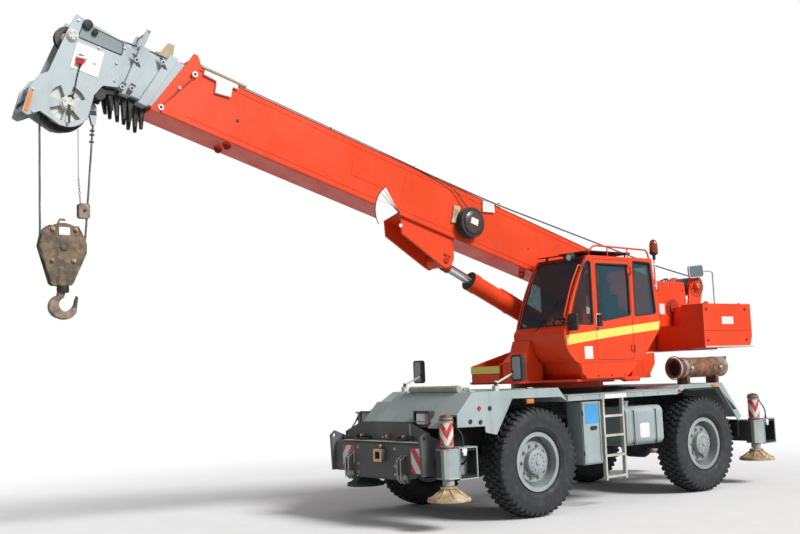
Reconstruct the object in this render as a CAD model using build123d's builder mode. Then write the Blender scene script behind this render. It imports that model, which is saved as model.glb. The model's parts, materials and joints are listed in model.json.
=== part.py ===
"""Two-axle rough-terrain mobile crane with a four-section telescopic boom.

Sizes are in millimetres.  +X points forward along the carrier, +Y to its left (the cab side) and +Z up,
with the ground at z = 0.  Every piece is drawn with x measured from the slewing axis.  save() then moves it
so that the stored origin lies on the ground under the middle of the machine's whole length.
"""
import os
from math import atan2, cos, degrees, hypot, pi, radians, sin, tan

from build123d import *

os.makedirs("parts", exist_ok=True)

# ---------------------------------------------------------------- driving dimensions
WHEELBASE = 3240
TRACK = 2105                # between the middles of the left and right tyres
HALF_WIDTH = 1240           # carrier and cab side planes
GROUND_TO_DECK = 1490       # carrier deck over the frame

TYRE_RADIUS = 660
TYRE_WIDTH = 375
RIM_RADIUS = 322            # bead seat, where the tyre sits on the rim
RIM_FLANGE = 356
KINGPIN_Y = 800             # kingpin axes, left and right of the middle

BOOM_ANGLE = 16             # the boom's slope in the stored pose, degrees
BOOM_PIVOT_X = -2330        # boom foot pin
BOOM_PIVOT_Z = 2620
BOOM_REAR = 250             # from the foot pin to the boom's rear end
BOOM_WALL = 10
BOOM_WIDTH = 440            # base section, outside
BOOM_HEIGHT = 673
BOOM_STEP_W = 48            # each next section is this much narrower
BOOM_STEP_H = 60            # and this much lower
BOOM_STROKE = 6100          # travel of each of the three moving sections
SLIDE_GAP = 0.3             # wear pads, guides and soft seats
PIN_GAP = 0.05              # radial clearance of pins and shafts in their bores
RUN_GAP = 8                 # clearance between pieces that pass each other

CHEEK_THICK = 30            # superstructure side plates that carry the boom
CHEEK_GAP = 8               # between the boom foot and each cheek

CAB_INNER_Y = 330           # the cab's right-hand wall, beside the boom
CAB_WALL = 45
CAB_FLOOR_Z = 1838
CAB_ROOF_Z = 3240

JACK_SPREAD_Y = 1145        # outrigger jacks in the stored pose
OUTRIGGER_STROKE = 1450
JACK_STROKE = 480

FRONT_AXLE_X = WHEELBASE / 2
REAR_AXLE_X = -WHEELBASE / 2
AXLE_Z = TYRE_RADIUS
LEFT, RIGHT = 1, -1
SIDES = {"left": LEFT, "right": RIGHT}
AXLES = {"front": FRONT_AXLE_X, "rear": REAR_AXLE_X}

# the machine's ends, which set the stored origin
CW_LOW = 1990               # underside of the counterweight
SHELF_THICK = 20            # plate it rests on
NOSE_U = 9985               # tip of the boom head, along the boom from the foot pin
REAR_BEAM_X = -3160          # middle of the rear outrigger beams
JACK_AHEAD = 235             # jack axis ahead of the left beams' middle, behind the right ones'
PAD_RADIUS = 250
END_BOX = 280                # length of the box at an outrigger beam's end
WINCH_X = -3000             # hoist winch drum axis
WINCH_Z = 2985
WINCH_PLATE_RADIUS = 170
boom_cos, boom_sin = cos(radians(BOOM_ANGLE)), sin(radians(BOOM_ANGLE))


def boom_point(u, v, y=0):
    """The place of a point u along the boom and v above its foot-pin line."""
    return (BOOM_PIVOT_X + u * boom_cos - v * boom_sin, y, BOOM_PIVOT_Z + u * boom_sin + v * boom_cos)


MACHINE_FRONT = boom_point(NOSE_U, -880)[0]
MACHINE_REAR = REAR_BEAM_X - JACK_AHEAD - PAD_RADIUS
MIDDLE_X = round((MACHINE_FRONT + MACHINE_REAR) / 2)
TO_ORIGIN = Location((-MIDDLE_X, 0, 0))


def save(part, name):
    """Label a finished piece, move it to the stored origin and write it."""
    piece = part.moved(TO_ORIGIN)
    piece.label = name
    export_step(piece, f"parts/{name}.step")


def side_plane(y):
    """An XZ sketch plane at y, whose extrusions run towards the right-hand side (-Y)."""
    return Plane.XZ.offset(-y)


def boom_side(y):
    """A sketch plane along the boom at y: local x is u, local y is v, extrusions run towards -Y."""
    return Plane(origin=boom_point(0, 0, y), x_dir=(boom_cos, 0, boom_sin), z_dir=(0, -1, 0))


def boom_cut(u):
    """A sketch plane across the boom at u: local x is the width, local y is v, extrusions run to the tip."""
    return Plane(origin=boom_point(u, 0), x_dir=(0, 1, 0), z_dir=(boom_cos, 0, boom_sin))


# ================================================================ wheels, knuckles and axles
TYRE_SHOULDER = 45
RIM_WALL = 14
RIM_WIDTH = 300
DISC_OFFSET = 60            # disc plate, outboard of the tyre's middle
DISC_THICK = 22
HUB_RADIUS = 150            # planetary hub
HUB_FACE = 150              # its face, outboard of the tyre's middle
STUD_CIRCLE = 200
STUD_COUNT = 10
SPINDLE_RADIUS = 70
SPINDLE_REACH = 40          # spindle end, outboard of the tyre's middle
KNUCKLE_RADIUS = 105
KNUCKLE_HALF = 150
PIN_RADIUS = 32
FORK_THICK = 48
AXLE_TUBE_RADIUS = 100


def wheel_plane(x, y):
    """A plane whose local x is the wheel's axis, pointing to +Y, and local y is +Z."""
    return Plane(origin=(x, y, AXLE_Z), x_dir=(0, 1, 0), z_dir=(1, 0, 0))


def build_wheel(axle, side):
    """One tyre on its rim; the rim carries the disc, the studs and the planetary hub."""
    x, sign = AXLES[axle], SIDES[side]
    y = sign * TRACK / 2
    plane = wheel_plane(x, y)
    half = TYRE_WIDTH / 2
    seat = RIM_RADIUS + SLIDE_GAP
    with BuildPart() as tyre:
        with BuildSketch(plane):
            with BuildLine():
                bead = RIM_WIDTH / 2 - 14 - SLIDE_GAP
                Polyline((-bead, seat), (bead, seat), (bead, RIM_FLANGE + 12), (half, 480), (half, 560),
                         (half - TYRE_SHOULDER, TYRE_RADIUS), (TYRE_SHOULDER - half, TYRE_RADIUS),
                         (-half, 560), (-half, 480), (-bead, RIM_FLANGE + 12), (-bead, seat))
            make_face()
        revolve(axis=Axis((x, 0, AXLE_Z), (0, 1, 0)))
    save(tyre.part, f"tyre_{axle}_{side}")

    out = sign                                   # outboard is +Y on the left wheels
    inner_rim = RIM_RADIUS - RIM_WALL
    rim_half = RIM_WIDTH / 2
    with BuildPart() as rim:
        with BuildSketch(plane):
            with BuildLine():
                Polyline((-rim_half, inner_rim), (rim_half, inner_rim), (rim_half, RIM_FLANGE),
                         (rim_half - 10, RIM_FLANGE), (rim_half - 14, RIM_RADIUS),
                         (14 - rim_half, RIM_RADIUS), (10 - rim_half, RIM_FLANGE),
                         (-rim_half, RIM_FLANGE), (-rim_half, inner_rim))
            make_face()
            with BuildLine():                    # disc: sloping from the rim to a flat ring at the hub
                Polyline((out * DISC_OFFSET, HUB_RADIUS - 20), (out * DISC_OFFSET, 245),
                         (out * (DISC_OFFSET - 50), inner_rim + 2),
                         (out * (DISC_OFFSET - 50 - DISC_THICK), inner_rim + 2),
                         (out * (DISC_OFFSET - DISC_THICK), 245),
                         (out * (DISC_OFFSET - DISC_THICK), HUB_RADIUS - 20),
                         (out * DISC_OFFSET, HUB_RADIUS - 20))
            make_face()
            with BuildLine():                    # hub: a capped drum over the spindle
                bore = SPINDLE_RADIUS + PIN_GAP
                Polyline((out * (SPINDLE_REACH + RUN_GAP), 0), (out * HUB_FACE, 0),
                         (out * HUB_FACE, HUB_RADIUS - 30),
                         (out * (HUB_FACE - 14), HUB_RADIUS), (out * -90, HUB_RADIUS), (out * -90, bore),
                         (out * (SPINDLE_REACH + RUN_GAP), bore), (out * (SPINDLE_REACH + RUN_GAP), 0))
            make_face()
        revolve(axis=Axis((x, 0, AXLE_Z), (0, 1, 0)))
        stud_plane = Plane(origin=(x, y + out * DISC_OFFSET, AXLE_Z), x_dir=(1, 0, 0), z_dir=(0, out, 0))
        with BuildSketch(stud_plane):
            with PolarLocations(STUD_CIRCLE, STUD_COUNT):
                Circle(15)
        extrude(amount=32)
    save(rim.part, f"rim_{axle}_{side}")


def build_knuckle(axle, side):
    """Steering knuckle: a kingpin barrel between the axle's fork arms, with its spindle and steering arm."""
    x, sign = AXLES[axle], SIDES[side]
    pin_y = sign * KINGPIN_Y
    tyre_mid = sign * TRACK / 2
    spindle_end = tyre_mid + sign * SPINDLE_REACH
    with BuildPart() as knuckle:
        with BuildSketch(Plane.XY.offset(AXLE_Z - KNUCKLE_HALF)):
            with Locations((x, pin_y)):
                Circle(KNUCKLE_RADIUS)
        extrude(amount=2 * KNUCKLE_HALF)
        with BuildSketch(Plane.XY.offset(AXLE_Z - KNUCKLE_HALF - FORK_THICK)):
            with Locations((x, pin_y)):
                Circle(PIN_RADIUS)
        extrude(amount=2 * (KNUCKLE_HALF + FORK_THICK))
        with BuildSketch(side_plane(max(pin_y, spindle_end))):
            with Locations((x, AXLE_Z)):
                Circle(SPINDLE_RADIUS)
        extrude(amount=abs(spindle_end - pin_y))
        flange_y = tyre_mid - sign * (90 + RUN_GAP)
        with BuildSketch(side_plane(max(flange_y, flange_y - sign * 24))):
            with Locations((x, AXLE_Z)):
                Circle(HUB_RADIUS - 12)
        extrude(amount=24)
        with Locations((x - 130, pin_y, AXLE_Z - 60)):           # steering arm
            Box(180, 60, 40)
    save(knuckle.part, f"knuckle_{axle}_{side}")


def build_axle(axle):
    """Axle beam with its differential housing, spring pads and a kingpin fork at each end."""
    x = AXLES[axle]
    fork_y = KINGPIN_Y
    tube_end = KINGPIN_Y - KNUCKLE_RADIUS - 40
    with BuildPart() as beam:
        with BuildSketch(Plane.XZ):
            with Locations((x, AXLE_Z)):
                Circle(AXLE_TUBE_RADIUS)
        extrude(amount=tube_end, both=True)
        with BuildSketch(wheel_plane(x, 0)):
            with BuildLine():
                Polyline((-230, 0), (-230, 110), (-120, 235), (120, 235), (230, 110), (230, 0), (-230, 0))
            make_face()
        revolve(axis=Axis((x, 0, AXLE_Z), (0, 1, 0)))
        for sign in SIDES.values():
            end_y = sign * tube_end
            low, high = AXLE_Z - KNUCKLE_HALF, AXLE_Z + KNUCKLE_HALF
            with BuildSketch(side_plane(max(end_y, end_y - sign * 40))):
                with Locations((x, AXLE_Z)):
                    RectangleRounded(190, 2 * (KNUCKLE_HALF + FORK_THICK), 30)
            extrude(amount=40)
            for level in (low - FORK_THICK, high + RUN_GAP / 4):
                with BuildSketch(Plane.XY.offset(level)):
                    with Locations((x, (end_y + sign * fork_y) / 2)):
                        Rectangle(150, abs(fork_y - tube_end))
                    with Locations((x, sign * fork_y)):
                        Circle(75)
                        Circle(PIN_RADIUS + PIN_GAP, mode=Mode.SUBTRACT)
                extrude(amount=FORK_THICK - RUN_GAP / 4)
            with Locations((x, sign * 400, AXLE_Z + 130)):      # pad that meets the frame rail
                Box(220, 120, 130)
    save(beam.part, f"{axle}_axle")


for axle_name in AXLES:
    build_axle(axle_name)
    for side_name in SIDES:
        build_wheel(axle_name, side_name)
        build_knuckle(axle_name, side_name)

# ================================================================ carrier frame
RAIL_Y = 400                # middle of each frame rail
RAIL_WIDTH = 110
SKIN = 14                   # folded plate of the decks and fenders
REAR_PLATE = 20
FENDER_TOP_FRONT = 1540
FENDER_TOP_REAR = 1490
RAIL_TOP = GROUND_TO_DECK - 20
RAIL_LOW = AXLE_Z + 195
FRAME_FRONT = 2560
FRAME_REAR = -2960
BEAM_LOW, BEAM_HIGH = 600, 880          # outrigger housings
BEAM_X = {"front": 2760, "rear": REAR_BEAM_X}
BEAM_PITCH = 128                        # the left beam runs this far ahead of the right one
BEAM_WIDTH = 112
HOUSING_WIDTH = 270
HOUSING_HALF = 1040
HOUSING_WALL = 12
RING_RADIUS = 640                       # slewing ring
RING_TOP = 1585
SLEW_SPLIT = 1510                       # the ring turns above this height

with BuildPart() as chassis_frame:
    for rail in (RAIL_Y, -RAIL_Y):
        with BuildSketch(side_plane(rail + RAIL_WIDTH / 2)):
            with BuildLine():
                Polyline((FRAME_FRONT, 700), (FRAME_FRONT, 1130), (1900, RAIL_TOP), (FRAME_REAR, RAIL_TOP),
                         (FRAME_REAR, 700), (-2500, 700), (-2350, RAIL_LOW), (2300, RAIL_LOW), (2440, 700),
                         (FRAME_FRONT, 700))
            make_face()
        extrude(amount=RAIL_WIDTH)
    for post_x in (1330, 1850):                                 # seats for the front deck
        with Locations((post_x, 0, (RAIL_TOP + FENDER_TOP_FRONT - SKIN) / 2)):
            Box(60, 2 * RAIL_Y + RAIL_WIDTH, FENDER_TOP_FRONT - SKIN - RAIL_TOP)
    for bracket_x, sign, reach in ((-600, 1, 726), (-130, 1, 726), (675, 1, 970), (-600, -1, 695),
                                   (600, -1, 695)):
        with Locations((bracket_x, sign * (RAIL_Y + reach) / 2, 1050)):     # tank and box brackets
            Box(70, reach - RAIL_Y, 160)
    for cross_x in (-2600, -900, 900, 2300):
        with Locations((cross_x, 0, 1180)):
            Box(90, 2 * RAIL_Y, 240)
    with BuildSketch(Plane.XY.offset(RAIL_TOP - 260)):          # drum under the slewing ring
        Circle(RING_RADIUS - 20)
        Circle(RING_RADIUS - 60, mode=Mode.SUBTRACT)
    extrude(amount=SLEW_SPLIT - RAIL_TOP + 260)
    for end, beam_x in BEAM_X.items():                          # outrigger housings, open at both ends
        with Locations((beam_x, 0, (BEAM_LOW + BEAM_HIGH) / 2)):
            Box(HOUSING_WIDTH, 2 * HOUSING_HALF, BEAM_HIGH - BEAM_LOW + 2 * HOUSING_WALL)
        toward = 1 if end == "front" else -1
        with Locations((beam_x - toward * 170, 0, 800)):
            Box(120, 2 * RAIL_Y + RAIL_WIDTH, 200)
    for beam_x in BEAM_X.values():
        for shift in (BEAM_PITCH / 2, -BEAM_PITCH / 2):
            with Locations((beam_x + shift, 0, (BEAM_LOW + BEAM_HIGH) / 2)):
                Box(BEAM_WIDTH + 2 * SLIDE_GAP, 3 * HOUSING_HALF, BEAM_HIGH - BEAM_LOW + 2 * SLIDE_GAP,
                    mode=Mode.SUBTRACT)
save(chassis_frame.part, "chassis_frame")

# ================================================================ decks, fenders and bumper
STRIP_TOP, STRIP_LOW = 1441, 1365
DECK_INNER_Y = 470
HOOD_EDGE_X = 2665          # where the hood starts to slope down
HOOD_SPLIT_Y = -200         # the hood is full height to the left of this
HOOD_STEP_Y = -490          # and half height to the left of this
HOOD_STEP_Z = 1441
SHOULDER_Z = 1300
SHOULDER_X = 2590           # front face of the low right shoulder
HOOD_TIP = (3055, 1145)
GRILLE_TOP = 1208           # top of the dark plate over the bumper

# side outlines (x, z) of the front deck, with the wheel arch left open below
LEFT_FENDER = [(1090, 1361), (1250, FENDER_TOP_FRONT), (HOOD_EDGE_X, FENDER_TOP_FRONT), HOOD_TIP,
               (2960, 1150), (2480, 1140), (2480, 1075), (2313, 1038), (2040, 1447), (1219, 1432)]
MIDDLE_HOOD = [(1990, HOOD_STEP_Z), (2763, HOOD_STEP_Z), HOOD_TIP, (2480, 1140), (1990, 1400)]
RIGHT_FENDER = [(1090, 1361), (1250, FENDER_TOP_FRONT), (1950, FENDER_TOP_FRONT), (2360, SHOULDER_Z),
                (SHOULDER_X, SHOULDER_Z), (SHOULDER_X, 1128), (2480, 1128), (2480, 1075), (2313, 1038),
                (2250, 1210), (1900, 1440), (1219, 1432)]
# what is hollow inside them, one skin in
LEFT_HOLLOW = [(1107, 1350), (1258, FENDER_TOP_FRONT - SKIN), (HOOD_EDGE_X - 6, FENDER_TOP_FRONT - SKIN),
               (HOOD_TIP[0] - 8, 1130), (HOOD_TIP[0] - 8, 900), (1107, 900)]
MIDDLE_HOLLOW = [(1980, HOOD_STEP_Z - SKIN), (2757, HOOD_STEP_Z - SKIN), (HOOD_TIP[0] - 8, 1130),
                 (HOOD_TIP[0] - 8, 900), (1980, 900)]
RIGHT_HOLLOW = [(1107, 1350), (1258, FENDER_TOP_FRONT - SKIN), (1946, FENDER_TOP_FRONT - SKIN),
                (2356, SHOULDER_Z - SKIN), (SHOULDER_X - SKIN, SHOULDER_Z - SKIN),
                (SHOULDER_X - SKIN, 900), (1107, 900)]

with BuildPart() as deck_hollow:
    for outline, left_y, right_y in ((LEFT_HOLLOW, HALF_WIDTH - SKIN, HOOD_SPLIT_Y + SKIN),
                                     (MIDDLE_HOLLOW, HOOD_SPLIT_Y + SKIN, HOOD_STEP_Y + SKIN),
                                     (RIGHT_HOLLOW, HOOD_SPLIT_Y + SKIN, SKIN - HALF_WIDTH)):
        with BuildSketch(side_plane(left_y)):
            with BuildLine():
                Polyline(*outline, close=True)
            make_face()
        extrude(amount=left_y - right_y)

with BuildPart() as front_deck:
    for outline, left_y, right_y in ((LEFT_FENDER, HALF_WIDTH, HOOD_SPLIT_Y),
                                     (MIDDLE_HOOD, HOOD_SPLIT_Y, HOOD_STEP_Y),
                                     (RIGHT_FENDER, HOOD_SPLIT_Y, -HALF_WIDTH)):
        with BuildSketch(side_plane(left_y)):
            with BuildLine():
                Polyline(*outline, close=True)
            make_face()
        extrude(amount=left_y - right_y)
    add(deck_hollow.part, mode=Mode.SUBTRACT)
    with Locations((1170, 0, 1400)):                            # the frame rails pass below the deck
        Box(240, 2 * DECK_INNER_Y, 150, mode=Mode.SUBTRACT)
    with Locations((3000, 0, GRILLE_TOP - 100)):                # bumper and its upper plate fill this space
        Box(200, 1760, 200, mode=Mode.SUBTRACT)
    with Locations((3000, HALF_WIDTH - 95, 1190)):              # corner opening for the left jack
        Box(190, 192, 200, mode=Mode.SUBTRACT)
    with Locations((BEAM_X["front"] - JACK_AHEAD, -HALF_WIDTH, 1190)):      # and for the right one
        Box(170, 340, 180, mode=Mode.SUBTRACT)
save(front_deck.part, "front_deck")

REAR_FENDER = [(-1020, 1362), (-1215, 1437), (-1990, 1437), (-2400, 934), (-2480, 990),
               (-2070, FENDER_TOP_REAR), (-1150, FENDER_TOP_REAR), (-1060, STRIP_TOP), (-1020, STRIP_TOP)]
with BuildPart() as rear_deck:
    for side in (HALF_WIDTH, -HALF_WIDTH + SKIN):
        with BuildSketch(side_plane(side)):
            with BuildLine():
                Polyline(*REAR_FENDER, close=True)
            make_face()
        extrude(amount=SKIN)
    with BuildSketch(Plane.XZ):
        with BuildLine():
            Polyline((-1060, STRIP_TOP), (-1150, FENDER_TOP_REAR), (-2070, FENDER_TOP_REAR), (-2480, 990),
                     (-2462, 980), (-2062, FENDER_TOP_REAR - REAR_PLATE),
                     (-1160, FENDER_TOP_REAR - REAR_PLATE), (-1075, STRIP_TOP - REAR_PLATE), close=True)
        make_face()
    extrude(amount=HALF_WIDTH - 1, both=True)
    with Locations((-1110, 0, 1400)):                           # the frame rails pass below the deck
        Box(110, 2 * DECK_INNER_Y, 150, mode=Mode.SUBTRACT)
    with Locations((-2300, 0, 1200)):                           # open above and behind the engine
        Box(500, 2 * DECK_INNER_Y, 1000, mode=Mode.SUBTRACT)
save(rear_deck.part, "rear_deck")

with BuildPart() as side_decks:
    for sign in SIDES.values():
        with BuildSketch(side_plane(max(sign * HALF_WIDTH, sign * DECK_INNER_Y))):
            with BuildLine():
                Polyline((1085, STRIP_LOW), (1085, STRIP_TOP), (-1018, STRIP_TOP), (-1018, STRIP_LOW),
                         close=True)
            make_face()
        extrude(amount=HALF_WIDTH - DECK_INNER_Y)
        with Locations((35, sign * (HALF_WIDTH + DECK_INNER_Y - SKIN) / 2, STRIP_LOW)):         # open below
            Box(2060, HALF_WIDTH - DECK_INNER_Y - SKIN, 2 * (STRIP_TOP - STRIP_LOW - SKIN),
                mode=Mode.SUBTRACT)
    with BuildSketch(Plane.XY.offset(STRIP_LOW - 1)):
        Circle(RING_RADIUS - 20 + SLIDE_GAP)
    extrude(amount=STRIP_TOP - STRIP_LOW + 2, mode=Mode.SUBTRACT)
save(side_decks.part, "side_decks")

BUMPER_X = 3150             # front face
TOW_Y, TOW_Z = 110, 822
TOW_OPENING = 100
BUMPER_BACK = BEAM_X["front"] + HOUSING_WIDTH / 2
BUMPER_HALF = 900
BUMPER_TOP = 975
WING_THICK = 36
BUMPER_OUTLINE = [(-BUMPER_HALF, 610), (-500, 610), (-420, 530), (420, 530), (500, 610), (BUMPER_HALF, 610),
                  (BUMPER_HALF, BUMPER_TOP), (-BUMPER_HALF, BUMPER_TOP)]
with BuildPart() as front_bumper:
    with BuildSketch(Plane.YZ.offset(BUMPER_BACK)):
        with BuildLine():
            Polyline(*BUMPER_OUTLINE, close=True)
        make_face()
    extrude(amount=BUMPER_X - BUMPER_BACK)
    chamfer(front_bumper.edges().filter_by(Axis.Y).group_by(Axis.X)[-1], 26)
    with BuildSketch(Plane.YZ.offset(BUMPER_BACK + 12)):
        with BuildLine():
            Polyline(*BUMPER_OUTLINE, close=True)
        make_face()
        offset(amount=-12, mode=Mode.REPLACE)
    extrude(amount=BUMPER_X - BUMPER_BACK - 60, mode=Mode.SUBTRACT)
    with BuildSketch(Plane.YZ.offset(BUMPER_BACK - 1)):                 # access hole in the back
        with Locations((0, 780)):
            Rectangle(700, 120)
    extrude(amount=20, mode=Mode.SUBTRACT)
    with BuildSketch(Plane.YZ.offset(3000)):                            # dark plate above the bumper
        with BuildLine():
            Polyline((-860, BUMPER_TOP - 5), (-860, 1080), (-500, GRILLE_TOP - 3), (500, GRILLE_TOP - 3),
                     (860, 1080),
                     (860, BUMPER_TOP - 5), close=True)
        make_face()
    extrude(amount=18)
    for sign in SIDES.values():
        with BuildSketch(side_plane(max(sign * BUMPER_HALF, sign * (BUMPER_HALF + WING_THICK)))):
            with BuildLine():
                Polyline((BUMPER_BACK, 600), (3195, 600), (3215, 1040), (3150, 1095),
                         (BUMPER_BACK + 30, 1000),
                         close=True)
            make_face()
            with Locations((3158, 1035)):
                Circle(26, mode=Mode.SUBTRACT)
        extrude(amount=WING_THICK)
        for y in (500, 560):                                            # towing eye plates
            with BuildSketch(side_plane(max(sign * y, sign * (y + 16)))):
                with BuildLine():
                    Polyline((3110, 505), (3110, 830), (3150, 830), (3235, 780), (3235, 560), (3180, 505),
                             close=True)
                make_face()
                with Locations((3195, 580)):
                    Circle(24, mode=Mode.SUBTRACT)
            extrude(amount=16)
    with BuildSketch(Plane.YZ.offset(BUMPER_X - 5)):                    # square tow frame
        with Locations((TOW_Y, TOW_Z)):
            RectangleRounded(150, 140, 14)
            Rectangle(TOW_OPENING, TOW_OPENING - 10, mode=Mode.SUBTRACT)
    extrude(amount=75)
save(front_bumper.part, "front_bumper")

with BuildPart() as engine_block:
    with Locations((-2202.5, 0, 1130)):
        Box(705, 620, 600)
save(engine_block.part, "engine_block")

# ================================================================ tanks, tool box, ladders, silencer, mirr
with BuildPart() as tool_box:
    with Locations((675, 1100, 950)):
        Box(340, 260, 785)
    fillet(tool_box.edges().filter_by(Axis.Z), 12)
    with Locations((675, 1100 + 130, 950)):                             # lid pressing
        Box(290, 6, 730)
save(tool_box.part, "tool_box")

TANK_X, TANK_Y, TANK_Z = -356, 980, 985
TANK_LENGTH, TANK_WIDTH, TANK_HEIGHT = 738, 500, 510
with BuildPart() as fuel_tank:
    with BuildSketch(Plane.YZ.offset(TANK_X - TANK_LENGTH / 2)):
        with Locations((TANK_Y, TANK_Z)):
            RectangleRounded(TANK_WIDTH, TANK_HEIGHT, 90)
    extrude(amount=TANK_LENGTH)
    for strap in (-0.3, 0.3):
        with BuildSketch(Plane.YZ.offset(TANK_X + strap * TANK_LENGTH - 25)):
            with Locations((TANK_Y, TANK_Z)):
                RectangleRounded(TANK_WIDTH + 8, TANK_HEIGHT + 8, 94)
        extrude(amount=50)
    with BuildSketch(Plane.XY.offset(TANK_Z + TANK_HEIGHT / 2 - 6)):    # filler neck and cap
        with Locations((TANK_X + 240, TANK_Y + 120)):
            Circle(45)
    extrude(amount=56)
save(fuel_tank.part, "fuel_tank")

with BuildPart() as hydraulic_tank:
    with BuildSketch(Plane.YZ.offset(-725)):
        with Locations((-940, 985)):
            RectangleRounded(490, 560, 40)
    extrude(amount=1575)
save(hydraulic_tank.part, "hydraulic_tank")

LADDER_X = 255
LADDER_WIDTH = 400
LADDER_LOW = 336
RAIL_SIZE = (30, 50)
with BuildPart() as ladders:
    for sign in SIDES.values():
        for rail_x in (LADDER_X - (LADDER_WIDTH - RAIL_SIZE[0]) / 2,
                       LADDER_X + (LADDER_WIDTH - RAIL_SIZE[0]) / 2):
            with Locations((rail_x, sign * (HALF_WIDTH - 25), (STRIP_LOW + LADDER_LOW) / 2)):
                Box(*RAIL_SIZE, STRIP_LOW - LADDER_LOW)
        for rung_z in (376, 642, 895, 1143):
            with Locations((LADDER_X, sign * (HALF_WIDTH - 25), rung_z)):
                Box(LADDER_WIDTH, RAIL_SIZE[1], 28)
save(ladders.part, "ladders")

SILENCER_Y, SILENCER_Z = 1095, 1718
SILENCER_RADIUS = 140
SILENCER_FRONT, SILENCER_REAR = -1190, -2280
with BuildPart() as silencer:
    with BuildSketch(Plane.YZ.offset(SILENCER_REAR)):
        with Locations((SILENCER_Y, SILENCER_Z)):
            Circle(SILENCER_RADIUS)
    extrude(amount=SILENCER_FRONT - SILENCER_REAR)
    with BuildSketch(Plane.YZ.offset(SILENCER_FRONT - 80)):             # open front collar
        with Locations((SILENCER_Y, SILENCER_Z)):
            Circle(SILENCER_RADIUS - 26)
    extrude(amount=90, mode=Mode.SUBTRACT)
    fillet(silencer.edges().filter_by(GeomType.CIRCLE).group_by(Axis.X)[0], 40)
    for saddle_x in (-1400, -2050):
        with Locations((saddle_x, SILENCER_Y, (FENDER_TOP_REAR + SILENCER_Z - 40) / 2)):
            Box(60, 180, SILENCER_Z - 40 - FENDER_TOP_REAR)
        with BuildSketch(Plane.YZ.offset(saddle_x - 25)):               # clamp bands
            with Locations((SILENCER_Y, SILENCER_Z)):
                Circle(SILENCER_RADIUS + 6)
        extrude(amount=50)
save(silencer.part, "silencer")

MIRROR_X = 2240
MIRROR_TALL = 320
MIRROR_TOP = CW_LOW - SHELF_THICK - 8           # the counterweight swings over the mirrors
MIRROR_HEAD_Y = 1245        # the heads stay outside the counterweight's swing
MIRROR_FEET = {LEFT: MIRROR_X, RIGHT: 1790}
MIRROR_ARM = [(0, 50), (-12, 90), (-290, 200), (-322, 290)]         # x and z from the mirror's foot


def mirror_head(x, y):
    """Mirror housing with rounded corners."""
    with BuildPart() as housing:
        with Locations((x, y, MIRROR_TOP - MIRROR_TALL / 2)):
            Box(56, 190, MIRROR_TALL)
        fillet(housing.edges().filter_by(Axis.X), 40)
    return housing.part


mirror_heads = {sign: mirror_head(foot_x + MIRROR_ARM[-1][0], sign * MIRROR_HEAD_Y)
                for sign, foot_x in MIRROR_FEET.items()}
with BuildPart() as mirrors:
    for sign, foot_x in MIRROR_FEET.items():
        y = sign * (HALF_WIDTH - 60)
        with Locations((foot_x, y, FENDER_TOP_FRONT + 30)):
            Box(60, 60, 60)
        with BuildLine() as arm:
            FilletPolyline(*[(foot_x + x, y, FENDER_TOP_FRONT + z) for x, z in MIRROR_ARM], radius=30)
        with BuildSketch(Plane(origin=arm.line @ 0, z_dir=arm.line % 0)):
            Circle(13)
        sweep(path=arm.line)
        add(mirror_heads[sign])
save(mirrors.part, "mirrors")

# ================================================================ outriggers
END_DEPTH = HALF_WIDTH - HOUSING_HALF - 20
JACK_TUBE_RADIUS = 76
JACK_ROD_RADIUS = 45
JACK_BOX_LOW, JACK_BOX_HIGH = 575, 913
JACK_TUBE_TOP = 1270
PAD_LOW = 330
PAD_TOP = 450


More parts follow.
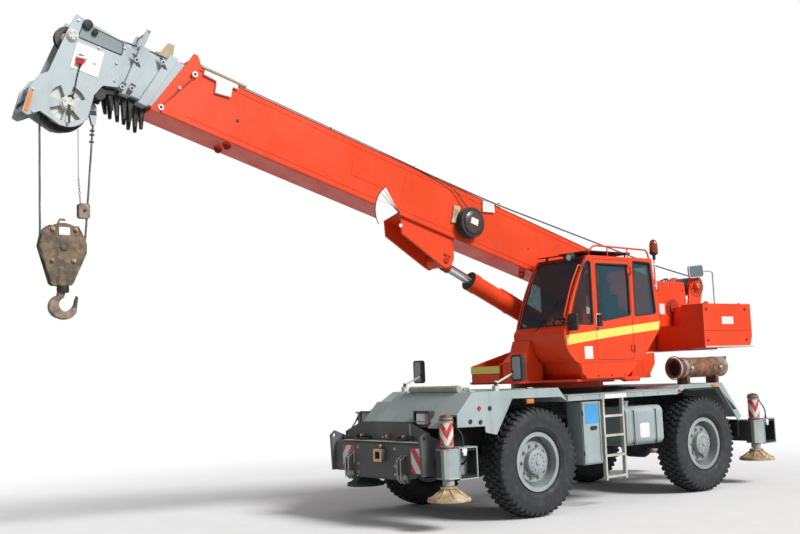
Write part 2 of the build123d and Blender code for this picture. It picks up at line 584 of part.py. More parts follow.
def build_outrigger(end, side):
    """Sliding beam with its jack and end box, and the jack's piston with its foot."""
    sign = SIDES[side]
    beam_x = BEAM_X[end] + sign * BEAM_PITCH / 2
    box_x = BEAM_X[end]
    jack_x = box_x + sign * JACK_AHEAD
    mid_z = (BEAM_LOW + BEAM_HIGH) / 2
    root = sign * (HOUSING_HALF - 2000)
    tip = sign * (HOUSING_HALF + 20)
    plate_y = HOUSING_HALF + 20 + END_DEPTH / 2
    with BuildPart() as beam:
        with Locations((beam_x, (root + tip) / 2, mid_z)):
            Box(BEAM_WIDTH, abs(tip - root), BEAM_HIGH - BEAM_LOW)
            Box(BEAM_WIDTH - 20, abs(tip - root) + 2, BEAM_HIGH - BEAM_LOW - 20, mode=Mode.SUBTRACT)
        with Locations((box_x, sign * plate_y, mid_z)):                 # open end box
            Box(END_BOX, END_DEPTH, 365)
        with Locations((box_x, sign * (plate_y + 12), mid_z)):
            Box(END_BOX - 28, END_DEPTH, 337, mode=Mode.SUBTRACT)
        with BuildSketch(Plane.XY.offset(JACK_BOX_LOW)):                # jack bracket
            with Locations((jack_x, sign * JACK_SPREAD_Y)):
                Rectangle(190, 180)
        extrude(amount=JACK_BOX_HIGH - JACK_BOX_LOW)
        chamfer(beam.edges().filter_by(Axis.Z).sort_by_distance((jack_x + sign * 95, sign * 1235,
                                                                 mid_z))[0], 40)
        with BuildSketch(Plane.XY.offset(JACK_BOX_LOW)):
            with Locations((jack_x, sign * JACK_SPREAD_Y)):
                Circle(JACK_TUBE_RADIUS)
        extrude(amount=JACK_TUBE_TOP - JACK_BOX_LOW)
        with BuildSketch(Plane.XY.offset(JACK_BOX_LOW - 70)):
            with Locations((jack_x, sign * JACK_SPREAD_Y)):
                Circle(JACK_TUBE_RADIUS - 8)
        extrude(amount=80)
        with BuildSketch(Plane.XY.offset(500)):
            with Locations((jack_x, sign * JACK_SPREAD_Y)):
                Circle(JACK_ROD_RADIUS + PIN_GAP)
        extrude(amount=720, mode=Mode.SUBTRACT)
    save(beam.part, f"outrigger_beam_{end}_{side}")
    with BuildPart() as foot:
        with BuildSketch(Plane(origin=(jack_x, sign * JACK_SPREAD_Y, 0), x_dir=(1, 0, 0),
                               z_dir=(0, -1, 0))):
            with BuildLine():
                Polyline((0, PAD_LOW), (PAD_RADIUS - 8, PAD_LOW), (PAD_RADIUS, PAD_LOW + 8),
                         (PAD_RADIUS, PAD_LOW + 22),
                         (90, PAD_TOP), (78, PAD_TOP + 40), (JACK_ROD_RADIUS, PAD_TOP + 40),
                         (JACK_ROD_RADIUS, 1180),
                         (0, 1180), close=True)
            make_face()
        revolve(axis=Axis((jack_x, sign * JACK_SPREAD_Y, 0), (0, 0, 1)))
    save(foot.part, f"outrigger_foot_{end}_{side}")


for end_name in BEAM_X:
    for side_name in SIDES:
        build_outrigger(end_name, side_name)

# ================================================================ superstructure
CHEEK_Y = BOOM_WIDTH / 2 + CHEEK_GAP            # inner face of each cheek
CHEEK_OUT = CHEEK_Y + CHEEK_THICK
PLATFORM_LOW = RING_TOP + 15
FLOOR_THICK = 30
FLOOR_TOP = PLATFORM_LOW + FLOOR_THICK
CW_FRONT, CW_REAR = -1893, -3063                # counterweight
CW_HALF = 1130
CW_TOP = 2630
CW_NOTCH = CHEEK_OUT + 27                       # half width of the slot between its two halves
LIFT_FOOT_X, LIFT_FOOT_Z = -1300, 1690
FOOT_PIN_RADIUS = 50
CYL_RADIUS = 130
ROD_RADIUS = 60
PIVOT_RADIUS = 60
PIVOT_BOSS = 20
NOSE_X = 1320               # front face of the superstructure
NOSE_HALF = 285
NOSE_TOP = 1845
LID_Z = 1790                # rear edge of the nose box's lid
BACK_PLATE_Y = 700          # upright plates behind the cab
BACK_PLATE_REAR = -1290

with BuildPart() as slew_platform:
    for sign in SIDES.values():
        with BuildSketch(side_plane(max(sign * CHEEK_Y, sign * CHEEK_OUT))):
            with BuildLine():
                Polyline((NOSE_X - 20, PLATFORM_LOW), (NOSE_X - 20, NOSE_TOP), (570, 2030), (-900, 2300),
                         (-1560, 2560),
                         (-1960, 3020), (-2640, 3020), (-2700, 2560), (-2700, CW_LOW - SHELF_THICK),
                         (-1540, CW_LOW - SHELF_THICK), (-1470, PLATFORM_LOW - 50),
                         (-1150, PLATFORM_LOW - 50),
                         (-1000, PLATFORM_LOW), close=True)
            make_face()
        extrude(amount=CHEEK_THICK)
        with BuildSketch(side_plane(max(sign * BACK_PLATE_Y, sign * (BACK_PLATE_Y - 20)))):
            with BuildLine():
                Polyline((-760, PLATFORM_LOW), (-900, 1950), (-1180, CW_LOW - SHELF_THICK),
                         (BACK_PLATE_REAR, CW_LOW - SHELF_THICK), (BACK_PLATE_REAR, 1800), (-1180, 1660),
                         (-1180, PLATFORM_LOW), close=True)
            make_face()
        extrude(amount=20)
        with BuildSketch(Plane.YZ.offset(-1180)):  # cross plates tie them to the cheeks
            with Locations((sign * (BACK_PLATE_Y + CHEEK_OUT - 10) / 2, 1775)):
                Rectangle(BACK_PLATE_Y - CHEEK_OUT, 350)
        extrude(amount=20)
    with BuildSketch(Plane.XY.offset(PLATFORM_LOW)):
        with BuildLine():
            Polyline((-700, CHEEK_OUT), (-1180, CHEEK_OUT), (-1180, BACK_PLATE_Y), (-760, BACK_PLATE_Y),
                     (-700, 900),
                     (-300, 1180), (844, 1180), (1000, 700), (NOSE_X, 620), (NOSE_X, -NOSE_HALF),
                     (1000, -700),
                     (600, -1000), (-700, -1000), (-760, -BACK_PLATE_Y), (-1180, -BACK_PLATE_Y),
                     (-1180, -CHEEK_OUT), (-700, -CHEEK_OUT), close=True)
        make_face()
    extrude(amount=FLOOR_THICK)
    with BuildSketch(Plane.XY.offset(SLEW_SPLIT + SLIDE_GAP)):
        Circle(RING_RADIUS)
        Circle(RING_RADIUS - 90, mode=Mode.SUBTRACT)
    extrude(amount=PLATFORM_LOW - SLEW_SPLIT - SLIDE_GAP)
    with Locations((CW_FRONT - 400, 0, CW_LOW - SHELF_THICK / 2)):      # shelf under the counterweight
        Box(800, 1500, SHELF_THICK)
    with BuildSketch(side_plane(NOSE_HALF)):                            # nose box, its lid sunk under the cylinder
        with BuildLine():
            Polyline((NOSE_X - 24, PLATFORM_LOW), (NOSE_X, PLATFORM_LOW), (NOSE_X, NOSE_TOP),
                     (NOSE_X - 30, NOSE_TOP), (560, LID_Z), (560, LID_Z - 16), (NOSE_X - 24, NOSE_TOP - 18),
                     close=True)
        make_face()
    extrude(amount=2 * NOSE_HALF)
    for y in (NOSE_HALF, -NOSE_HALF + 12):
        with BuildSketch(side_plane(y)):
            with BuildLine():
                Polyline((NOSE_X, PLATFORM_LOW), (NOSE_X, NOSE_TOP), (590, 2030), (590, PLATFORM_LOW),
                         close=True)
            make_face()
        extrude(amount=12)
    with BuildSketch(Plane.XZ):                                         # boom foot pin
        with Locations((BOOM_PIVOT_X, BOOM_PIVOT_Z)):
            Circle(PIVOT_RADIUS)
    extrude(amount=CHEEK_OUT + PIVOT_BOSS, both=True)
    with BuildSketch(Plane.XZ):                                         # lift cylinder foot pin
        with Locations((LIFT_FOOT_X, LIFT_FOOT_Z)):
            Circle(FOOT_PIN_RADIUS)
    extrude(amount=CHEEK_OUT + 10, both=True)
save(slew_platform.part, "slew_platform")

# ================================================================ cab
CAB_REAR_X = -789
CAB_FOOT_FRONT, CAB_FOOT_REAR = 860, -364       # front and rear ends of the cab's floor
CAB_NOSE = (1095, 2188)
SCREEN_FOOT = (1050, 2290)
SCREEN_TOP = (590, 3222)
SILL_Z = 2277                                   # underside of the side windows
DOOR_REAR_X, DOOR_FRONT_X = -220, 500
DOOR_LOW, DOOR_HIGH = 1862, 3178
DOOR_GAP = 6
HINGE_RADIUS = 16
DOOR_HINGE_X = DOOR_REAR_X - 6
DOOR_HINGE_Y = HALF_WIDTH + HINGE_RADIUS + SLIDE_GAP
WINDOW_FRAME = 55                               # door frame left round its window
GLASS_THICK = 6
GLASS_INSET = 16                                # from the outer skin to the pane
PANE_GAP = 0.3
CAB_MIDDLE_Y = (HALF_WIDTH + CAB_INNER_Y) / 2
CAB_WIDTH = HALF_WIDTH - CAB_INNER_Y

with BuildSketch() as cab_outline:
    with BuildLine():
        Line((CAB_FOOT_REAR, CAB_FLOOR_Z), (CAB_FOOT_FRONT, CAB_FLOOR_Z))
        ThreePointArc((CAB_FOOT_FRONT, CAB_FLOOR_Z), (1030, 1990), CAB_NOSE)
        ThreePointArc(CAB_NOSE, (1085, 2250), SCREEN_FOOT)
        ThreePointArc(SCREEN_FOOT, (850, 2800), SCREEN_TOP)
        Line(SCREEN_TOP, (-685, CAB_ROOF_Z - 22))
        Line((-685, CAB_ROOF_Z - 22), (CAB_REAR_X, SILL_Z))
        Line((CAB_REAR_X, SILL_Z), (CAB_FOOT_REAR, CAB_FLOOR_Z))
    make_face()
    fillet(cab_outline.vertices().group_by(Axis.Y)[-1], 40)

with BuildSketch() as cab_inside:
    add(cab_outline.sketch)
    offset(amount=-CAB_WALL, mode=Mode.REPLACE)

# side window outlines (x, z)
QUARTER_WINDOW = [(545, 2326), (978, 2338), (868, 2640), (672, 3078), (618, 3142), (545, 3142)]
REAR_SIDE_WINDOW = [(-282, 2438), (-290, 3170), (-640, 3157), (-708, 2476)]
HANDLE_LOW, HANDLE_HIGH = 2282, 2460            # door handle plate
HANDLE_REAR_X = 377
DOOR_WINDOW = [(DOOR_REAR_X + 35, 2448), (HANDLE_REAR_X - 20, 2372), (HANDLE_REAR_X - 20, HANDLE_HIGH + 6),
               (DOOR_FRONT_X - 55, HANDLE_HIGH + 6), (DOOR_FRONT_X - 55, 3117), (DOOR_REAR_X + 35, 3117)]
WINDOW_CORNER = 26


def window_panes(outlines, inset=0):
    """The faces of the given window outlines with rounded corners, less an inset."""
    with BuildSketch() as windows:
        for outline in outlines:
            with BuildLine():
                Polyline(*outline, close=True)
            make_face()
        fillet(windows.vertices(), WINDOW_CORNER)
        if inset:
            offset(amount=-inset, mode=Mode.REPLACE)
    return windows.sketch


SCREEN_TILT = atan2(SCREEN_FOOT[0] - SCREEN_TOP[0], SCREEN_TOP[1] - SCREEN_FOOT[1])
SCREEN_LENGTH = hypot(SCREEN_FOOT[0] - SCREEN_TOP[0], SCREEN_TOP[1] - SCREEN_FOOT[1])
SCREEN_PLANE = Plane(origin=((SCREEN_FOOT[0] + SCREEN_TOP[0]) / 2, CAB_MIDDLE_Y,
                             (SCREEN_FOOT[1] + SCREEN_TOP[1]) / 2),
                     x_dir=(0, 1, 0), z_dir=(cos(SCREEN_TILT), 0, sin(SCREEN_TILT)))
REAR_GLASS_PLANE = Plane(origin=(-737, CAB_MIDDLE_Y, 2740), x_dir=(0, 1, 0), z_dir=(-0.994, 0, 0.109))
REAR_GLASS = (CAB_WIDTH - 150, 780)
SCREEN_GLASS = (CAB_WIDTH - 90, SCREEN_LENGTH - 70)

with BuildPart() as cab_shell:
    with BuildSketch(side_plane(HALF_WIDTH)):
        add(cab_outline.sketch)
    extrude(amount=CAB_WIDTH)
    with BuildSketch(side_plane(HALF_WIDTH - CAB_WALL)):
        add(cab_inside.sketch)
    extrude(amount=CAB_WIDTH - 2 * CAB_WALL, mode=Mode.SUBTRACT)
    with BuildSketch(side_plane(HALF_WIDTH + 10)):                      # doorway
        with Locations(((DOOR_REAR_X + DOOR_FRONT_X) / 2, (DOOR_LOW + DOOR_HIGH) / 2)):
            RectangleRounded(DOOR_FRONT_X - DOOR_REAR_X, DOOR_HIGH - DOOR_LOW, 30)
    extrude(amount=CAB_WALL + 20, mode=Mode.SUBTRACT)
    with BuildSketch(side_plane(HALF_WIDTH + 10)):                      # fixed side windows, both sides
        add(window_panes((QUARTER_WINDOW, REAR_SIDE_WINDOW)))
    extrude(amount=CAB_WIDTH + 20, mode=Mode.SUBTRACT)
    with BuildSketch(SCREEN_PLANE.offset(-200)):
        RectangleRounded(*SCREEN_GLASS, 40)
    extrude(amount=400, mode=Mode.SUBTRACT)
    with BuildSketch(REAR_GLASS_PLANE.offset(-150)):
        RectangleRounded(*REAR_GLASS, 40)
    extrude(amount=300, mode=Mode.SUBTRACT)
save(cab_shell.part, "cab_shell")

with BuildPart() as screen_glass:                   # the curved windscreen follows the pillars
    with BuildSketch(side_plane(HALF_WIDTH - 20)):
        add(cab_outline.sketch)
        offset(amount=-GLASS_INSET, mode=Mode.REPLACE)
    extrude(amount=CAB_WIDTH - 40)
    with BuildSketch(side_plane(HALF_WIDTH - 10)):
        add(cab_outline.sketch)
        offset(amount=-GLASS_INSET - GLASS_THICK, mode=Mode.REPLACE)
    extrude(amount=CAB_WIDTH - 20, mode=Mode.SUBTRACT)
    with BuildSketch(SCREEN_PLANE.offset(-200)):
        RectangleRounded(SCREEN_GLASS[0] - 2 * PANE_GAP, SCREEN_GLASS[1] - 2 * PANE_GAP, 40 - PANE_GAP)
    extrude(amount=400, mode=Mode.INTERSECT)

with BuildPart() as rear_glass:
    with BuildSketch(REAR_GLASS_PLANE.offset(-GLASS_INSET - GLASS_THICK)):
        RectangleRounded(REAR_GLASS[0] - 2 * PANE_GAP, REAR_GLASS[1] - 2 * PANE_GAP, 40 - PANE_GAP)
    extrude(amount=GLASS_THICK)

with BuildPart() as cab_windows:
    for y in (HALF_WIDTH - GLASS_INSET, CAB_INNER_Y + GLASS_INSET + GLASS_THICK):
        with BuildSketch(side_plane(y)):
            add(window_panes((QUARTER_WINDOW, REAR_SIDE_WINDOW), PANE_GAP))
        extrude(amount=GLASS_THICK)
    add(screen_glass.part)
    add(rear_glass.part)
save(cab_windows.part, "cab_windows")

DOOR_MIDDLE_X = (DOOR_REAR_X + DOOR_FRONT_X) / 2
DOOR_WIDTH = DOOR_FRONT_X - DOOR_REAR_X - 2 * DOOR_GAP
DOOR_HEIGHT = DOOR_HIGH - DOOR_LOW - 2 * DOOR_GAP
DOOR_PANEL_Z = (1990, 2232)                         # hollow behind the door's lower skin
HANDLE_X = DOOR_FRONT_X - 52
HANDLE_Z = (HANDLE_LOW + HANDLE_HIGH) / 2
with BuildPart() as cab_door:
    with BuildSketch(side_plane(HALF_WIDTH)):
        with Locations((DOOR_MIDDLE_X, (DOOR_LOW + DOOR_HIGH) / 2)):
            RectangleRounded(DOOR_WIDTH, DOOR_HEIGHT, 26)
        add(window_panes((DOOR_WINDOW,)), mode=Mode.SUBTRACT)
    extrude(amount=CAB_WALL)
    with BuildSketch(side_plane(HALF_WIDTH - 6)):                       # folded edges round a thinner skin
        with Locations((DOOR_MIDDLE_X, sum(DOOR_PANEL_Z) / 2)):
            Rectangle(DOOR_WIDTH - 2 * WINDOW_FRAME, DOOR_PANEL_Z[1] - DOOR_PANEL_Z[0])
    extrude(amount=CAB_WALL, mode=Mode.SUBTRACT)
    for hinge_z in (2010, 3040):
        with Locations((DOOR_HINGE_X, DOOR_HINGE_Y, hinge_z)):
            Cylinder(HINGE_RADIUS, 90)
        with Locations((DOOR_HINGE_X + 38, HALF_WIDTH + 6, hinge_z)):
            Box(60, 12, 80)
    with BuildSketch(side_plane(HALF_WIDTH + 44)):                      # pull handle
        with Locations((HANDLE_X, HANDLE_Z)):
            RectangleRounded(26, 160, 10)
    extrude(amount=16)
    for end in (62, -62):
        with Locations((HANDLE_X, HALF_WIDTH + 15, HANDLE_Z + end)):
            Box(22, 30, 22)
save(cab_door.part, "cab_door")

with BuildPart() as door_glass:
    with BuildSketch(side_plane(HALF_WIDTH - GLASS_INSET)):
        add(window_panes((DOOR_WINDOW,), PANE_GAP))
    extrude(amount=GLASS_THICK)
save(door_glass.part, "door_glass")

SEAT_X, SEAT_Y = 60, CAB_MIDDLE_Y
CUSHION_LOW = 2090
CAB_FLOOR_TOP = CAB_FLOOR_Z + CAB_WALL
with BuildPart() as operator_seat:
    with BuildSketch(Plane.XY.offset(CUSHION_LOW)):
        with Locations((SEAT_X, SEAT_Y)):
            RectangleRounded(500, 490, 70)
    extrude(amount=130)
    with BuildSketch(side_plane(SEAT_Y + 225)):
        with BuildLine():
            Polyline((SEAT_X - 225, CUSHION_LOW + 60), (SEAT_X - 110, CUSHION_LOW + 60),
                     (SEAT_X - 210, 2760),
                     (SEAT_X - 300, 2760), close=True)
        make_face()
    extrude(amount=450)
    with BuildSketch(side_plane(SEAT_Y + 130)):                         # head restraint
        with BuildLine():
            Polyline((SEAT_X - 225, 2750), (SEAT_X - 300, 2750), (SEAT_X - 330, 2930),
                     (SEAT_X - 255, 2940), close=True)
        make_face()
    extrude(amount=260)
    with BuildSketch(Plane.XY.offset(CAB_FLOOR_TOP)):
        with Locations((SEAT_X, SEAT_Y)):
            Rectangle(420, 400)
    extrude(amount=CUSHION_LOW - CAB_FLOOR_TOP, taper=14)
    for side in (290, -290):                                            # armrest consoles
        with Locations((SEAT_X + 60, SEAT_Y + side, 2210)):
            Box(420, 90, 150)
        with Locations((SEAT_X + 60, SEAT_Y + side * 0.86, 2120)):
            Box(300, 60, 50)
    with BuildSketch(Plane.XY.offset(2284)):
        with Locations((SEAT_X + 210, SEAT_Y + 290), (SEAT_X + 210, SEAT_Y - 290)):
            Circle(16)
    extrude(amount=140)
save(operator_seat.part, "operator_seat")

with BuildPart() as cab_sill:
    with BuildSketch(side_plane(HALF_WIDTH - 4)):                       # tapered skirt under the cab
        with BuildLine():
            Polyline((CAB_FOOT_FRONT - 16, CAB_FLOOR_Z), (CAB_FOOT_REAR + 60, CAB_FLOOR_Z), (-150, 1700),
                     (-40, FLOOR_TOP),
                     (700, FLOOR_TOP), (780, 1700), close=True)
        make_face()
    extrude(amount=CAB_WIDTH - 8)
    with BuildSketch(side_plane(HALF_WIDTH - 30)):
        with Locations((330, (FLOOR_TOP + CAB_FLOOR_Z) / 2)):
            Rectangle(640, CAB_FLOOR_Z - FLOOR_TOP - 60)
    extrude(amount=CAB_WIDTH - 60, mode=Mode.SUBTRACT)
save(cab_sill.part, "cab_sill")

APRON_Y = (CAB_INNER_Y, 640)
with BuildPart() as cab_apron:                                          # sloping cover ahead of the cab
    with BuildSketch(side_plane(APRON_Y[1])):
        with BuildLine():
            Polyline((NOSE_X, FLOOR_TOP), (NOSE_X, 1880), (1178, 2000), (1122, 2150), (1104, 2150),
                     (1045, 1985),
                     (962, 1880), (900, 1832), (900, FLOOR_TOP), close=True)
        make_face()
    extrude(amount=APRON_Y[1] - APRON_Y[0])
save(cab_apron.part, "cab_apron")

with BuildPart() as counterweight:
    with BuildSketch(side_plane(CW_HALF)):
        with BuildLine():
            Polyline((CW_FRONT, CW_LOW), (CW_FRONT, CW_TOP), (CW_REAR, CW_TOP), (CW_REAR, 2196),
                     (CW_REAR + 90, CW_LOW),
                     close=True)
        make_face()
    extrude(amount=2 * CW_HALF)
    fillet(counterweight.edges().filter_by(Axis.Z).sort_by(Axis.X)[:2], 30)
    notch_rear = BOOM_PIVOT_X - hypot(BOOM_REAR, BOOM_HEIGHT / 2) - 2 * RUN_GAP     # the boom foot swings in it
    with Locations(((notch_rear + CW_FRONT + 20) / 2, 0, CW_LOW)):
        Box(CW_FRONT + 20 - notch_rear, 2 * CW_NOTCH, 2 * (CW_TOP - CW_LOW) + 200, mode=Mode.SUBTRACT)
    with Locations((-1990, 0, 2490)):                                   # step behind the cheeks' front
        Box(620, 1500, 300, mode=Mode.SUBTRACT)
    for y in (700, -700):                                               # lifting eyes
        with BuildSketch(side_plane(y + 12)):
            with Locations((-2560, CW_TOP + 20)):
                Circle(52)
                Circle(24, mode=Mode.SUBTRACT)
        extrude(amount=24)
save(counterweight.part, "counterweight")

WINCH_RADIUS = 118
WINCH_HALF = 190
with BuildPart() as hoist_winch:
    with BuildSketch(side_plane(WINCH_HALF)):
        with Locations((WINCH_X, WINCH_Z)):
            Circle(WINCH_RADIUS)
    extrude(amount=2 * WINCH_HALF)
    for sign in SIDES.values():
        with BuildSketch(side_plane(max(sign * WINCH_HALF, sign * (WINCH_HALF - 16)))):  # drum flanges
            with Locations((WINCH_X, WINCH_Z)):
                Circle(WINCH_PLATE_RADIUS - 6)
        extrude(amount=16)
        with BuildSketch(side_plane(max(sign * WINCH_HALF, sign * (WINCH_HALF + 25)))):
            with Locations((WINCH_X, WINCH_Z)):
                Circle(WINCH_PLATE_RADIUS)
            with BuildLine():
                Polyline((WINCH_X - 60, CW_TOP), (WINCH_X - 168, WINCH_Z), (WINCH_X + 168, WINCH_Z),
                         (WINCH_X + 235, CW_TOP), close=True)
            make_face()
        extrude(amount=25)
        # motor and bearing
        with BuildSketch(side_plane(max(sign * (WINCH_HALF + 24), sign * (WINCH_HALF + 60)))):
            with Locations((WINCH_X, WINCH_Z)):
                Circle(78)
        extrude(amount=36)
save(hoist_winch.part, "hoist_winch")

# ================================================================ boom head, seen from the side (u, v)
SHEAVE_U, SHEAVE_V = 9527, -625                 # lower sheave, which leads the hoist rope down
TOP_SHEAVE_U, TOP_SHEAVE_V = 9675, 85
SHEAVE_RADIUS = 262
TOP_SHEAVE_RADIUS = 190
ROPE_RADIUS = 11
ROPE_PITCH = 230
SHEAVE_DEPTH = SHEAVE_RADIUS - ROPE_PITCH + ROPE_RADIUS + SLIDE_GAP
SHAFT_RADIUS = 42
HEAD_Y = 147                # inner face of each head plate
HEAD_THICK = 20
HEAD_OUTLINE = [(9080, -240), (9235, -290), (9300, -440), (9300, -700), (9527, -860), (9760, -800),
                (9870, -893),
                (9932, -880), (9931, -594), (9870, -444), (9800, -380), (9728, 180), (9692, 326),
                (9640, 318),
                (9154, 262), (9080, 242)]
WINDOW_IN, WINDOW_OUT = 76, 196
WINDOW_ANGLES = (28, 118, 238, 300)
WINDOW_SPREAD = 26
EYE_U, EYE_V = 4400, -640                       # lift cylinder's upper pin

# ================================================================ boom
SECTIONS = [
    # name, rear end u, front end u at the underside, front end u at the top
    ("boom_base", -BOOM_REAR, 8702, 8432),
    ("boom_section_2", 500, 8850, 8640),
    ("boom_section_3", 750, 9050, 8960),
    ("boom_head", 1000, 9240, 9240),
]
COLLAR_LENGTH = 105         # slanted collar at the mouth of each outer section
COLLAR_PROUD = 24
REAR_PAD = 140              # wear pads at the rear of each inner section
BUSH_RADIUS = 140


def boom_box(index, inset=0):
    """Outside width and height of a boom section, less an inset all round."""
    return (BOOM_WIDTH - index * BOOM_STEP_W - 2 * inset, BOOM_HEIGHT - index * BOOM_STEP_H - 2 * inset)


def slant_polygon(low_u, top_u, reach):
    """Side outline (u, v) of everything ahead of a slanted boom end."""
    half = BOOM_HEIGHT / 2
    slope = (top_u - low_u) / (2 * half)
    return [(low_u - slope * half, -2 * half), (top_u + slope * half, 2 * half),
            (low_u + reach, 2 * half), (low_u + reach, -2 * half)]


def boom_collar(index, low_u, top_u, front_u):
    """Slanted collar round the mouth of a section, open for the section inside."""
    with BuildPart() as collar:
        with BuildSketch(boom_cut(top_u - COLLAR_LENGTH)):
            RectangleRounded(*boom_box(index, -COLLAR_PROUD), 10)
            Rectangle(*boom_box(index + 1, -SLIDE_GAP), mode=Mode.SUBTRACT)
        extrude(amount=front_u - top_u + COLLAR_LENGTH)
        with BuildSketch(boom_side(BOOM_WIDTH)):
            with BuildLine():
                Polyline(*slant_polygon(low_u, top_u, 600), close=True)
            make_face()
        extrude(amount=2 * BOOM_WIDTH, mode=Mode.SUBTRACT)
        with BuildSketch(boom_side(BOOM_WIDTH)):
            with BuildLine():
                Polyline(*slant_polygon(low_u - COLLAR_LENGTH, top_u - COLLAR_LENGTH, -900), close=True)
            make_face()
        extrude(amount=2 * BOOM_WIDTH, mode=Mode.SUBTRACT)
    return collar.part


LIFT_EAR_Y = CYL_RADIUS + 20        # inner face of each ear that holds the lift cylinder's rod
LIFT_EAR_THICK = 30
EYE_RADIUS = 88
EYE_PIN_RADIUS = 45

for index, (name, rear_u, low_u, top_u) in enumerate(SECTIONS):
    front_u = max(low_u, top_u)
    has_collar = index < len(SECTIONS) - 1
    collar = boom_collar(index, low_u, top_u, front_u) if has_collar else None
    with BuildPart() as section:
        with BuildSketch(boom_cut(rear_u)):
            RectangleRounded(*boom_box(index), 14)
            RectangleRounded(*boom_box(index, BOOM_WALL), 5, mode=Mode.SUBTRACT)
        extrude(amount=front_u - rear_u)
        if has_collar:
            with BuildSketch(boom_side(BOOM_WIDTH)):
                with BuildLine():
                    Polyline(*slant_polygon(low_u, top_u, 600), close=True)
                make_face()
            extrude(amount=2 * BOOM_WIDTH, mode=Mode.SUBTRACT)
            add(collar)
        if index > 0:                           # rear wear pads slide inside the section outside
            with BuildSketch(boom_cut(rear_u)):
                RectangleRounded(*boom_box(index - 1, BOOM_WALL + SLIDE_GAP), 6)
                Rectangle(*boom_box(index, BOOM_WALL / 2), mode=Mode.SUBTRACT)
            extrude(amount=REAR_PAD)
        if index == 0:
            with BuildSketch(boom_side(CHEEK_Y - SLIDE_GAP)):                       # foot bush
                Circle(BUSH_RADIUS)
            extrude(amount=2 * (CHEEK_Y - SLIDE_GAP))
            with BuildSketch(boom_side(BOOM_WIDTH)):
                Circle(PIVOT_RADIUS + PIN_GAP)
            extrude(amount=2 * BOOM_WIDTH, mode=Mode.SUBTRACT)
            for sign in SIDES.values():
                with BuildSketch(boom_side(max(sign * LIFT_EAR_Y, sign * (LIFT_EAR_Y + LIFT_EAR_THICK)))):
                    with BuildLine():                                               # lift cylinder's ears
                        Polyline((EYE_U + 830, -BOOM_HEIGHT / 2 + 1), (EYE_U + 760, EYE_V + 110),
                                 (EYE_U + 90, EYE_V - 78), (EYE_U - 20, EYE_V - 100),
                                 (EYE_U - 100, EYE_V - 40),
                                 (EYE_U - 120, EYE_V + 60), (EYE_U - 60, -BOOM_HEIGHT / 2 + 1), close=True)
                    make_face()
                extrude(amount=LIFT_EAR_THICK)
                pin_end = sign * (LIFT_EAR_Y + LIFT_EAR_THICK)                      # end of the upper pin
                with BuildSketch(boom_side(max(pin_end, pin_end + sign * 14))):
                    with Locations((EYE_U, EYE_V)):
                        Circle(EYE_PIN_RADIUS)
                extrude(amount=14)
                with BuildSketch(boom_side(max(sign * 165, sign * 187))):  # ears on top of the mouth
                    with BuildLine():
                        Polyline((top_u - 210, BOOM_HEIGHT / 2 - 6), (top_u - 12, BOOM_HEIGHT / 2 - 6),
                                 (top_u - 62, BOOM_HEIGHT / 2 + 142), (top_u - 108, BOOM_HEIGHT / 2 + 142),
                                 close=True)
                    make_face()
                extrude(amount=22)
            with BuildSketch(boom_side(50)):  # lifting lug under the boom
                with Locations((2960, -BOOM_HEIGHT / 2 - 30)):
                    Circle(52)
                    Circle(22, mode=Mode.SUBTRACT)
            extrude(amount=24)
            with BuildSketch(boom_cut(rear_u)):                                     # closed rear end
                RectangleRounded(*boom_box(index), 14)
            extrude(amount=20)
        if index == len(SECTIONS) - 1:
            for sign in SIDES.values():
                with BuildSketch(boom_side(max(sign * HEAD_Y, sign * (HEAD_Y + HEAD_THICK)))):
                    with BuildLine():
                        Polyline(*HEAD_OUTLINE, close=True)
                    make_face()
                    with Locations((SHEAVE_U, SHEAVE_V)):
                        Circle(SHEAVE_RADIUS - 25)
                    for middle in WINDOW_ANGLES:                                    # fan-shaped windows
                        low, high = radians(middle - WINDOW_SPREAD), radians(middle + WINDOW_SPREAD)
                        turn = radians(middle)
                        with BuildLine():
                            ends = [(SHEAVE_U + r * cos(a), SHEAVE_V + r * sin(a))
                                    for r, a in ((WINDOW_IN, low), (WINDOW_OUT, low), (WINDOW_OUT, turn),
                                                 (WINDOW_OUT, high), (WINDOW_IN, high))]
                            Line(ends[0], ends[1])
                            ThreePointArc(ends[1], ends[2], ends[3])
                            Line(ends[3], ends[4])
                            Line(ends[4], ends[0])
                        make_face(mode=Mode.SUBTRACT)
                    with BuildLine():  # long recess by the top sheave
                        Polyline((9190, 150), (9190, 228), (9560, 268), (9600, 200), (9560, 150),
                                 close=True)
                    make_face(mode=Mode.SUBTRACT)
                extrude(amount=HEAD_THICK)
            for u, v in ((SHEAVE_U, SHEAVE_V), (TOP_SHEAVE_U, TOP_SHEAVE_V)):       # sheave shafts
                with BuildSketch(boom_side(HEAD_Y + HEAD_THICK + 22)):
                    with Locations((u, v)):
                        Circle(SHAFT_RADIUS)
                extrude(amount=2 * (HEAD_Y + HEAD_THICK + 22))
            for u, v, radius in ((9905, -800, 22), (9880, -560, 22), (9300, 0, 30)):      # spacer tubes
                with BuildSketch(boom_side(HEAD_Y + 5)):
                    with Locations((u, v)):
                        Circle(radius)
                extrude(amount=2 * HEAD_Y + 10)
    save(section.part, name)

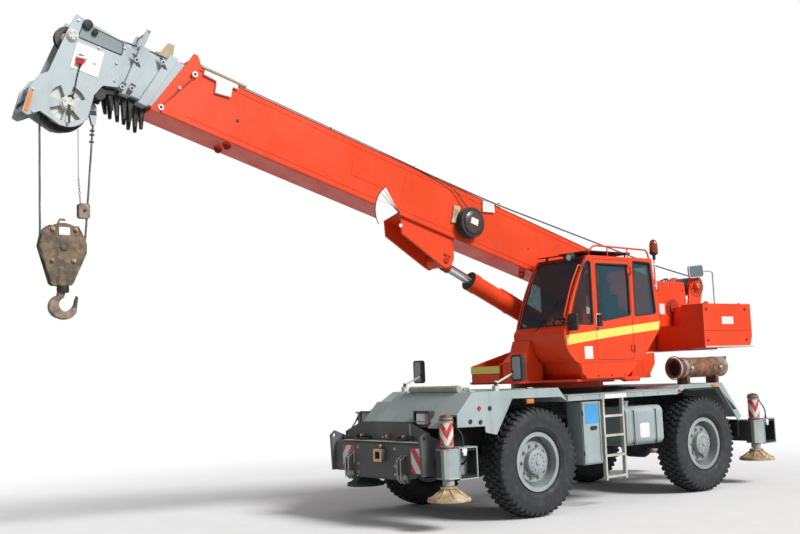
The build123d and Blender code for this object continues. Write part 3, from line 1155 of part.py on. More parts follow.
with BuildPart() as head_sheaves:
    for u, v, radius in ((SHEAVE_U, SHEAVE_V, SHEAVE_RADIUS), (TOP_SHEAVE_U, TOP_SHEAVE_V,
                                                               TOP_SHEAVE_RADIUS)):
        centre = boom_point(u, v)
        with BuildSketch(Plane(origin=centre, x_dir=(1, 0, 0), z_dir=(0, 0, 1))):
            with BuildLine():
                Polyline((SHAFT_RADIUS + PIN_GAP, -34), (SHAFT_RADIUS + 26, -34), (SHAFT_RADIUS + 30, -9),
                         (radius - 58, -9), (radius - 44, -26), (radius, -26), (radius, -21),
                         (radius - SHEAVE_DEPTH, -11.5), (radius - SHEAVE_DEPTH, 11.5), (radius, 21),
                         (radius, 26),
                         (radius - 44, 26), (radius - 58, 9), (SHAFT_RADIUS + 30, 9),
                         (SHAFT_RADIUS + 26, 34),
                         (SHAFT_RADIUS + PIN_GAP, 34), close=True)
            make_face()
        revolve(axis=Axis(centre, (0, 1, 0)))
        with BuildSketch(Plane(origin=(centre[0], 20, centre[2]), x_dir=(1, 0, 0), z_dir=(0, -1, 0))):
            with PolarLocations(radius * 0.53, 5):
                Circle(radius * 0.15)
        extrude(amount=40, mode=Mode.SUBTRACT)
save(head_sheaves.part, "head_sheaves")

REEL_U, REEL_V = 4208, -60
with BuildPart() as cable_reel:
    with BuildSketch(boom_side(BOOM_WIDTH / 2 + 96)):
        with Locations((REEL_U, REEL_V)):
            Circle(215)
    extrude(amount=14)
    with BuildSketch(boom_side(BOOM_WIDTH / 2 + 82)):
        with Locations((REEL_U, REEL_V)):
            Circle(150)
    extrude(amount=42)
    with BuildSketch(boom_side(BOOM_WIDTH / 2 + 40)):
        with Locations((REEL_U, REEL_V)):
            Circle(215)
    extrude(amount=14)
    with BuildSketch(boom_side(BOOM_WIDTH / 2 + 26)):
        with Locations((REEL_U, REEL_V)):
            Circle(60)
    extrude(amount=26 - SLIDE_GAP)
save(cable_reel.part, "cable_reel")

# ================================================================ lift cylinder
EYE_X, EYE_Z = boom_point(EYE_U, EYE_V)[0], boom_point(EYE_U, EYE_V)[2]
LIFT_LENGTH = hypot(EYE_X - LIFT_FOOT_X, EYE_Z - LIFT_FOOT_Z)
LIFT_ANGLE = atan2(EYE_Z - LIFT_FOOT_Z, EYE_X - LIFT_FOOT_X)
GLAND_BACK = 580            # gland face, short of the rod's eye
ROD_INNER = 1000            # the rod's inner end, from the foot pin
FOOT_EYE_RADIUS = 115


def lift_cut(distance):
    """A sketch plane across the lift cylinder, at a distance from its foot pin."""
    return Plane(origin=(LIFT_FOOT_X + distance * cos(LIFT_ANGLE), 0,
                         LIFT_FOOT_Z + distance * sin(LIFT_ANGLE)),
                 x_dir=(0, 1, 0), z_dir=(cos(LIFT_ANGLE), 0, sin(LIFT_ANGLE)))


with BuildPart() as lift_barrel:
    with BuildSketch(lift_cut(FOOT_EYE_RADIUS + 30)):
        Circle(CYL_RADIUS - 8)
    extrude(amount=LIFT_LENGTH - GLAND_BACK - FOOT_EYE_RADIUS - 30)
    # cap and gland
    for start, length in ((FOOT_EYE_RADIUS + 30, 40), (LIFT_LENGTH - GLAND_BACK - 130, 130)):
        with BuildSketch(lift_cut(start)):
            Circle(CYL_RADIUS)
        extrude(amount=length)
    with BuildSketch(side_plane(100)):
        with Locations((LIFT_FOOT_X, LIFT_FOOT_Z)):
            Circle(FOOT_EYE_RADIUS)
    extrude(amount=200)
    with BuildSketch(lift_cut(0)):
        Rectangle(200, 190)
    extrude(amount=FOOT_EYE_RADIUS + 40)
    with BuildSketch(side_plane(300)):
        with Locations((LIFT_FOOT_X, LIFT_FOOT_Z)):
            Circle(FOOT_PIN_RADIUS + PIN_GAP)
    extrude(amount=600, mode=Mode.SUBTRACT)
    with BuildSketch(lift_cut(ROD_INNER - 400)):
        Circle(ROD_RADIUS + PIN_GAP)
    extrude(amount=LIFT_LENGTH, mode=Mode.SUBTRACT)
save(lift_barrel.part, "lift_barrel")

with BuildPart() as lift_rod:
    with BuildSketch(lift_cut(ROD_INNER)):
        Circle(ROD_RADIUS)
    extrude(amount=LIFT_LENGTH - ROD_INNER)
    with BuildSketch(side_plane(LIFT_EAR_Y - 12)):
        with Locations((EYE_X, EYE_Z)):
            Circle(EYE_RADIUS)
    extrude(amount=2 * (LIFT_EAR_Y - 12))
save(lift_rod.part, "lift_rod")

# ================================================================ hoist ropes, hook block and hook
HEAD_X, HEAD_Z = boom_point(SHEAVE_U, SHEAVE_V)[0], boom_point(SHEAVE_U, SHEAVE_V)[2]
BLOCK_Z = 3200              # axis of the block's sheave
BLOCK_SHEAVE = ROPE_PITCH - ROPE_RADIUS - SLIDE_GAP
BLOCK_OUTLINE = [(154, 209), (217, 156), (250, 0), (135, -378), (108, -400), (-70, -400), (-92, -378),
                 (-232, -69),
                 (-236, 20), (-215, 90), (-150, 209)]        # x from the sheave's axis, z from it
PLATE_Y = 32                # inner face of each side plate
PLATE_THICK = 20
SHANK_Z = 2700

with BuildPart() as hook_block:
    for sign in SIDES.values():
        with BuildSketch(side_plane(max(sign * PLATE_Y, sign * (PLATE_Y + PLATE_THICK)))):
            with BuildLine():
                Polyline(*[(HEAD_X + x, BLOCK_Z + z) for x, z in BLOCK_OUTLINE], close=True)
            make_face()
        extrude(amount=PLATE_THICK)
    with BuildSketch(Plane(origin=(HEAD_X, 0, BLOCK_Z), x_dir=(1, 0, 0), z_dir=(0, 0, 1))):  # the sheave
        with BuildLine():
            Polyline((0, -PLATE_Y - 1), (60, -PLATE_Y - 1), (60, -24), (ROPE_PITCH + 10, -24),
                     (ROPE_PITCH + 10, -20),
                     (BLOCK_SHEAVE, -11.5), (BLOCK_SHEAVE, 11.5), (ROPE_PITCH + 10, 20),
                     (ROPE_PITCH + 10, 24),
                     (60, 24), (60, PLATE_Y + 1), (0, PLATE_Y + 1), close=True)
        make_face()
    revolve(axis=Axis((HEAD_X, 0, BLOCK_Z), (0, 1, 0)))
    for x, z, radius in ((0, 0, 46), (18, -350, 62)):  # sheave pin and hook trunnion
        with BuildSketch(side_plane(PLATE_Y + PLATE_THICK + 12)):
            with Locations((HEAD_X + x, BLOCK_Z + z)):
                Circle(radius)
        extrude(amount=2 * (PLATE_Y + PLATE_THICK + 12))
    for x, z in ((120, 172), (-118, 172), (125, -150), (-95, -150)):                # clamp bolts
        with BuildSketch(side_plane(PLATE_Y + PLATE_THICK + 16)):
            with Locations((HEAD_X + x, BLOCK_Z + z)):
                Circle(17)
        if z < 0:
            extrude(amount=2 * (PLATE_Y + PLATE_THICK + 16))
        else:
            extrude(amount=20)
    with BuildSketch(side_plane(12)):                                               # lug on top
        with BuildLine():
            Polyline((HEAD_X + 60, BLOCK_Z + 150), (HEAD_X + 60, BLOCK_Z + 226),
                     (HEAD_X + 30, BLOCK_Z + 286),
                     (HEAD_X - 18, BLOCK_Z + 286), (HEAD_X - 48, BLOCK_Z + 226),
                     (HEAD_X - 48, BLOCK_Z + 150),
                     close=True)
        make_face()
    extrude(amount=24)
save(hook_block.part, "hook_block")

FALL_TOP = (HEAD_X - 327, HEAD_Z - 150)         # where the dead fall leaves its wedge socket
FALL_LOW = (HEAD_X - ROPE_PITCH, BLOCK_Z)
with BuildPart() as hoist_ropes:
    with BuildSketch(Plane.XY.offset(BLOCK_Z)):                                     # live fall
        with Locations((HEAD_X + ROPE_PITCH, 0)):
            Circle(ROPE_RADIUS)
    extrude(amount=HEAD_Z - BLOCK_Z)
    with BuildSketch(Plane(origin=(FALL_LOW[0], 0, FALL_LOW[1]), x_dir=(0, 1, 0),
                           z_dir=(FALL_TOP[0] - FALL_LOW[0], 0, FALL_TOP[1] - FALL_LOW[1]))):
        Circle(ROPE_RADIUS)
    extrude(amount=hypot(FALL_TOP[0] - FALL_LOW[0], FALL_TOP[1] - FALL_LOW[1]))
    with BuildSketch(Plane.XY.offset(BLOCK_Z)):  # round the block's sheave
        with Locations((HEAD_X - ROPE_PITCH, 0)):
            Circle(ROPE_RADIUS)
    revolve(axis=Axis((HEAD_X, 0, BLOCK_Z), (0, -1, 0)), revolution_arc=180)
    with BuildSketch(side_plane(24)):                                               # wedge socket
        with BuildLine():
            Polyline((FALL_TOP[0] - 16, FALL_TOP[1] - 6), (FALL_TOP[0] + 16, FALL_TOP[1] - 6),
                     (FALL_TOP[0] + 42, FALL_TOP[1] + 92), (FALL_TOP[0] + 36, FALL_TOP[1] + 214),
                     (FALL_TOP[0] - 10, FALL_TOP[1] + 236), (FALL_TOP[0] - 34, FALL_TOP[1] + 200),
                     (FALL_TOP[0] - 38, FALL_TOP[1] + 92), close=True)
        make_face()
    extrude(amount=48)
save(hoist_ropes.part, "hoist_ropes")

with BuildSketch() as hook_outline:                                 # x and z, seen from the side
    with BuildLine():
        Line((HEAD_X - 20, SHANK_Z + 30), (HEAD_X + 56, SHANK_Z + 30))
        Line((HEAD_X + 56, SHANK_Z + 30), (HEAD_X + 66, SHANK_Z))
        ThreePointArc((HEAD_X + 66, SHANK_Z), (HEAD_X + 152, 2580), (HEAD_X + 58, 2470))
        ThreePointArc((HEAD_X + 58, 2470), (HEAD_X - 53, 2463), (HEAD_X - 134, 2530))
        Line((HEAD_X - 134, 2530), (HEAD_X - 153, 2680))
        Line((HEAD_X - 153, 2680), (HEAD_X - 137, 2699))
        Line((HEAD_X - 137, 2699), (HEAD_X - 116, 2650))
        ThreePointArc((HEAD_X - 116, 2650), (HEAD_X - 80, 2568), (HEAD_X - 22, 2538))
        ThreePointArc((HEAD_X - 22, 2538), (HEAD_X + 44, 2600), (HEAD_X - 6, 2675))
        Line((HEAD_X - 6, 2675), (HEAD_X - 20, SHANK_Z + 30))
    make_face()

HOOK_LAYERS = ((32, 0), (46, 4), (58, 11))  # thickness of each layer and its inset, for a rounded section
with BuildPart() as hook:
    for thick, inset in HOOK_LAYERS:
        with BuildSketch(side_plane(thick / 2)):
            add(hook_outline.sketch)
            if inset:
                offset(amount=-inset, mode=Mode.REPLACE)
        extrude(amount=thick)
    with BuildSketch(Plane.XY.offset(SHANK_Z + 20)):
        with Locations((HEAD_X + 18, 0)):
            Circle(38)
    extrude(amount=BLOCK_Z - 350 - 62 - SHANK_Z - 20 - SLIDE_GAP)
save(hook.part, "hook")
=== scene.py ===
"""Looks of the mobile crane: finishes, tread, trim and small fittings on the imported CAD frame.

Places are metres.  P() takes them from the slewing axis and the ground, and B() along and above the
boom's foot pin.  Each section below dresses one part of the machine.
"""
import json
from math import atan2, cos, pi, radians, sin

import bmesh
import bpy
from mathutils import Matrix, Vector


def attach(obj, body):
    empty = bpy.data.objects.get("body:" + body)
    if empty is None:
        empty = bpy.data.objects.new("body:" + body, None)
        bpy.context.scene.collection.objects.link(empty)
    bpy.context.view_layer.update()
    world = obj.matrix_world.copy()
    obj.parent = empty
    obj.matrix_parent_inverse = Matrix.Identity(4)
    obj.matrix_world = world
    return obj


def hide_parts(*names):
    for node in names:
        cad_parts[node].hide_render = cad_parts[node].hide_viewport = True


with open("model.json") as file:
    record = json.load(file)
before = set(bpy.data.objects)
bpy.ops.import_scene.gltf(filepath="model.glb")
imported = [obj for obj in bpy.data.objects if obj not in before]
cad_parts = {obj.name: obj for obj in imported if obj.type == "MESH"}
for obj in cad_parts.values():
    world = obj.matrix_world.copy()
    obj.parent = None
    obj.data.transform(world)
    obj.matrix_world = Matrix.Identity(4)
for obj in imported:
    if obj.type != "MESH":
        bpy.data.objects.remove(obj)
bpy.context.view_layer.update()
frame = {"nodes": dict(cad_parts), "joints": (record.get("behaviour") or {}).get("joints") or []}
nodes = frame["nodes"]
joints = {joint["name"]: joint for joint in frame["joints"]}

SLEW_X = joints["slew"]["pos_m"][0]
BOOM_FOOT = Vector(joints["boom_luff"]["pos_m"])
BOOM_ALONG = Vector(joints["telescope_2"]["axis"]).normalized()
BOOM_UP = Vector((-BOOM_ALONG.z, 0, BOOM_ALONG.x))
HANG = Vector(joints["hook_hang"]["pos_m"])
HALF = 1.240                    # side plane of the carrier and of the cab
LEFT, RIGHT = 1, -1
SIDES = {"left": LEFT, "right": RIGHT}
CARRIER = "carrier"


def P(x, y, z):
    """A point given from the slewing axis on the ground."""
    return Vector((SLEW_X + x, y, z))


def B(u, v, y=0.0):
    """A point u along the boom and v above the line through its foot pin."""
    return BOOM_FOOT + u * BOOM_ALONG + v * BOOM_UP + Vector((0, y, 0))


def angles(count, shift=0.0):
    """Equal steps round a circle, begun a share of a step on."""
    return [2 * pi * (i + shift) / count for i in range(count)]


def spoke(radius, angle):
    """A step outwards from an axis that runs across the machine."""
    return Vector((radius * cos(angle), 0, radius * sin(angle)))


# ================================================================ planes that outlines are drawn on
def plane(origin, x_axis, y_axis):
    """Matrix whose local z is x_axis cross y_axis."""
    x_axis, y_axis = Vector(x_axis).normalized(), Vector(y_axis).normalized()
    z_axis = x_axis.cross(y_axis)
    return Matrix.Translation(origin) @ Matrix((x_axis, y_axis, z_axis)).transposed().to_4x4()


def side_face(y):
    """Outlines in x and z, thickened outwards on the left (+Y)."""
    return Matrix(((1, 0, 0, SLEW_X), (0, 0, 1, y), (0, 1, 0, 0), (0, 0, 0, 1)))


def front_face(x):
    """Outlines in y and z, thickened forwards."""
    return plane(P(x, 0, 0), (0, 1, 0), (0, 0, 1))


def top_face(z):
    """Outlines in x and y, thickened upwards."""
    return plane(P(0, 0, z), (1, 0, 0), (0, 1, 0))


def boom_face(y):
    """Outlines in u and v, thickened towards +Y."""
    matrix = plane(B(0, 0, y), BOOM_ALONG, BOOM_UP)
    return matrix @ Matrix.Diagonal((1, 1, -1, 1))


# ================================================================ mesh building
class Shape:
    """A mesh put together from closed solids."""

    def __init__(self):
        self.mesh = bmesh.new()

    def solid(self, verts, faces):
        made = [self.mesh.verts.new(v) for v in verts]
        for face in faces:
            self.mesh.faces.new([made[i] for i in face])
        return self

    def prism(self, outline, thick, matrix):
        """An outline in the matrix's x and y, thickened along its z."""
        count = len(outline)
        low = [matrix @ Vector((a, b, 0)) for a, b in outline]
        high = [matrix @ Vector((a, b, thick)) for a, b in outline]
        faces = [tuple(range(count))[::-1], tuple(range(count, 2 * count))]
        faces += [(i, (i + 1) % count, count + (i + 1) % count, count + i) for i in range(count)]
        return self.solid(low + high, faces)

    def ring(self, outer, inner, thick, matrix):
        """Two outlines with as many points each, with the space between them thickened."""
        count = len(outer)
        rows = [[matrix @ Vector((a, b, c)) for a, b in outline]
                for outline, c in ((outer, 0), (inner, 0), (inner, thick), (outer, thick))]
        verts = [v for row in rows for v in row]
        faces = []
        for row in range(4):
            for i in range(count):
                j, k = (i + 1) % count, (row + 1) % 4
                faces.append((row * count + i, row * count + j, k * count + j, k * count + i))
        return self.solid(verts, faces)

    def box(self, centre, size, matrix=None):
        """A box about a point, square to the machine or to the matrix."""
        turn = (matrix or Matrix()).to_3x3()
        corners = [centre + turn @ Vector((sx * size[0], sy * size[1], sz * size[2])) / 2
                   for sx in (-1, 1) for sy in (-1, 1) for sz in (-1, 1)]
        return self.solid(corners, [(0, 1, 3, 2), (4, 6, 7, 5), (0, 4, 5, 1), (2, 3, 7, 6), (0, 2, 6, 4),
                                    (1, 5, 7, 3)])

    def rod(self, start, end, radius, sides=20, end_radius=None):
        """A round bar or cone between two points."""
        start, end = Vector(start), Vector(end)
        turn = (end - start).to_track_quat("Z", "Y").to_matrix()
        far = radius if end_radius is None else end_radius
        verts = []
        for centre, r in ((start, radius), (end, far)):
            verts += [centre + turn @ Vector((r * cos(2 * pi * i / sides), r * sin(2 * pi * i / sides), 0))
                      for i in range(sides)]
        faces = [tuple(range(sides))[::-1], tuple(range(sides, 2 * sides))]
        faces += [(i, (i + 1) % sides, sides + (i + 1) % sides, sides + i) for i in range(sides)]
        return self.solid(verts, faces)

    def lathe(self, profile, origin, axis, sides=48, closed=True):
        """A turned ring: a closed loop of (along, radius) points, carried round an axis."""
        turn = Vector(axis).to_track_quat("Z", "Y").to_matrix()
        loops = []
        for i in range(sides):
            a = 2 * pi * i / sides
            loops.append([self.mesh.verts.new(origin + turn @ Vector((r * cos(a), r * sin(a), t)))
                          for t, r in profile])
        count = len(profile)
        for i in range(sides):
            here, there = loops[i], loops[(i + 1) % sides]
            for j in range(count if closed else count - 1):
                k = (j + 1) % count
                self.mesh.faces.new((here[j], there[j], there[k], here[k]))
        return self

    def turned(self, profile, origin, axis, sides=48):
        """A turned solid whose profile starts and ends on the axis."""
        return self.lathe(profile, origin, axis, sides, closed=False)

    def pipe(self, points, radius, sides=10, bend=0.0):
        """A round tube through points, its corners rounded to the bend radius."""
        path = rounded(points, bend) if bend else [Vector(p) for p in points]
        rings = []
        normal = None
        for i, point in enumerate(path):
            ahead = (path[min(i + 1, len(path) - 1)] - path[max(i - 1, 0)]).normalized()
            if normal is None:
                normal = ahead.orthogonal().normalized()
            normal = (normal - normal.dot(ahead) * ahead).normalized()
            side = ahead.cross(normal)
            rings.append([self.mesh.verts.new(point
                                              + radius * (cos(2 * pi * k / sides) * normal
                                                          + sin(2 * pi * k / sides) * side))
                          for k in range(sides)])
        for low, high in zip(rings, rings[1:]):
            for k in range(sides):
                self.mesh.faces.new((low[k], low[(k + 1) % sides], high[(k + 1) % sides], high[k]))
        self.mesh.faces.new(rings[0][::-1])
        self.mesh.faces.new(rings[-1])
        return self

    def bolts(self, places, normal, radius=0.012, height=0.010, washer=True):
        """Hexagon heads standing on a face."""
        normal = Vector(normal).normalized()
        for place in places:
            if washer:
                self.rod(place, place + 0.25 * height * normal, 1.5 * radius, 16)
            self.rod(place, place + height * normal, radius, 6)
        return self

    def done(self, name, material, body, bevel=0.0, smooth=True):
        """Makes the object, gives it its finish and lets it ride on a body."""
        bmesh.ops.remove_doubles(self.mesh, verts=self.mesh.verts, dist=1e-6)
        bmesh.ops.recalc_face_normals(self.mesh, faces=self.mesh.faces)
        data = bpy.data.meshes.new(name)
        self.mesh.to_mesh(data)
        self.mesh.free()
        piece = bpy.data.objects.new(name, data)
        bpy.context.scene.collection.objects.link(piece)
        data.materials.append(material)
        if bevel:
            rounding = piece.modifiers.new("rounding", "BEVEL")
            rounding.width = bevel
            rounding.segments = 2
            rounding.limit_method = "ANGLE"
            rounding.angle_limit = radians(40)
        if smooth:
            data.shade_smooth()
            data.set_sharp_from_angle(angle=radians(35))
        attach(piece, body)
        return piece


def rounded(points, radius, steps=6):
    """The points of a path whose corners are arcs."""
    points = [Vector(p) for p in points]
    path = [points[0]]
    for before, corner, after in zip(points, points[1:], points[2:]):
        back, ahead = (before - corner), (after - corner)
        reach = min(radius, 0.45 * back.length, 0.45 * ahead.length)
        start, end = corner + reach * back.normalized(), corner + reach * ahead.normalized()
        for i in range(steps + 1):
            t = i / steps
            path.append((1 - t) ** 2 * start + 2 * t * (1 - t) * corner + t ** 2 * end)
    path.append(points[-1])
    return path


def rectangle(x0, y0, x1, y1, corner=0.0, steps=4):
    """Outline of a rectangle with rounded corners."""
    if not corner:
        return [(x0, y0), (x1, y0), (x1, y1), (x0, y1)]
    outline = []
    for cx, cy, start in ((x1 - corner, y0 + corner, -90), (x1 - corner, y1 - corner, 0),
                          (x0 + corner, y1 - corner, 90), (x0 + corner, y0 + corner, 180)):
        for i in range(steps + 1):
            a = radians(start + 90 * i / steps)
            outline.append((cx + corner * cos(a), cy + corner * sin(a)))
    return outline


def grown(outline, amount):
    """A convex outline moved outwards by an amount (anticlockwise or clockwise)."""
    count = len(outline)
    area = sum(outline[i][0] * outline[(i + 1) % count][1] - outline[(i + 1) % count][0] * outline[i][1]
               for i in range(count))
    turn = 1 if area > 0 else -1
    result = []
    for i in range(count):
        before, here, after = (Vector(outline[(i + k) % count]) for k in (-1, 0, 1))
        one, two = (here - before).normalized(), (after - here).normalized()
        n1, n2 = turn * Vector((one.y, -one.x)), turn * Vector((two.y, -two.x))
        mean = (n1 + n2).normalized()
        result.append(tuple(here + amount / max(0.3, mean.dot(n1)) * mean))
    return result


# ================================================================ materials
class Nodes:
    """A material's node tree, with short calls for the nodes used here."""

    def __init__(self, name):
        self.material = bpy.data.materials.new(name)
        self.material.use_nodes = True
        self.tree = self.material.node_tree
        self.shader = self.tree.nodes["Principled BSDF"]
        self.place = self.add("ShaderNodeTexCoord").outputs["Object"]

    def add(self, kind, **settings):
        node = self.tree.nodes.new(kind)
        for key, value in settings.items():
            setattr(node, key, value)
        return node

    def join(self, source, target):
        self.tree.links.new(source, target)

    def noise(self, scale, detail=4.0, stretch=(1, 1, 1), rough=0.55):
        mapping = self.add("ShaderNodeMapping")
        mapping.inputs["Scale"].default_value = stretch
        self.join(self.place, mapping.inputs["Vector"])
        node = self.add("ShaderNodeTexNoise")
        node.inputs["Scale"].default_value = scale
        node.inputs["Detail"].default_value = detail
        node.inputs["Roughness"].default_value = rough
        self.join(mapping.outputs["Vector"], node.inputs["Vector"])
        return node.outputs["Fac"]

    def ramp(self, source, low, high, out_low=0.0, out_high=1.0):
        node = self.add("ShaderNodeMapRange", interpolation_type="SMOOTHSTEP")
        for key, value in (("From Min", low), ("From Max", high), ("To Min", out_low), ("To Max", out_high)):
            node.inputs[key].default_value = value
        self.join(source, node.inputs["Value"])
        return node.outputs["Result"]

    def math(self, operation, a, b):
        node = self.add("ShaderNodeMath", operation=operation)
        for socket, value in zip(node.inputs, (a, b)):
            if isinstance(value, (int, float)):
                socket.default_value = value
            else:
                self.join(value, socket)
        return node.outputs["Value"]

    def mix(self, factor, a, b):
        node = self.add("ShaderNodeMix", data_type="RGBA")
        for socket, value in ((node.inputs["Factor"], factor), (node.inputs["A"], a), (node.inputs["B"], b)):
            if isinstance(value, (int, float)):
                socket.default_value = value
            elif isinstance(value, tuple):
                socket.default_value = (*value, 1)
            else:
                self.join(value, socket)
        return node.outputs["Result"]

    def bump(self, height, strength, distance=0.002, edges=0.0):
        node = self.add("ShaderNodeBump")
        node.inputs["Strength"].default_value = strength
        node.inputs["Distance"].default_value = distance
        self.join(height, node.inputs["Height"])
        if edges:
            soft = self.add("ShaderNodeBevel", samples=3)
            soft.inputs["Radius"].default_value = edges
            self.join(soft.outputs["Normal"], node.inputs["Normal"])
        self.join(node.outputs["Normal"], self.shader.inputs["Normal"])

    def edge_mask(self, radius):
        """About 1 near an edge and 0 on a flat face."""
        soft = self.add("ShaderNodeBevel", samples=3)
        soft.inputs["Radius"].default_value = radius
        geometry = self.add("ShaderNodeNewGeometry")
        dot = self.add("ShaderNodeVectorMath", operation="DOT_PRODUCT")
        self.join(soft.outputs["Normal"], dot.inputs[0])
        self.join(geometry.outputs["Normal"], dot.inputs[1])
        return self.ramp(dot.outputs["Value"], 0.995, 0.90, 0.0, 1.0)

    def height_mask(self, low, high):
        """1 at the low height and 0 at the high one."""
        split = self.add("ShaderNodeSeparateXYZ")
        self.join(self.place, split.inputs[0])
        return self.ramp(split.outputs["Z"], low, high, 1.0, 0.0)


def paint(name, colour, rough=0.42, dirt=(0.16, 0.13, 0.10), dirty=0.35, wear=(0.30, 0.24, 0.19), worn=0.5,
          low_dirt=0.0, fade=0.10):
    """Sprayed paint with faded patches, streaks of dirt, chipped edges and a faint orange-peel surface."""
    n = Nodes(name)
    light = tuple(min(1.0, c * (1 + fade) + 0.3 * fade * max(colour)) for c in colour)
    dark = tuple(c * (1 - 1.6 * fade) for c in colour)
    tone = n.mix(n.ramp(n.noise(1.1, 5), 0.35, 0.65), dark, light)
    streak = n.ramp(n.noise(5.0, 7, (1.0, 1.0, 0.16)), 0.52, 0.80)
    spots = n.ramp(n.noise(26.0, 6), 0.60, 0.76)
    grime = n.math("MULTIPLY", n.math("MAXIMUM", streak, n.math("MULTIPLY", spots, 0.6)), dirty)
    if low_dirt:
        near_ground = n.math("MULTIPLY", n.height_mask(0.35, 1.3), n.ramp(n.noise(7.0, 6), 0.3, 0.7))
        grime = n.math("MAXIMUM", grime, n.math("MULTIPLY", near_ground, low_dirt))
    tone = n.mix(grime, tone, dirt)
    if worn:
        chips = n.math("MULTIPLY", n.edge_mask(0.006), n.ramp(n.noise(38.0, 5), 0.50, 0.60))
        tone = n.mix(n.math("MULTIPLY", chips, worn), tone, wear)
    n.join(tone, n.shader.inputs["Base Color"])
    n.join(n.math("ADD", n.math("MULTIPLY", grime, 0.35),
                  n.ramp(n.noise(3.0, 3), 0.3, 0.7, rough - 0.05, rough + 0.06)),
           n.shader.inputs["Roughness"])
    n.shader.inputs["Specular IOR Level"].default_value = 0.30
    n.bump(n.noise(160.0, 3), 0.10, 0.001, edges=0.004)
    return n.material


def metal(name, colour, rough=0.35, spots=(0.10, 0.07, 0.05), spotted=0.3, metallic=1.0, grain=90.0):
    """Bare or plated metal with stains."""
    n = Nodes(name)
    stain = n.math("MULTIPLY", n.ramp(n.noise(14.0, 7), 0.48, 0.68), spotted)
    n.join(n.mix(stain, colour, spots), n.shader.inputs["Base Color"])
    n.join(n.math("ADD", n.ramp(n.noise(40.0, 4), 0.3, 0.7, rough - 0.06, rough + 0.08),
                  n.math("MULTIPLY", stain, 0.3)), n.shader.inputs["Roughness"])
    n.shader.inputs["Metallic"].default_value = metallic
    n.bump(n.noise(grain, 4), 0.15, 0.001, edges=0.003)
    return n.material


def rusty(name, colour, deep, pale, rough=0.75):
    """Rusted steel or cast iron: brown scale with pale, scuffed patches."""
    n = Nodes(name)
    tone = n.mix(n.ramp(n.noise(9.0, 8, rough=0.65), 0.38, 0.62), deep, colour)
    tone = n.mix(n.math("MULTIPLY", n.ramp(n.noise(23.0, 8, rough=0.7), 0.55, 0.72), 0.75), tone, pale)
    n.join(tone, n.shader.inputs["Base Color"])
    n.join(n.ramp(n.noise(17.0, 5), 0.3, 0.7, rough - 0.18, rough + 0.12), n.shader.inputs["Roughness"])
    n.shader.inputs["Metallic"].default_value = 0.25
    n.bump(n.noise(70.0, 7, rough=0.7), 0.5, 0.0025, edges=0.004)
    return n.material


def rubber(name, colour=(0.030, 0.031, 0.032), dust=(0.17, 0.155, 0.135), dusty=0.35, rough=0.72,
           grain=120.0):
    """Rubber or matt plastic with dust in its hollows."""
    n = Nodes(name)
    patch = n.math("MULTIPLY", n.ramp(n.noise(11.0, 7), 0.42, 0.75), dusty)
    n.join(n.mix(patch, colour, dust), n.shader.inputs["Base Color"])
    n.join(n.ramp(n.noise(8.0, 4), 0.3, 0.7, rough - 0.1, rough + 0.1), n.shader.inputs["Roughness"])
    n.bump(n.noise(grain, 5), 0.35, 0.0015)
    return n.material


def striped(name, one, two, direction, pitch, share=0.5, shift=0.0, rough=0.4):
    """Reflective sheet in slanting stripes, scuffed in places."""
    n = Nodes(name)
    dot = n.add("ShaderNodeVectorMath", operation="DOT_PRODUCT")
    n.join(n.place, dot.inputs[0])
    dot.inputs[1].default_value = Vector(direction) / pitch
    phase = n.math("FRACT", n.math("ADD", dot.outputs["Value"], shift), 0)
    band = n.math("GREATER_THAN", phase, share)
    tone = n.mix(band, one, two)
    scuff = n.math("MULTIPLY", n.ramp(n.noise(34.0, 8, rough=0.7), 0.52, 0.66), 0.55)
    n.join(n.mix(scuff, tone, (0.30, 0.28, 0.25)), n.shader.inputs["Base Color"])
    n.shader.inputs["Roughness"].default_value = rough
    n.bump(n.noise(120.0, 4), 0.15, 0.001)
    return n.material


def chevrons(name, white, red, middle, sideways, pitch=0.200, steep=1.9, share=0.52):
    """Reflective sheet on an upright tube: V-shaped bands whose points lie on the tube's outer line."""
    n = Nodes(name)
    dot = n.add("ShaderNodeVectorMath", operation="DOT_PRODUCT")
    n.join(n.place, dot.inputs[0])
    dot.inputs[1].default_value = sideways
    across = n.math("ABSOLUTE", n.math("SUBTRACT", dot.outputs["Value"], middle.dot(Vector(sideways))), 0)
    split = n.add("ShaderNodeSeparateXYZ")
    n.join(n.place, split.inputs[0])
    level = n.math("SUBTRACT", n.math("SUBTRACT", split.outputs["Z"], n.math("MULTIPLY", across, steep)),
                   middle.z)
    band = n.math("GREATER_THAN", n.math("FRACT", n.math("DIVIDE", level, pitch), 0), share)
    tone = n.mix(band, red, white)
    scuff = n.math("MULTIPLY", n.ramp(n.noise(30.0, 8, rough=0.7), 0.50, 0.62), 0.6)
    n.join(n.mix(scuff, tone, (0.42, 0.37, 0.31)), n.shader.inputs["Base Color"])
    n.shader.inputs["Roughness"].default_value = 0.4
    n.bump(n.noise(120.0, 4), 0.15, 0.001)
    return n.material


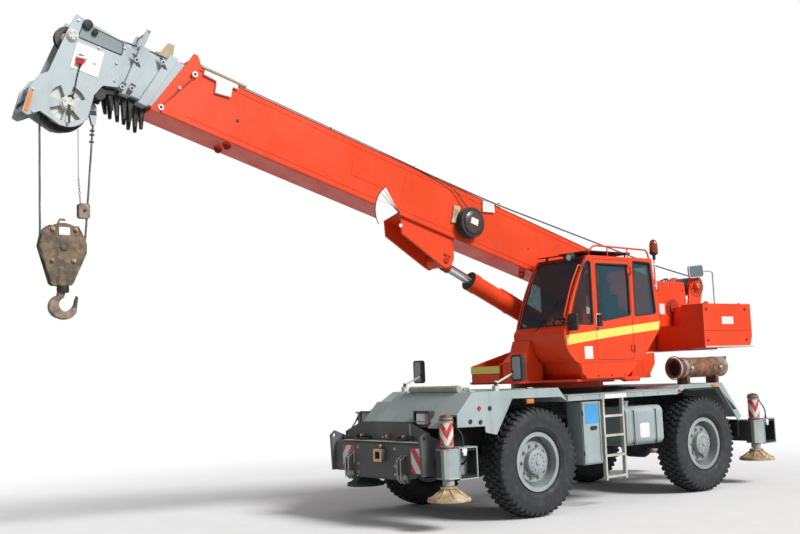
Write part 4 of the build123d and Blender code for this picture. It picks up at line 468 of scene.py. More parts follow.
def clear_glass(name, tint, shine=0.10):
    """Window glass: tinted, see-through, with reflections that grow at a slant."""
    n = Nodes(name)
    out = n.tree.nodes["Material Output"]
    through = n.add("ShaderNodeBsdfTransparent")
    through.inputs["Color"].default_value = (*tint, 1)
    n.shader.inputs["Base Color"].default_value = (0.05, 0.11, 0.14, 1)
    n.shader.inputs["Roughness"].default_value = 0.03
    n.shader.inputs["Specular IOR Level"].default_value = 0.8
    slant = n.add("ShaderNodeLayerWeight")
    slant.inputs["Blend"].default_value = 0.25
    dust = n.math("MULTIPLY", n.ramp(n.noise(6.0, 6), 0.45, 0.8), 0.05)
    factor = n.math("ADD", n.ramp(slant.outputs["Fresnel"], 0.0, 1.0, shine, 0.85), dust)
    blend = n.add("ShaderNodeMixShader")
    n.join(factor, blend.inputs[0])
    n.join(through.outputs[0], blend.inputs[1])
    n.join(n.shader.outputs[0], blend.inputs[2])
    n.join(blend.outputs[0], out.inputs["Surface"])
    return n.material


def lens(name, colour):
    """Moulded lamp lens."""
    n = Nodes(name)
    ribs = n.add("ShaderNodeTexWave")
    ribs.inputs["Scale"].default_value = 26.0
    n.join(n.place, ribs.inputs["Vector"])
    n.join(n.mix(n.ramp(n.noise(12.0, 4), 0.3, 0.7), colour, tuple(0.7 * c for c in colour)),
           n.shader.inputs["Base Color"])
    n.shader.inputs["Roughness"].default_value = 0.15
    n.shader.inputs["Coat Weight"].default_value = 0.6
    n.bump(ribs.outputs["Fac"], 0.25, 0.002)
    return n.material


def woven(name, colour, dark):
    """Seat cloth."""
    n = Nodes(name)
    weave = n.add("ShaderNodeTexWave", wave_type="BANDS")
    weave.inputs["Scale"].default_value = 90.0
    weave.inputs["Distortion"].default_value = 1.5
    n.join(n.place, weave.inputs["Vector"])
    n.join(n.mix(n.ramp(n.noise(16.0, 6), 0.35, 0.7), colour, dark), n.shader.inputs["Base Color"])
    n.shader.inputs["Roughness"].default_value = 0.9
    n.shader.inputs["Sheen Weight"].default_value = 0.3
    n.bump(weave.outputs["Fac"], 0.4, 0.001)
    return n.material


RED = paint("red_paint", (0.84, 0.066, 0.014), rough=0.36, dirt=(0.24, 0.035, 0.02), dirty=0.28, worn=0.45,
            fade=0.03)
# The red paint darkened as if in shade: painted shade on every part that is given it.
RED_PAINTED_SHADE = paint("red_paint_painted_shade", (0.40, 0.030, 0.012), rough=0.45, dirt=(0.10, 0.03, 0.02), dirty=0.4,
                 fade=0.05)
GREY = paint("grey_paint", (0.36, 0.43, 0.43), rough=0.45, dirty=0.35, low_dirt=0.25, fade=0.08)
GREY_LIGHT = paint("boom_grey_paint", (0.44, 0.50, 0.52), rough=0.45, dirty=0.35, fade=0.08)
GREY_RIM = paint("rim_paint", (0.33, 0.38, 0.39), rough=0.45, dirty=0.45, low_dirt=0.35)
DARK = paint("dark_steel_paint", (0.060, 0.068, 0.070), rough=0.5, dirt=(0.11, 0.10, 0.085), dirty=0.5,
             low_dirt=0.45)
BUMPER = paint("bumper_paint", (0.125, 0.137, 0.137), rough=0.5, dirty=0.45, low_dirt=0.2)
PALE = paint("pale_paint", (0.62, 0.66, 0.62), rough=0.5, dirty=0.35)
CREAM = paint("cream_paint", (0.60, 0.61, 0.54), rough=0.5, dirty=0.35, wear=(0.2, 0.17, 0.14))
WHITE = paint("white_plate", (0.80, 0.80, 0.78), rough=0.4, dirty=0.16, worn=0.1, fade=0.02)
YELLOW = paint("yellow_stripe", (0.90, 0.75, 0.15), rough=0.38, dirty=0.12, worn=0.1, fade=0.03)
BLUE = paint("blue_sheet", (0.055, 0.33, 0.66), rough=0.3, dirty=0.12, worn=0.1)
ORANGE_PAINT = paint("orange_plate", (0.85, 0.25, 0.03), rough=0.4, dirty=0.2)
BLACK = rubber("black_rubber", (0.014, 0.014, 0.015), dusty=0.12, rough=0.6)
PLASTIC = rubber("black_plastic", (0.022, 0.023, 0.025), dusty=0.15, rough=0.45, grain=60.0)
TYRE = rubber("tyre_rubber", (0.022, 0.025, 0.028), dust=(0.075, 0.080, 0.085), dusty=0.30, rough=0.70)
TREAD = rubber("tread_rubber", (0.020, 0.022, 0.024), dust=(0.07, 0.072, 0.072), dusty=0.25, rough=0.72)
HOSE = rubber("hydraulic_hose", (0.018, 0.018, 0.020), dusty=0.25, rough=0.5)
CHROME = metal("chrome", (0.78, 0.79, 0.80), rough=0.12, spotted=0.12)
STEEL = metal("bare_steel", (0.50, 0.49, 0.47), rough=0.38, spotted=0.45)
RUST_BRASS = metal("rusty_nuts", (0.42, 0.31, 0.19), rough=0.5, spots=(0.16, 0.08, 0.04), spotted=0.6,
                   metallic=0.6)
BRASS = metal("brass", (0.60, 0.40, 0.20), rough=0.4, spotted=0.35)
ROPE = metal("wire_rope", (0.20, 0.21, 0.24), rough=0.5, spots=(0.10, 0.08, 0.07), spotted=0.35, metallic=0.6)
RUST = rusty("rusty_steel", (0.30, 0.145, 0.075), (0.12, 0.055, 0.035), (0.42, 0.31, 0.22))
HOOK_IRON = rusty("hook_iron", (0.235, 0.170, 0.105), (0.11, 0.085, 0.06), (0.36, 0.31, 0.23))
HOOK_STEEL = rusty("hook_steel", (0.30, 0.22, 0.17), (0.13, 0.095, 0.07), (0.58, 0.50, 0.43), rough=0.5)
PAD_IRON = rusty("foot_iron", (0.64, 0.52, 0.34), (0.36, 0.25, 0.14), (0.80, 0.73, 0.56))
GREASE = rusty("greased_steel", (0.055, 0.050, 0.045), (0.025, 0.023, 0.022), (0.16, 0.13, 0.11), rough=0.45)
GLASS = clear_glass("window_glass", (0.88, 0.94, 0.93), shine=0.055)
MIRROR = metal("mirror_glass", (0.55, 0.68, 0.80), rough=0.08, spotted=0.10, grain=20.0)
LAMP = lens("clear_lens", (0.70, 0.75, 0.78))
AMBER = lens("amber_lens", (0.85, 0.24, 0.02))
RED_LENS = lens("red_lens", (0.62, 0.02, 0.015))
BEACON = lens("beacon_lens", (0.34, 0.060, 0.012))
SEAT = woven("seat_cloth", (0.36, 0.36, 0.34), (0.20, 0.20, 0.19))
DISPLAY = lens("display_glass", (0.02, 0.03, 0.035))

# A darker grey for the boom head's recess: painted shade.
RECESS_SHADE_GREY = paint("recess_grey", (0.24, 0.29, 0.30), rough=0.5, dirt=(0.12, 0.12, 0.11), dirty=0.4)
CANVAS = rubber("rolled_canvas", (0.36, 0.37, 0.29), dust=(0.52, 0.52, 0.43), dusty=0.6, rough=0.85)
LINING = rubber("roof_lining_cloth", (0.50, 0.50, 0.47), dust=(0.60, 0.60, 0.56), dusty=0.3, rough=0.9)
BROWN = rubber("brown_cap", (0.075, 0.038, 0.030), dust=(0.15, 0.10, 0.08), dusty=0.3, rough=0.3)
TAN = rubber("tan_fitting", (0.46, 0.36, 0.22), dust=(0.55, 0.47, 0.34), dusty=0.5)
HEATED = rusty("heat_marked_steel", (0.36, 0.33, 0.28), (0.20, 0.14, 0.10), (0.52, 0.51, 0.47))
BLUED = metal("blued_bolt", (0.32, 0.38, 0.46), rough=0.35)
GOLD = metal("gold_plate", (0.78, 0.55, 0.20), rough=0.3, spotted=0.2)
SHEET_WHITE, SHEET_RED = (0.80, 0.80, 0.78), (0.66, 0.035, 0.02)

# ================================================================ finishes of the CAD nodes
FINISHES = {RED: ("slew_platform", "cab_shell", "cab_door", "cab_sill", "cab_apron", "counterweight",
                  "hoist_winch", "boom_base", "lift_barrel"),
            GREY: ("front_deck", "rear_deck", "side_decks", "tool_box", "fuel_tank", "hydraulic_tank"),
            GREY_LIGHT: ("boom_section_2", "boom_section_3", "boom_head"),
            DARK: ("chassis_frame", "engine_block", "front_axle", "rear_axle"), BUMPER: ("front_bumper",),
            CREAM: ("ladders",), PLASTIC: ("mirrors",), GREASE: ("head_sheaves",), RUST: ("silencer",),
            HOOK_IRON: ("hook_block", "cable_reel"), HOOK_STEEL: ("hook",), ROPE: ("hoist_ropes",),
            GLASS: ("cab_windows", "door_glass"), SEAT: ("operator_seat",),}


def finish_node(name, material):
    """Gives a CAD node its finish."""
    data = nodes[name].data
    data.materials.clear()
    data.materials.append(material)


for material, names in FINISHES.items():
    for name in names:
        finish_node(name, material)
for axle in ("front", "rear"):
    for side in SIDES:
        finish_node(f"rim_{axle}_{side}", GREY_RIM)
        finish_node(f"knuckle_{axle}_{side}", DARK)
        finish_node(f"outrigger_beam_{axle}_{side}", GREY)
        # The front right foot is made dark as painted shade; the other feet keep their iron.
        finish_node(f"outrigger_foot_{axle}_{side}", DARK if (axle, side) == ("front", "right") else PAD_IRON)

# ================================================================ wheels
TYRE_RADIUS = 0.660
LUGS = 46                       # tread blocks round one half of a tyre
CARCASS = [(0.134, 0.3228), (0.136, 0.370), (0.152, 0.378), (0.166, 0.396), (0.1745, 0.416),
           (0.1790, 0.420), (0.1800, 0.428), (0.1790, 0.434), (0.1835, 0.470), (0.1868, 0.510),
           (0.1868, 0.545), (0.1850, 0.552), (0.1835, 0.556), (0.1835, 0.562), (0.1790, 0.590),
           (0.1660, 0.616), (0.150, 0.628), (0.090, 0.635), (0.0, 0.637)]
# corners of the tread blocks at their foot, as (across, along), for one half of the tread
SHOULDER_LUG = [(0.082, -0.034), (0.178, -0.026), (0.178, 0.030), (0.082, 0.020)]
MIDDLE_LUG = [(0.006, -0.038), (0.074, -0.026), (0.070, 0.032), (0.010, 0.018)]
LUG_FACES = [(0, 1, 2, 3), (7, 6, 5, 4), (0, 4, 5, 1), (1, 5, 6, 2), (2, 6, 7, 3), (3, 7, 4, 0)]


def lug_block(shape, centre, corners, half, turn, flip):
    """One tread block, wrapped round the tyre. Its outer edge falls with the shoulder."""
    verts = []
    for level in (0, 1):
        for across, along in corners:
            shrink = 1.0 if level == 0 else 0.86
            mid = sum(c[1] for c in corners) / len(corners)
            a = turn + flip * (mid + (along - mid) * shrink) / TYRE_RADIUS
            fall = 0.030 * max(0.0, across - 0.135) / 0.045
            radius = 0.626 - 1.2 * fall if level == 0 else TYRE_RADIUS - 0.0008 - fall
            width = min(across, 0.186) * half
            verts.append(centre + Vector((radius * sin(a), width, radius * cos(a))))
    shape.solid(verts, LUG_FACES)


def side_lug(shape, centre, half, turn):
    """The foot of a shoulder block, running down the sidewall."""
    verts = []
    for depth, wide in ((0.0, 1.0), (0.006, 0.7)):
        for radius, along in ((0.640, -0.026), (0.640, 0.028), (0.578, 0.018), (0.578, -0.016)):
            a = turn + along * wide / TYRE_RADIUS
            width = 0.1795 + depth if radius < 0.6 else 0.168 + 1.6 * depth
            verts.append(centre + Vector((radius * sin(a), half * width, radius * cos(a))))
    shape.solid(verts, LUG_FACES)


def dress_wheel(axle, side):
    """Tyre with tread blocks, wheel nuts, hub bolts and valve."""
    out = SIDES[side]
    body = f"wheel_{axle}_{side}"
    centre = Vector(joints[f"wheel_spin_{axle}_{side}"]["pos_m"])
    profile = CARCASS + [(-t, r) for t, r in reversed(CARCASS[:-1])]
    tyre = Shape().lathe(profile, centre, (0, 1, 0), 96).done(f"tyre_carcass_{axle}_{side}", TYRE, body)
    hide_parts(f"tyre_{axle}_{side}")
    tread = Shape()
    for turn in angles(LUGS):
        for half, lead in ((1, 0.0), (-1, 0.5)):
            here = turn + lead * 2 * pi / LUGS
            lug_block(tread, centre, SHOULDER_LUG, half, here, out)
            lug_block(tread, centre, MIDDLE_LUG, half, here + 0.55 * 2 * pi / LUGS, out)
            side_lug(tread, centre, half, here)
    tread.done(f"tyre_tread_{axle}_{side}", TREAD, body, bevel=0.003)
    outward = Vector((0, out, 0))
    disc = centre + 0.060 * outward
    nuts = Shape()
    for a in angles(10):
        spot = disc + spoke(0.200, a)
        nuts.rod(spot, spot + 0.008 * outward, 0.026, 20)
        nuts.rod(spot, spot + 0.028 * outward, 0.0175, 6)
        nuts.rod(spot, spot + 0.040 * outward, 0.0095, 12)
    nuts.done(f"wheel_nuts_{axle}_{side}", RUST_BRASS, body, bevel=0.001)
    face = centre + 0.150 * outward
    hub = Shape()
    hub.bolts([face + spoke(0.098, a) for a in angles(12)], outward, 0.009, 0.010)
    hub.turned([(0, 0), (0.014, 0), (0.014, 0.034), (0.008, 0.042), (0.0, 0.044)], face, outward, 24)
    hub.done(f"hub_bolts_{axle}_{side}", GREY_RIM, body, bevel=0.001)
    ring = Shape()
    ring.lathe([(0, 0.246), (0.007, 0.243), (0.007, 0.156), (0, 0.153)], disc, outward, 64)
    ring.done(f"wheel_clamp_ring_{axle}_{side}", GREY_RIM, body, bevel=0.0015)
    valve = Shape()
    foot = centre + Vector((0.285, 0.05 * out, 0))
    valve.pipe([foot, foot + Vector((-0.01, 0.035 * out, 0)), foot + Vector((-0.03, 0.07 * out, 0.0))],
               0.0055, 8, 0.02)
    valve.done(f"tyre_valve_{axle}_{side}", BRASS, body)


for axle in ("front", "rear"):
    for side in SIDES:
        dress_wheel(axle, side)


# ================================================================ fittings used in several places
def on_side(shape, outline, side, thick=0.003, y=HALF):
    """An outline in x and z laid on a side face, its thickness outwards."""
    return shape.prism(outline, thick, side_face(y if side == LEFT else -y - thick))


def side_frame(outer, width, side, thick=0.004, y=HALF):
    """A flat border inside an outline on a side face."""
    shape = Shape()
    return shape.ring(outer, grown(outer, -width), thick, side_face(y if side == LEFT else -y - thick))


def soften(outline, corner, steps=4):
    """An outline with arcs at its corners."""
    result = []
    count = len(outline)
    for i in range(count):
        before, here, after = (Vector(outline[(i + k) % count]) for k in (-1, 0, 1))
        reach = min(corner, 0.4 * (before - here).length, 0.4 * (after - here).length)
        start = here + reach * (before - here).normalized()
        end = here + reach * (after - here).normalized()
        for k in range(steps + 1):
            t = k / steps
            result.append(tuple((1 - t) ** 2 * start + 2 * t * (1 - t) * here + t ** 2 * end))
    return result


def hose(shape, points, radius=0.011, bend=0.08):
    """A hose with a crimped ferrule at each end."""
    points = [Vector(p) for p in points]
    shape.pipe(points, radius, 10, bend)
    for end, inner in ((points[0], points[1]), (points[-1], points[-2])):
        along = (inner - end).normalized()
        shape.rod(end, end + 0.045 * along, radius * 1.35, 12)
        shape.rod(end - 0.004 * along, end + 0.016 * along, radius * 1.7, 6)


def lamp(name, centre, normal, radius, depth, lens_material, body, rim=PLASTIC):
    """A round lamp: housing with a lip round its front, and a domed lens."""
    normal = Vector(normal).normalized()
    case = Shape().turned([(0, 0), (0, radius), (0.2 * depth, 1.10 * radius), (depth, 1.10 * radius),
                           (depth, 0.92 * radius), (0.8 * depth, 0.90 * radius), (0.8 * depth, 0)], centre,
                          normal, 32)
    case.done(name + "_housing", rim, body)
    glass = Shape().turned([(0.78 * depth, 0), (0.78 * depth, 0.90 * radius), (0.95 * depth, 0.88 * radius),
                            (1.10 * depth, 0.70 * radius), (1.20 * depth, 0.40 * radius),
                            (1.24 * depth, 0)], centre, normal, 32)
    glass.done(name + "_lens", lens_material, body)


# ================================================================ outriggers
BOX_X = {"front": 2.760, "rear": -3.160}        # x of each outrigger box
JACK_SHIFT, JACK_Y = 0.235, 1.145               # a jack from its box, along and across the machine
for end, box_x in BOX_X.items():
    for side, out in SIDES.items():
        tag = f"{end}_{side}"
        beam, foot = f"outrigger_beam_{tag}", f"outrigger_foot_{tag}"
        jack_x = box_x + out * JACK_SHIFT
        sleeve = Shape().lathe([(0, 0.0762), (0.25, 0.0762), (0.25, 0.0785), (0, 0.0785)],
                               P(jack_x, out * JACK_Y, 0.955), (0, 0, 1), 40)
        outer_line = P(jack_x, out * JACK_Y, 1.020)
        stripes = chevrons("jack_chevrons_" + tag, (0.80, 0.79, 0.75), SHEET_RED, outer_line,
                           (0.79, -0.61 * out, 0.0))
        sleeve.done("jack_stripes_" + tag, stripes, beam)
        cap = Shape().turned([(0, 0), (0, 0.080), (0.010, 0.081), (0.014, 0.062), (0.026, 0.058),
                              (0.028, 0.020), (0.036, 0.018), (0.036, 0)], P(jack_x, out * JACK_Y, 1.269),
                             (0, 0, 1), 32)
        cap.lathe([(0, 0.0765), (0, 0.0865), (0.018, 0.0865), (0.018, 0.0765)],
                  P(jack_x, out * JACK_Y, 1.235), (0, 0, 1), 32)
        cap.lathe([(0, 0.0765), (0, 0.0900), (0.022, 0.0900), (0.022, 0.0765)],
                  P(jack_x, out * JACK_Y, 0.914), (0, 0, 1), 32)
        cap.bolts([P(jack_x + 0.044 * cos(a), out * JACK_Y + 0.044 * sin(a), 1.283)
                   for a in (0.4, 1.97, 3.54, 5.11)], (0, 0, 1), 0.008, 0.012)
        cap.done("jack_cap_" + tag, RUST, beam, bevel=0.0015)
        plates = Shape()
        corner = P(jack_x + out * 0.0745, out * 1.2145, 0.744)
        turned = Matrix.Rotation(radians(-45), 4, "Z")
        plates.box(corner, (0.058, 0.004, 0.330), turned)
        plates.box(P(jack_x - out * 0.094, out * 1.150, 0.744), (0.004, 0.165, 0.330))
        for z in (0.580, 0.908):
            plates.box(P(jack_x - out * 0.010, out * 1.2365, z), (0.150, 0.006, 0.008))
        plates.done("jack_box_edge_" + tag, PALE, beam, bevel=0.001)
        # Painted shade: a dark block standing for the shade on one face of the jack box.
        dark = Shape()
        dark.box(P(jack_x, out * 1.098, 0.744), (0.1925, 0.09, 0.31))
        dark.done("jack_box_face_" + tag, DARK, beam, bevel=0.001)
        valve = Shape()
        vx = jack_x - out * 0.182
        valve.box(P(vx, out * 1.215, 0.888), (0.070, 0.050, 0.050))
        valve.box(P(vx, out * 1.222, 0.850), (0.046, 0.044, 0.046))
        valve.rod(P(vx - 0.05, out * 1.215, 0.890), P(vx - 0.035, out * 1.215, 0.890), 0.012, 6)
        valve.rod(P(vx, out * 1.215, 0.912), P(vx, out * 1.215, 0.935), 0.013, 6)
        valve.done("lock_valve_" + tag, WHITE, beam, bevel=0.002)
        lines = Shape()
        hose(lines, [P(vx, out * 1.215, 0.932), P(vx, out * 1.215, 1.06),
                     P(jack_x - out * 0.10, out * 1.20, 1.16), P(jack_x - out * 0.075, out * 1.175, 1.225)],
             0.009, 0.06)
        hose(lines, [P(vx - out * 0.03, out * 1.215, 0.862), P(vx - out * 0.09, out * 1.19, 0.845),
                     P(vx - out * 0.10, out * 1.16, 0.78), P(vx - out * 0.085, out * 1.09, 0.72)], 0.009,
             0.04)
        lines.done("jack_hoses_" + tag, HOSE, beam)
        guides = Shape()
        for z in (0.590, 0.890):
            guides.box(P(box_x, out * 1.160, z), (0.245, 0.150, 0.016))
        for dx in (-0.119, 0.119):
            guides.box(P(box_x + dx, out * 1.160, 0.740), (0.010, 0.150, 0.26))
        guides.done("beam_end_liner_" + tag, BLACK, beam)
        rim_bolts = Shape()
        for dx in (-0.128, 0.128):
            rim_bolts.bolts([P(box_x + dx, out * 1.2395, z) for z in (0.60, 0.69, 0.79, 0.88)], (0, out, 0),
                            0.007, 0.006)
        rim_bolts.done("end_box_bolts_" + tag, STEEL, beam)
        ribs = Shape()
        middle = P(jack_x, out * JACK_Y, 0)
        for i, a in enumerate(angles(8, 0.5)):
            along = Vector((cos(a), sin(a), 0))
            up_plane = plane(middle - 0.005 * along.cross(Vector((0, 0, 1))), along, (0, 0, 1))
            turned_up = plane(middle + 0.005 * along.cross(Vector((0, 0, 1))), along, (0, 0, 1))
            ribs.prism([(0.060, 0.345), (0.238, 0.351), (0.236, 0.366), (0.082, 0.474), (0.060, 0.474)],
                       0.010, turned_up if i % 2 else up_plane)
        ribs.lathe([(0.330, 0.228), (0.330, 0.2495), (0.352, 0.2495), (0.374, 0.2400), (0.374, 0.228)],
                   middle, (0, 0, 1), 56)
        ribs.lathe([(0.470, 0.050), (0.470, 0.098), (0.488, 0.098), (0.488, 0.050)], middle, (0, 0, 1), 40)
        # The front right foot's ribs are made dark as painted shade; the others keep their iron.
        ribs.done("foot_ribs_" + tag, DARK if tag == "front_right" else PAD_IRON, foot, bevel=0.002)
        rod = Shape().lathe([(0.492, 0.0440), (0.492, 0.04502), (1.170, 0.04502), (1.170, 0.0440)], middle,
                            (0, 0, 1), 36)
        rod.done("jack_rod_" + tag, CHROME, foot)

# ================================================================ front bumper and its fittings
FACE_X, UPPER_X = 3.150, 3.018          # front faces of the bumper's lower and upper part
HITCH_Y, HITCH_Z = 0.110, 0.822         # middle of the tow hitch
TOW_PIN_X, TOW_PIN_Z = 3.195, 0.580     # axis of the tow pins
rivets = Shape()
for y0, y1, slant, side in ((-0.735, -0.485, -0.80, "right"), (0.672, 0.900, 0.80, "left")):
    plates = Shape().prism(rectangle(y0, 0.630, y1, 0.917, 0.012), 0.003, front_face(FACE_X + 0.001))
    sheet = striped("hazard_stripes_" + side, SHEET_WHITE, SHEET_RED, (0, slant, 0.60), 0.17, shift=0.2)
    plates.done("hazard_plate_front_" + side, sheet, CARRIER, bevel=0.0006)
    rivets.bolts([P(FACE_X + 0.004, y, z) for y in (y0 + 0.02, y1 - 0.02) for z in (0.66, 0.907)],
                 (1, 0, 0), 0.006, 0.003, washer=False)
rivets.bolts([P(UPPER_X, y, 1.02) for y in (-0.78, -0.60, -0.42, -0.05, 0.42, 0.70)], (1, 0, 0), 0.010, 0.008)
rivets.bolts([P(FACE_X, y, z) for y in (-0.40, 0.36) for z in (0.60, 0.70, 0.90)], (1, 0, 0), 0.013, 0.011)
rivets.done("bumper_bolts", STEEL, CARRIER)
plugs = Shape()
for y in (-0.440, 0.090, 0.425):
    plugs.rod(P(UPPER_X, y, 1.036), P(3.040, y, 1.036), 0.032, 6)
    plugs.rod(P(3.038, y, 1.036), P(3.072, y, 1.036), 0.023, 20)
    plugs.rod(P(3.070, y, 1.036), P(3.082, y, 1.036), 0.015, 6)
plugs.done("brass_plugs", BRASS, CARRIER, bevel=0.0015)
ledge = Shape()
ledge.box(P(3.052, 0.10, 0.9795), (0.190, 1.616, 0.009))
ledge.prism(rectangle(0.492, 0.985, 0.512, 1.190), 0.006, front_face(UPPER_X))
ledge.done("bumper_ledge", PALE, CARRIER, bevel=0.0015)
hitch = Shape()
outer = rectangle(HITCH_Y - 0.082, HITCH_Z - 0.077, HITCH_Y + 0.082, HITCH_Z + 0.077, 0.018)
inner = rectangle(HITCH_Y - 0.048, HITCH_Z - 0.043, HITCH_Y + 0.048, HITCH_Z + 0.043, 0.010)
hitch.ring(outer, inner, 0.014, front_face(3.218))
hitch.rod(P(3.180, HITCH_Y, 0.902), P(3.180, HITCH_Y, 0.930), 0.012, 12)
hitch.lathe([(0, 0.010), (0, 0.024), (0.006, 0.026), (0.012, 0.024), (0.012, 0.010)],
            P(3.180, HITCH_Y, 0.930), (0, 0, 1), 20)
hitch.bolts([P(3.228, HITCH_Y + dy, HITCH_Z + dz) for dy in (-0.066, 0.066) for dz in (-0.060, 0.060)],
            (1, 0, 0), 0.007, 0.006)
hitch.done("tow_hitch_frame", BRASS, CARRIER, bevel=0.002)
eyes = Shape()
for out in (LEFT, RIGHT):
    for y in (0.508, 0.568):
        eyes.lathe([(-0.012, 0.025), (-0.012, 0.036), (0.012, 0.036), (0.012, 0.025)],
                   P(TOW_PIN_X, out * y, TOW_PIN_Z), (0, 1, 0), 28)
    eyes.rod(P(TOW_PIN_X, out * 0.485, TOW_PIN_Z), P(TOW_PIN_X, out * 0.600, TOW_PIN_Z), 0.019, 20)
    eyes.rod(P(TOW_PIN_X, out * 0.600, TOW_PIN_Z), P(TOW_PIN_X, out * 0.608, TOW_PIN_Z), 0.028, 20)
    eyes.pipe([P(TOW_PIN_X, out * 0.612, 0.585), P(TOW_PIN_X, out * 0.640, 0.560),
               P(TOW_PIN_X, out * 0.628, 0.520)], 0.004, 8, 0.01)
eyes.done("tow_pins", PALE, CARRIER, bevel=0.0015)
hoses = Shape()
for out in (LEFT, RIGHT):
    for y in (0.30, 0.36, 0.41):
        hose(hoses, [P(3.016, out * y, 1.02), P(3.10, out * y, 1.00), P(3.12, out * (y - 0.01), 1.005),
                     P(3.12, out * (y + 0.10), 1.005), P(3.03, out * (y + 0.15), 1.03)], 0.010, 0.05)
hoses.done("bumper_hoses", HOSE, CARRIER)
edges = Shape()
for out in (LEFT, RIGHT):
    for y in (0.508, 0.568):
        edges.prism([(3.150, 0.832), (3.1525, 0.8345), (3.2385, 0.783), (3.2385, 0.557), (3.181, 0.5025),
                     (3.179, 0.505), (3.235, 0.560), (3.235, 0.780)], 0.018, side_face(out * y - 0.009))
edges.done("tow_plate_edges", PALE, CARRIER)

# ================================================================ front deck: lamps, hood, markers
for side, out in SIDES.items():
    middle = P(2.985, 0.690, 1.246) if out == LEFT else P(2.592, -0.975, 1.215)
    board = plane(middle, (0, 1, 0), (0, 0, 1))
    recess = Shape()
    recess.ring(rectangle(-0.150, -0.095, 0.150, 0.095, 0.012),
                rectangle(-0.128, -0.074, 0.128, 0.074, 0.010), 0.040,
                board @ Matrix.Translation((0, 0, -0.030)))
    recess.prism(rectangle(-0.148, -0.093, 0.148, 0.093, 0.010), 0.055,
                 board @ Matrix.Translation((0, 0, -0.075)))
    recess.done("headlamp_case_" + side, PLASTIC, CARRIER, bevel=0.0015)
    pane = Shape().prism(rectangle(-0.112, -0.064, 0.052, 0.064, 0.010), 0.016,
                         board @ Matrix.Translation((0, 0, -0.020)))
    pane.done("headlamp_lens_" + side, LAMP, CARRIER, bevel=0.004)
    strip = Shape().prism(rectangle(0.060, -0.064, 0.114, 0.064, 0.008), 0.014,
                          board @ Matrix.Translation((0, 0, -0.020)))
    strip.done("headlamp_red_part_" + side, RED_LENS, CARRIER, bevel=0.003)
roll = Shape()
roll.rod(P(2.640, 0.985, 1.580), P(2.640, 0.060, 1.580), 0.040, 28)
for y in (0.93, 0.62, 0.30, 0.10):
    roll.lathe([(-0.012, 0.039), (-0.012, 0.0435), (0.012, 0.0435), (0.012, 0.039)], P(2.640, y, 1.580),
               (0, 1, 0), 28)
roll.done("rolled_sheet", CANVAS, CARRIER)
hood = Shape()
for x in (1.55, 2.10):
    hood.box(P(x, 0.52, 1.542), (0.006, 1.40, 0.003))
hood.box(P(2.40, 0.52, 1.542), (0.50, 0.008, 0.004))
for x, y in ((1.60, 1.10), (2.55, 1.10), (1.60, -0.10), (2.55, -0.10)):
    hood.box(P(x, y, 1.547), (0.09, 0.035, 0.012))
    hood.rod(P(x - 0.045, y, 1.551), P(x + 0.045, y, 1.551), 0.009, 12)
for y in (0.20, 0.95):
    hood.pipe([P(2.46, y, 1.540), P(2.46, y, 1.590), P(2.58, y, 1.590), P(2.58, y, 1.540)], 0.008, 10, 0.03)
hood.done("hood_seams_and_handles", GREY, CARRIER, bevel=0.001)
grips = Shape()
for x0, x1, y0, y1 in ((1.28, 1.98, 0.62, 1.20), (1.28, 1.92, -1.20, -0.62)):
    count_x, count_y = int((x1 - x0) / 0.055), int((y1 - y0) / 0.055)
    for i in range(count_x):
        for j in range(count_y):
            centre = P(x0 + 0.055 * (i + 0.5), y0 + 0.055 * (j + 0.5), 1.5412)
            turn = Matrix.Rotation(radians(45 if (i + j) % 2 else -45), 4, "Z")
            grips.box(centre, (0.036, 0.010, 0.0035), turn)
grips.done("deck_tread_plate", GREY, CARRIER)
dots = {RED_LENS: ((2.568, 1.351), (-1.10, 1.400)), PLASTIC: ((2.403, 1.343), (2.711, 1.206), (2.555, 1.192))}
for material, spots in dots.items():
    for side, out in SIDES.items():
        button = Shape()
        for x, z in spots:
            if out == RIGHT and x > 2.0:
                z -= 0.10
                x = min(x, 2.50)
            if out == RIGHT and z < 1.15:
                continue
            button.turned([(0, 0), (0, 0.026), (0.006, 0.028), (0.012, 0.022), (0.014, 0)],
                          P(x, out * HALF, z), (0, out, 0), 24)
        button.done(f"side_reflectors_{material.name}_{side}", material, CARRIER)
REAR_ARCH = [(-1.020, 1.362), (-1.215, 1.437), (-1.990, 1.437), (-2.400, 0.934)]
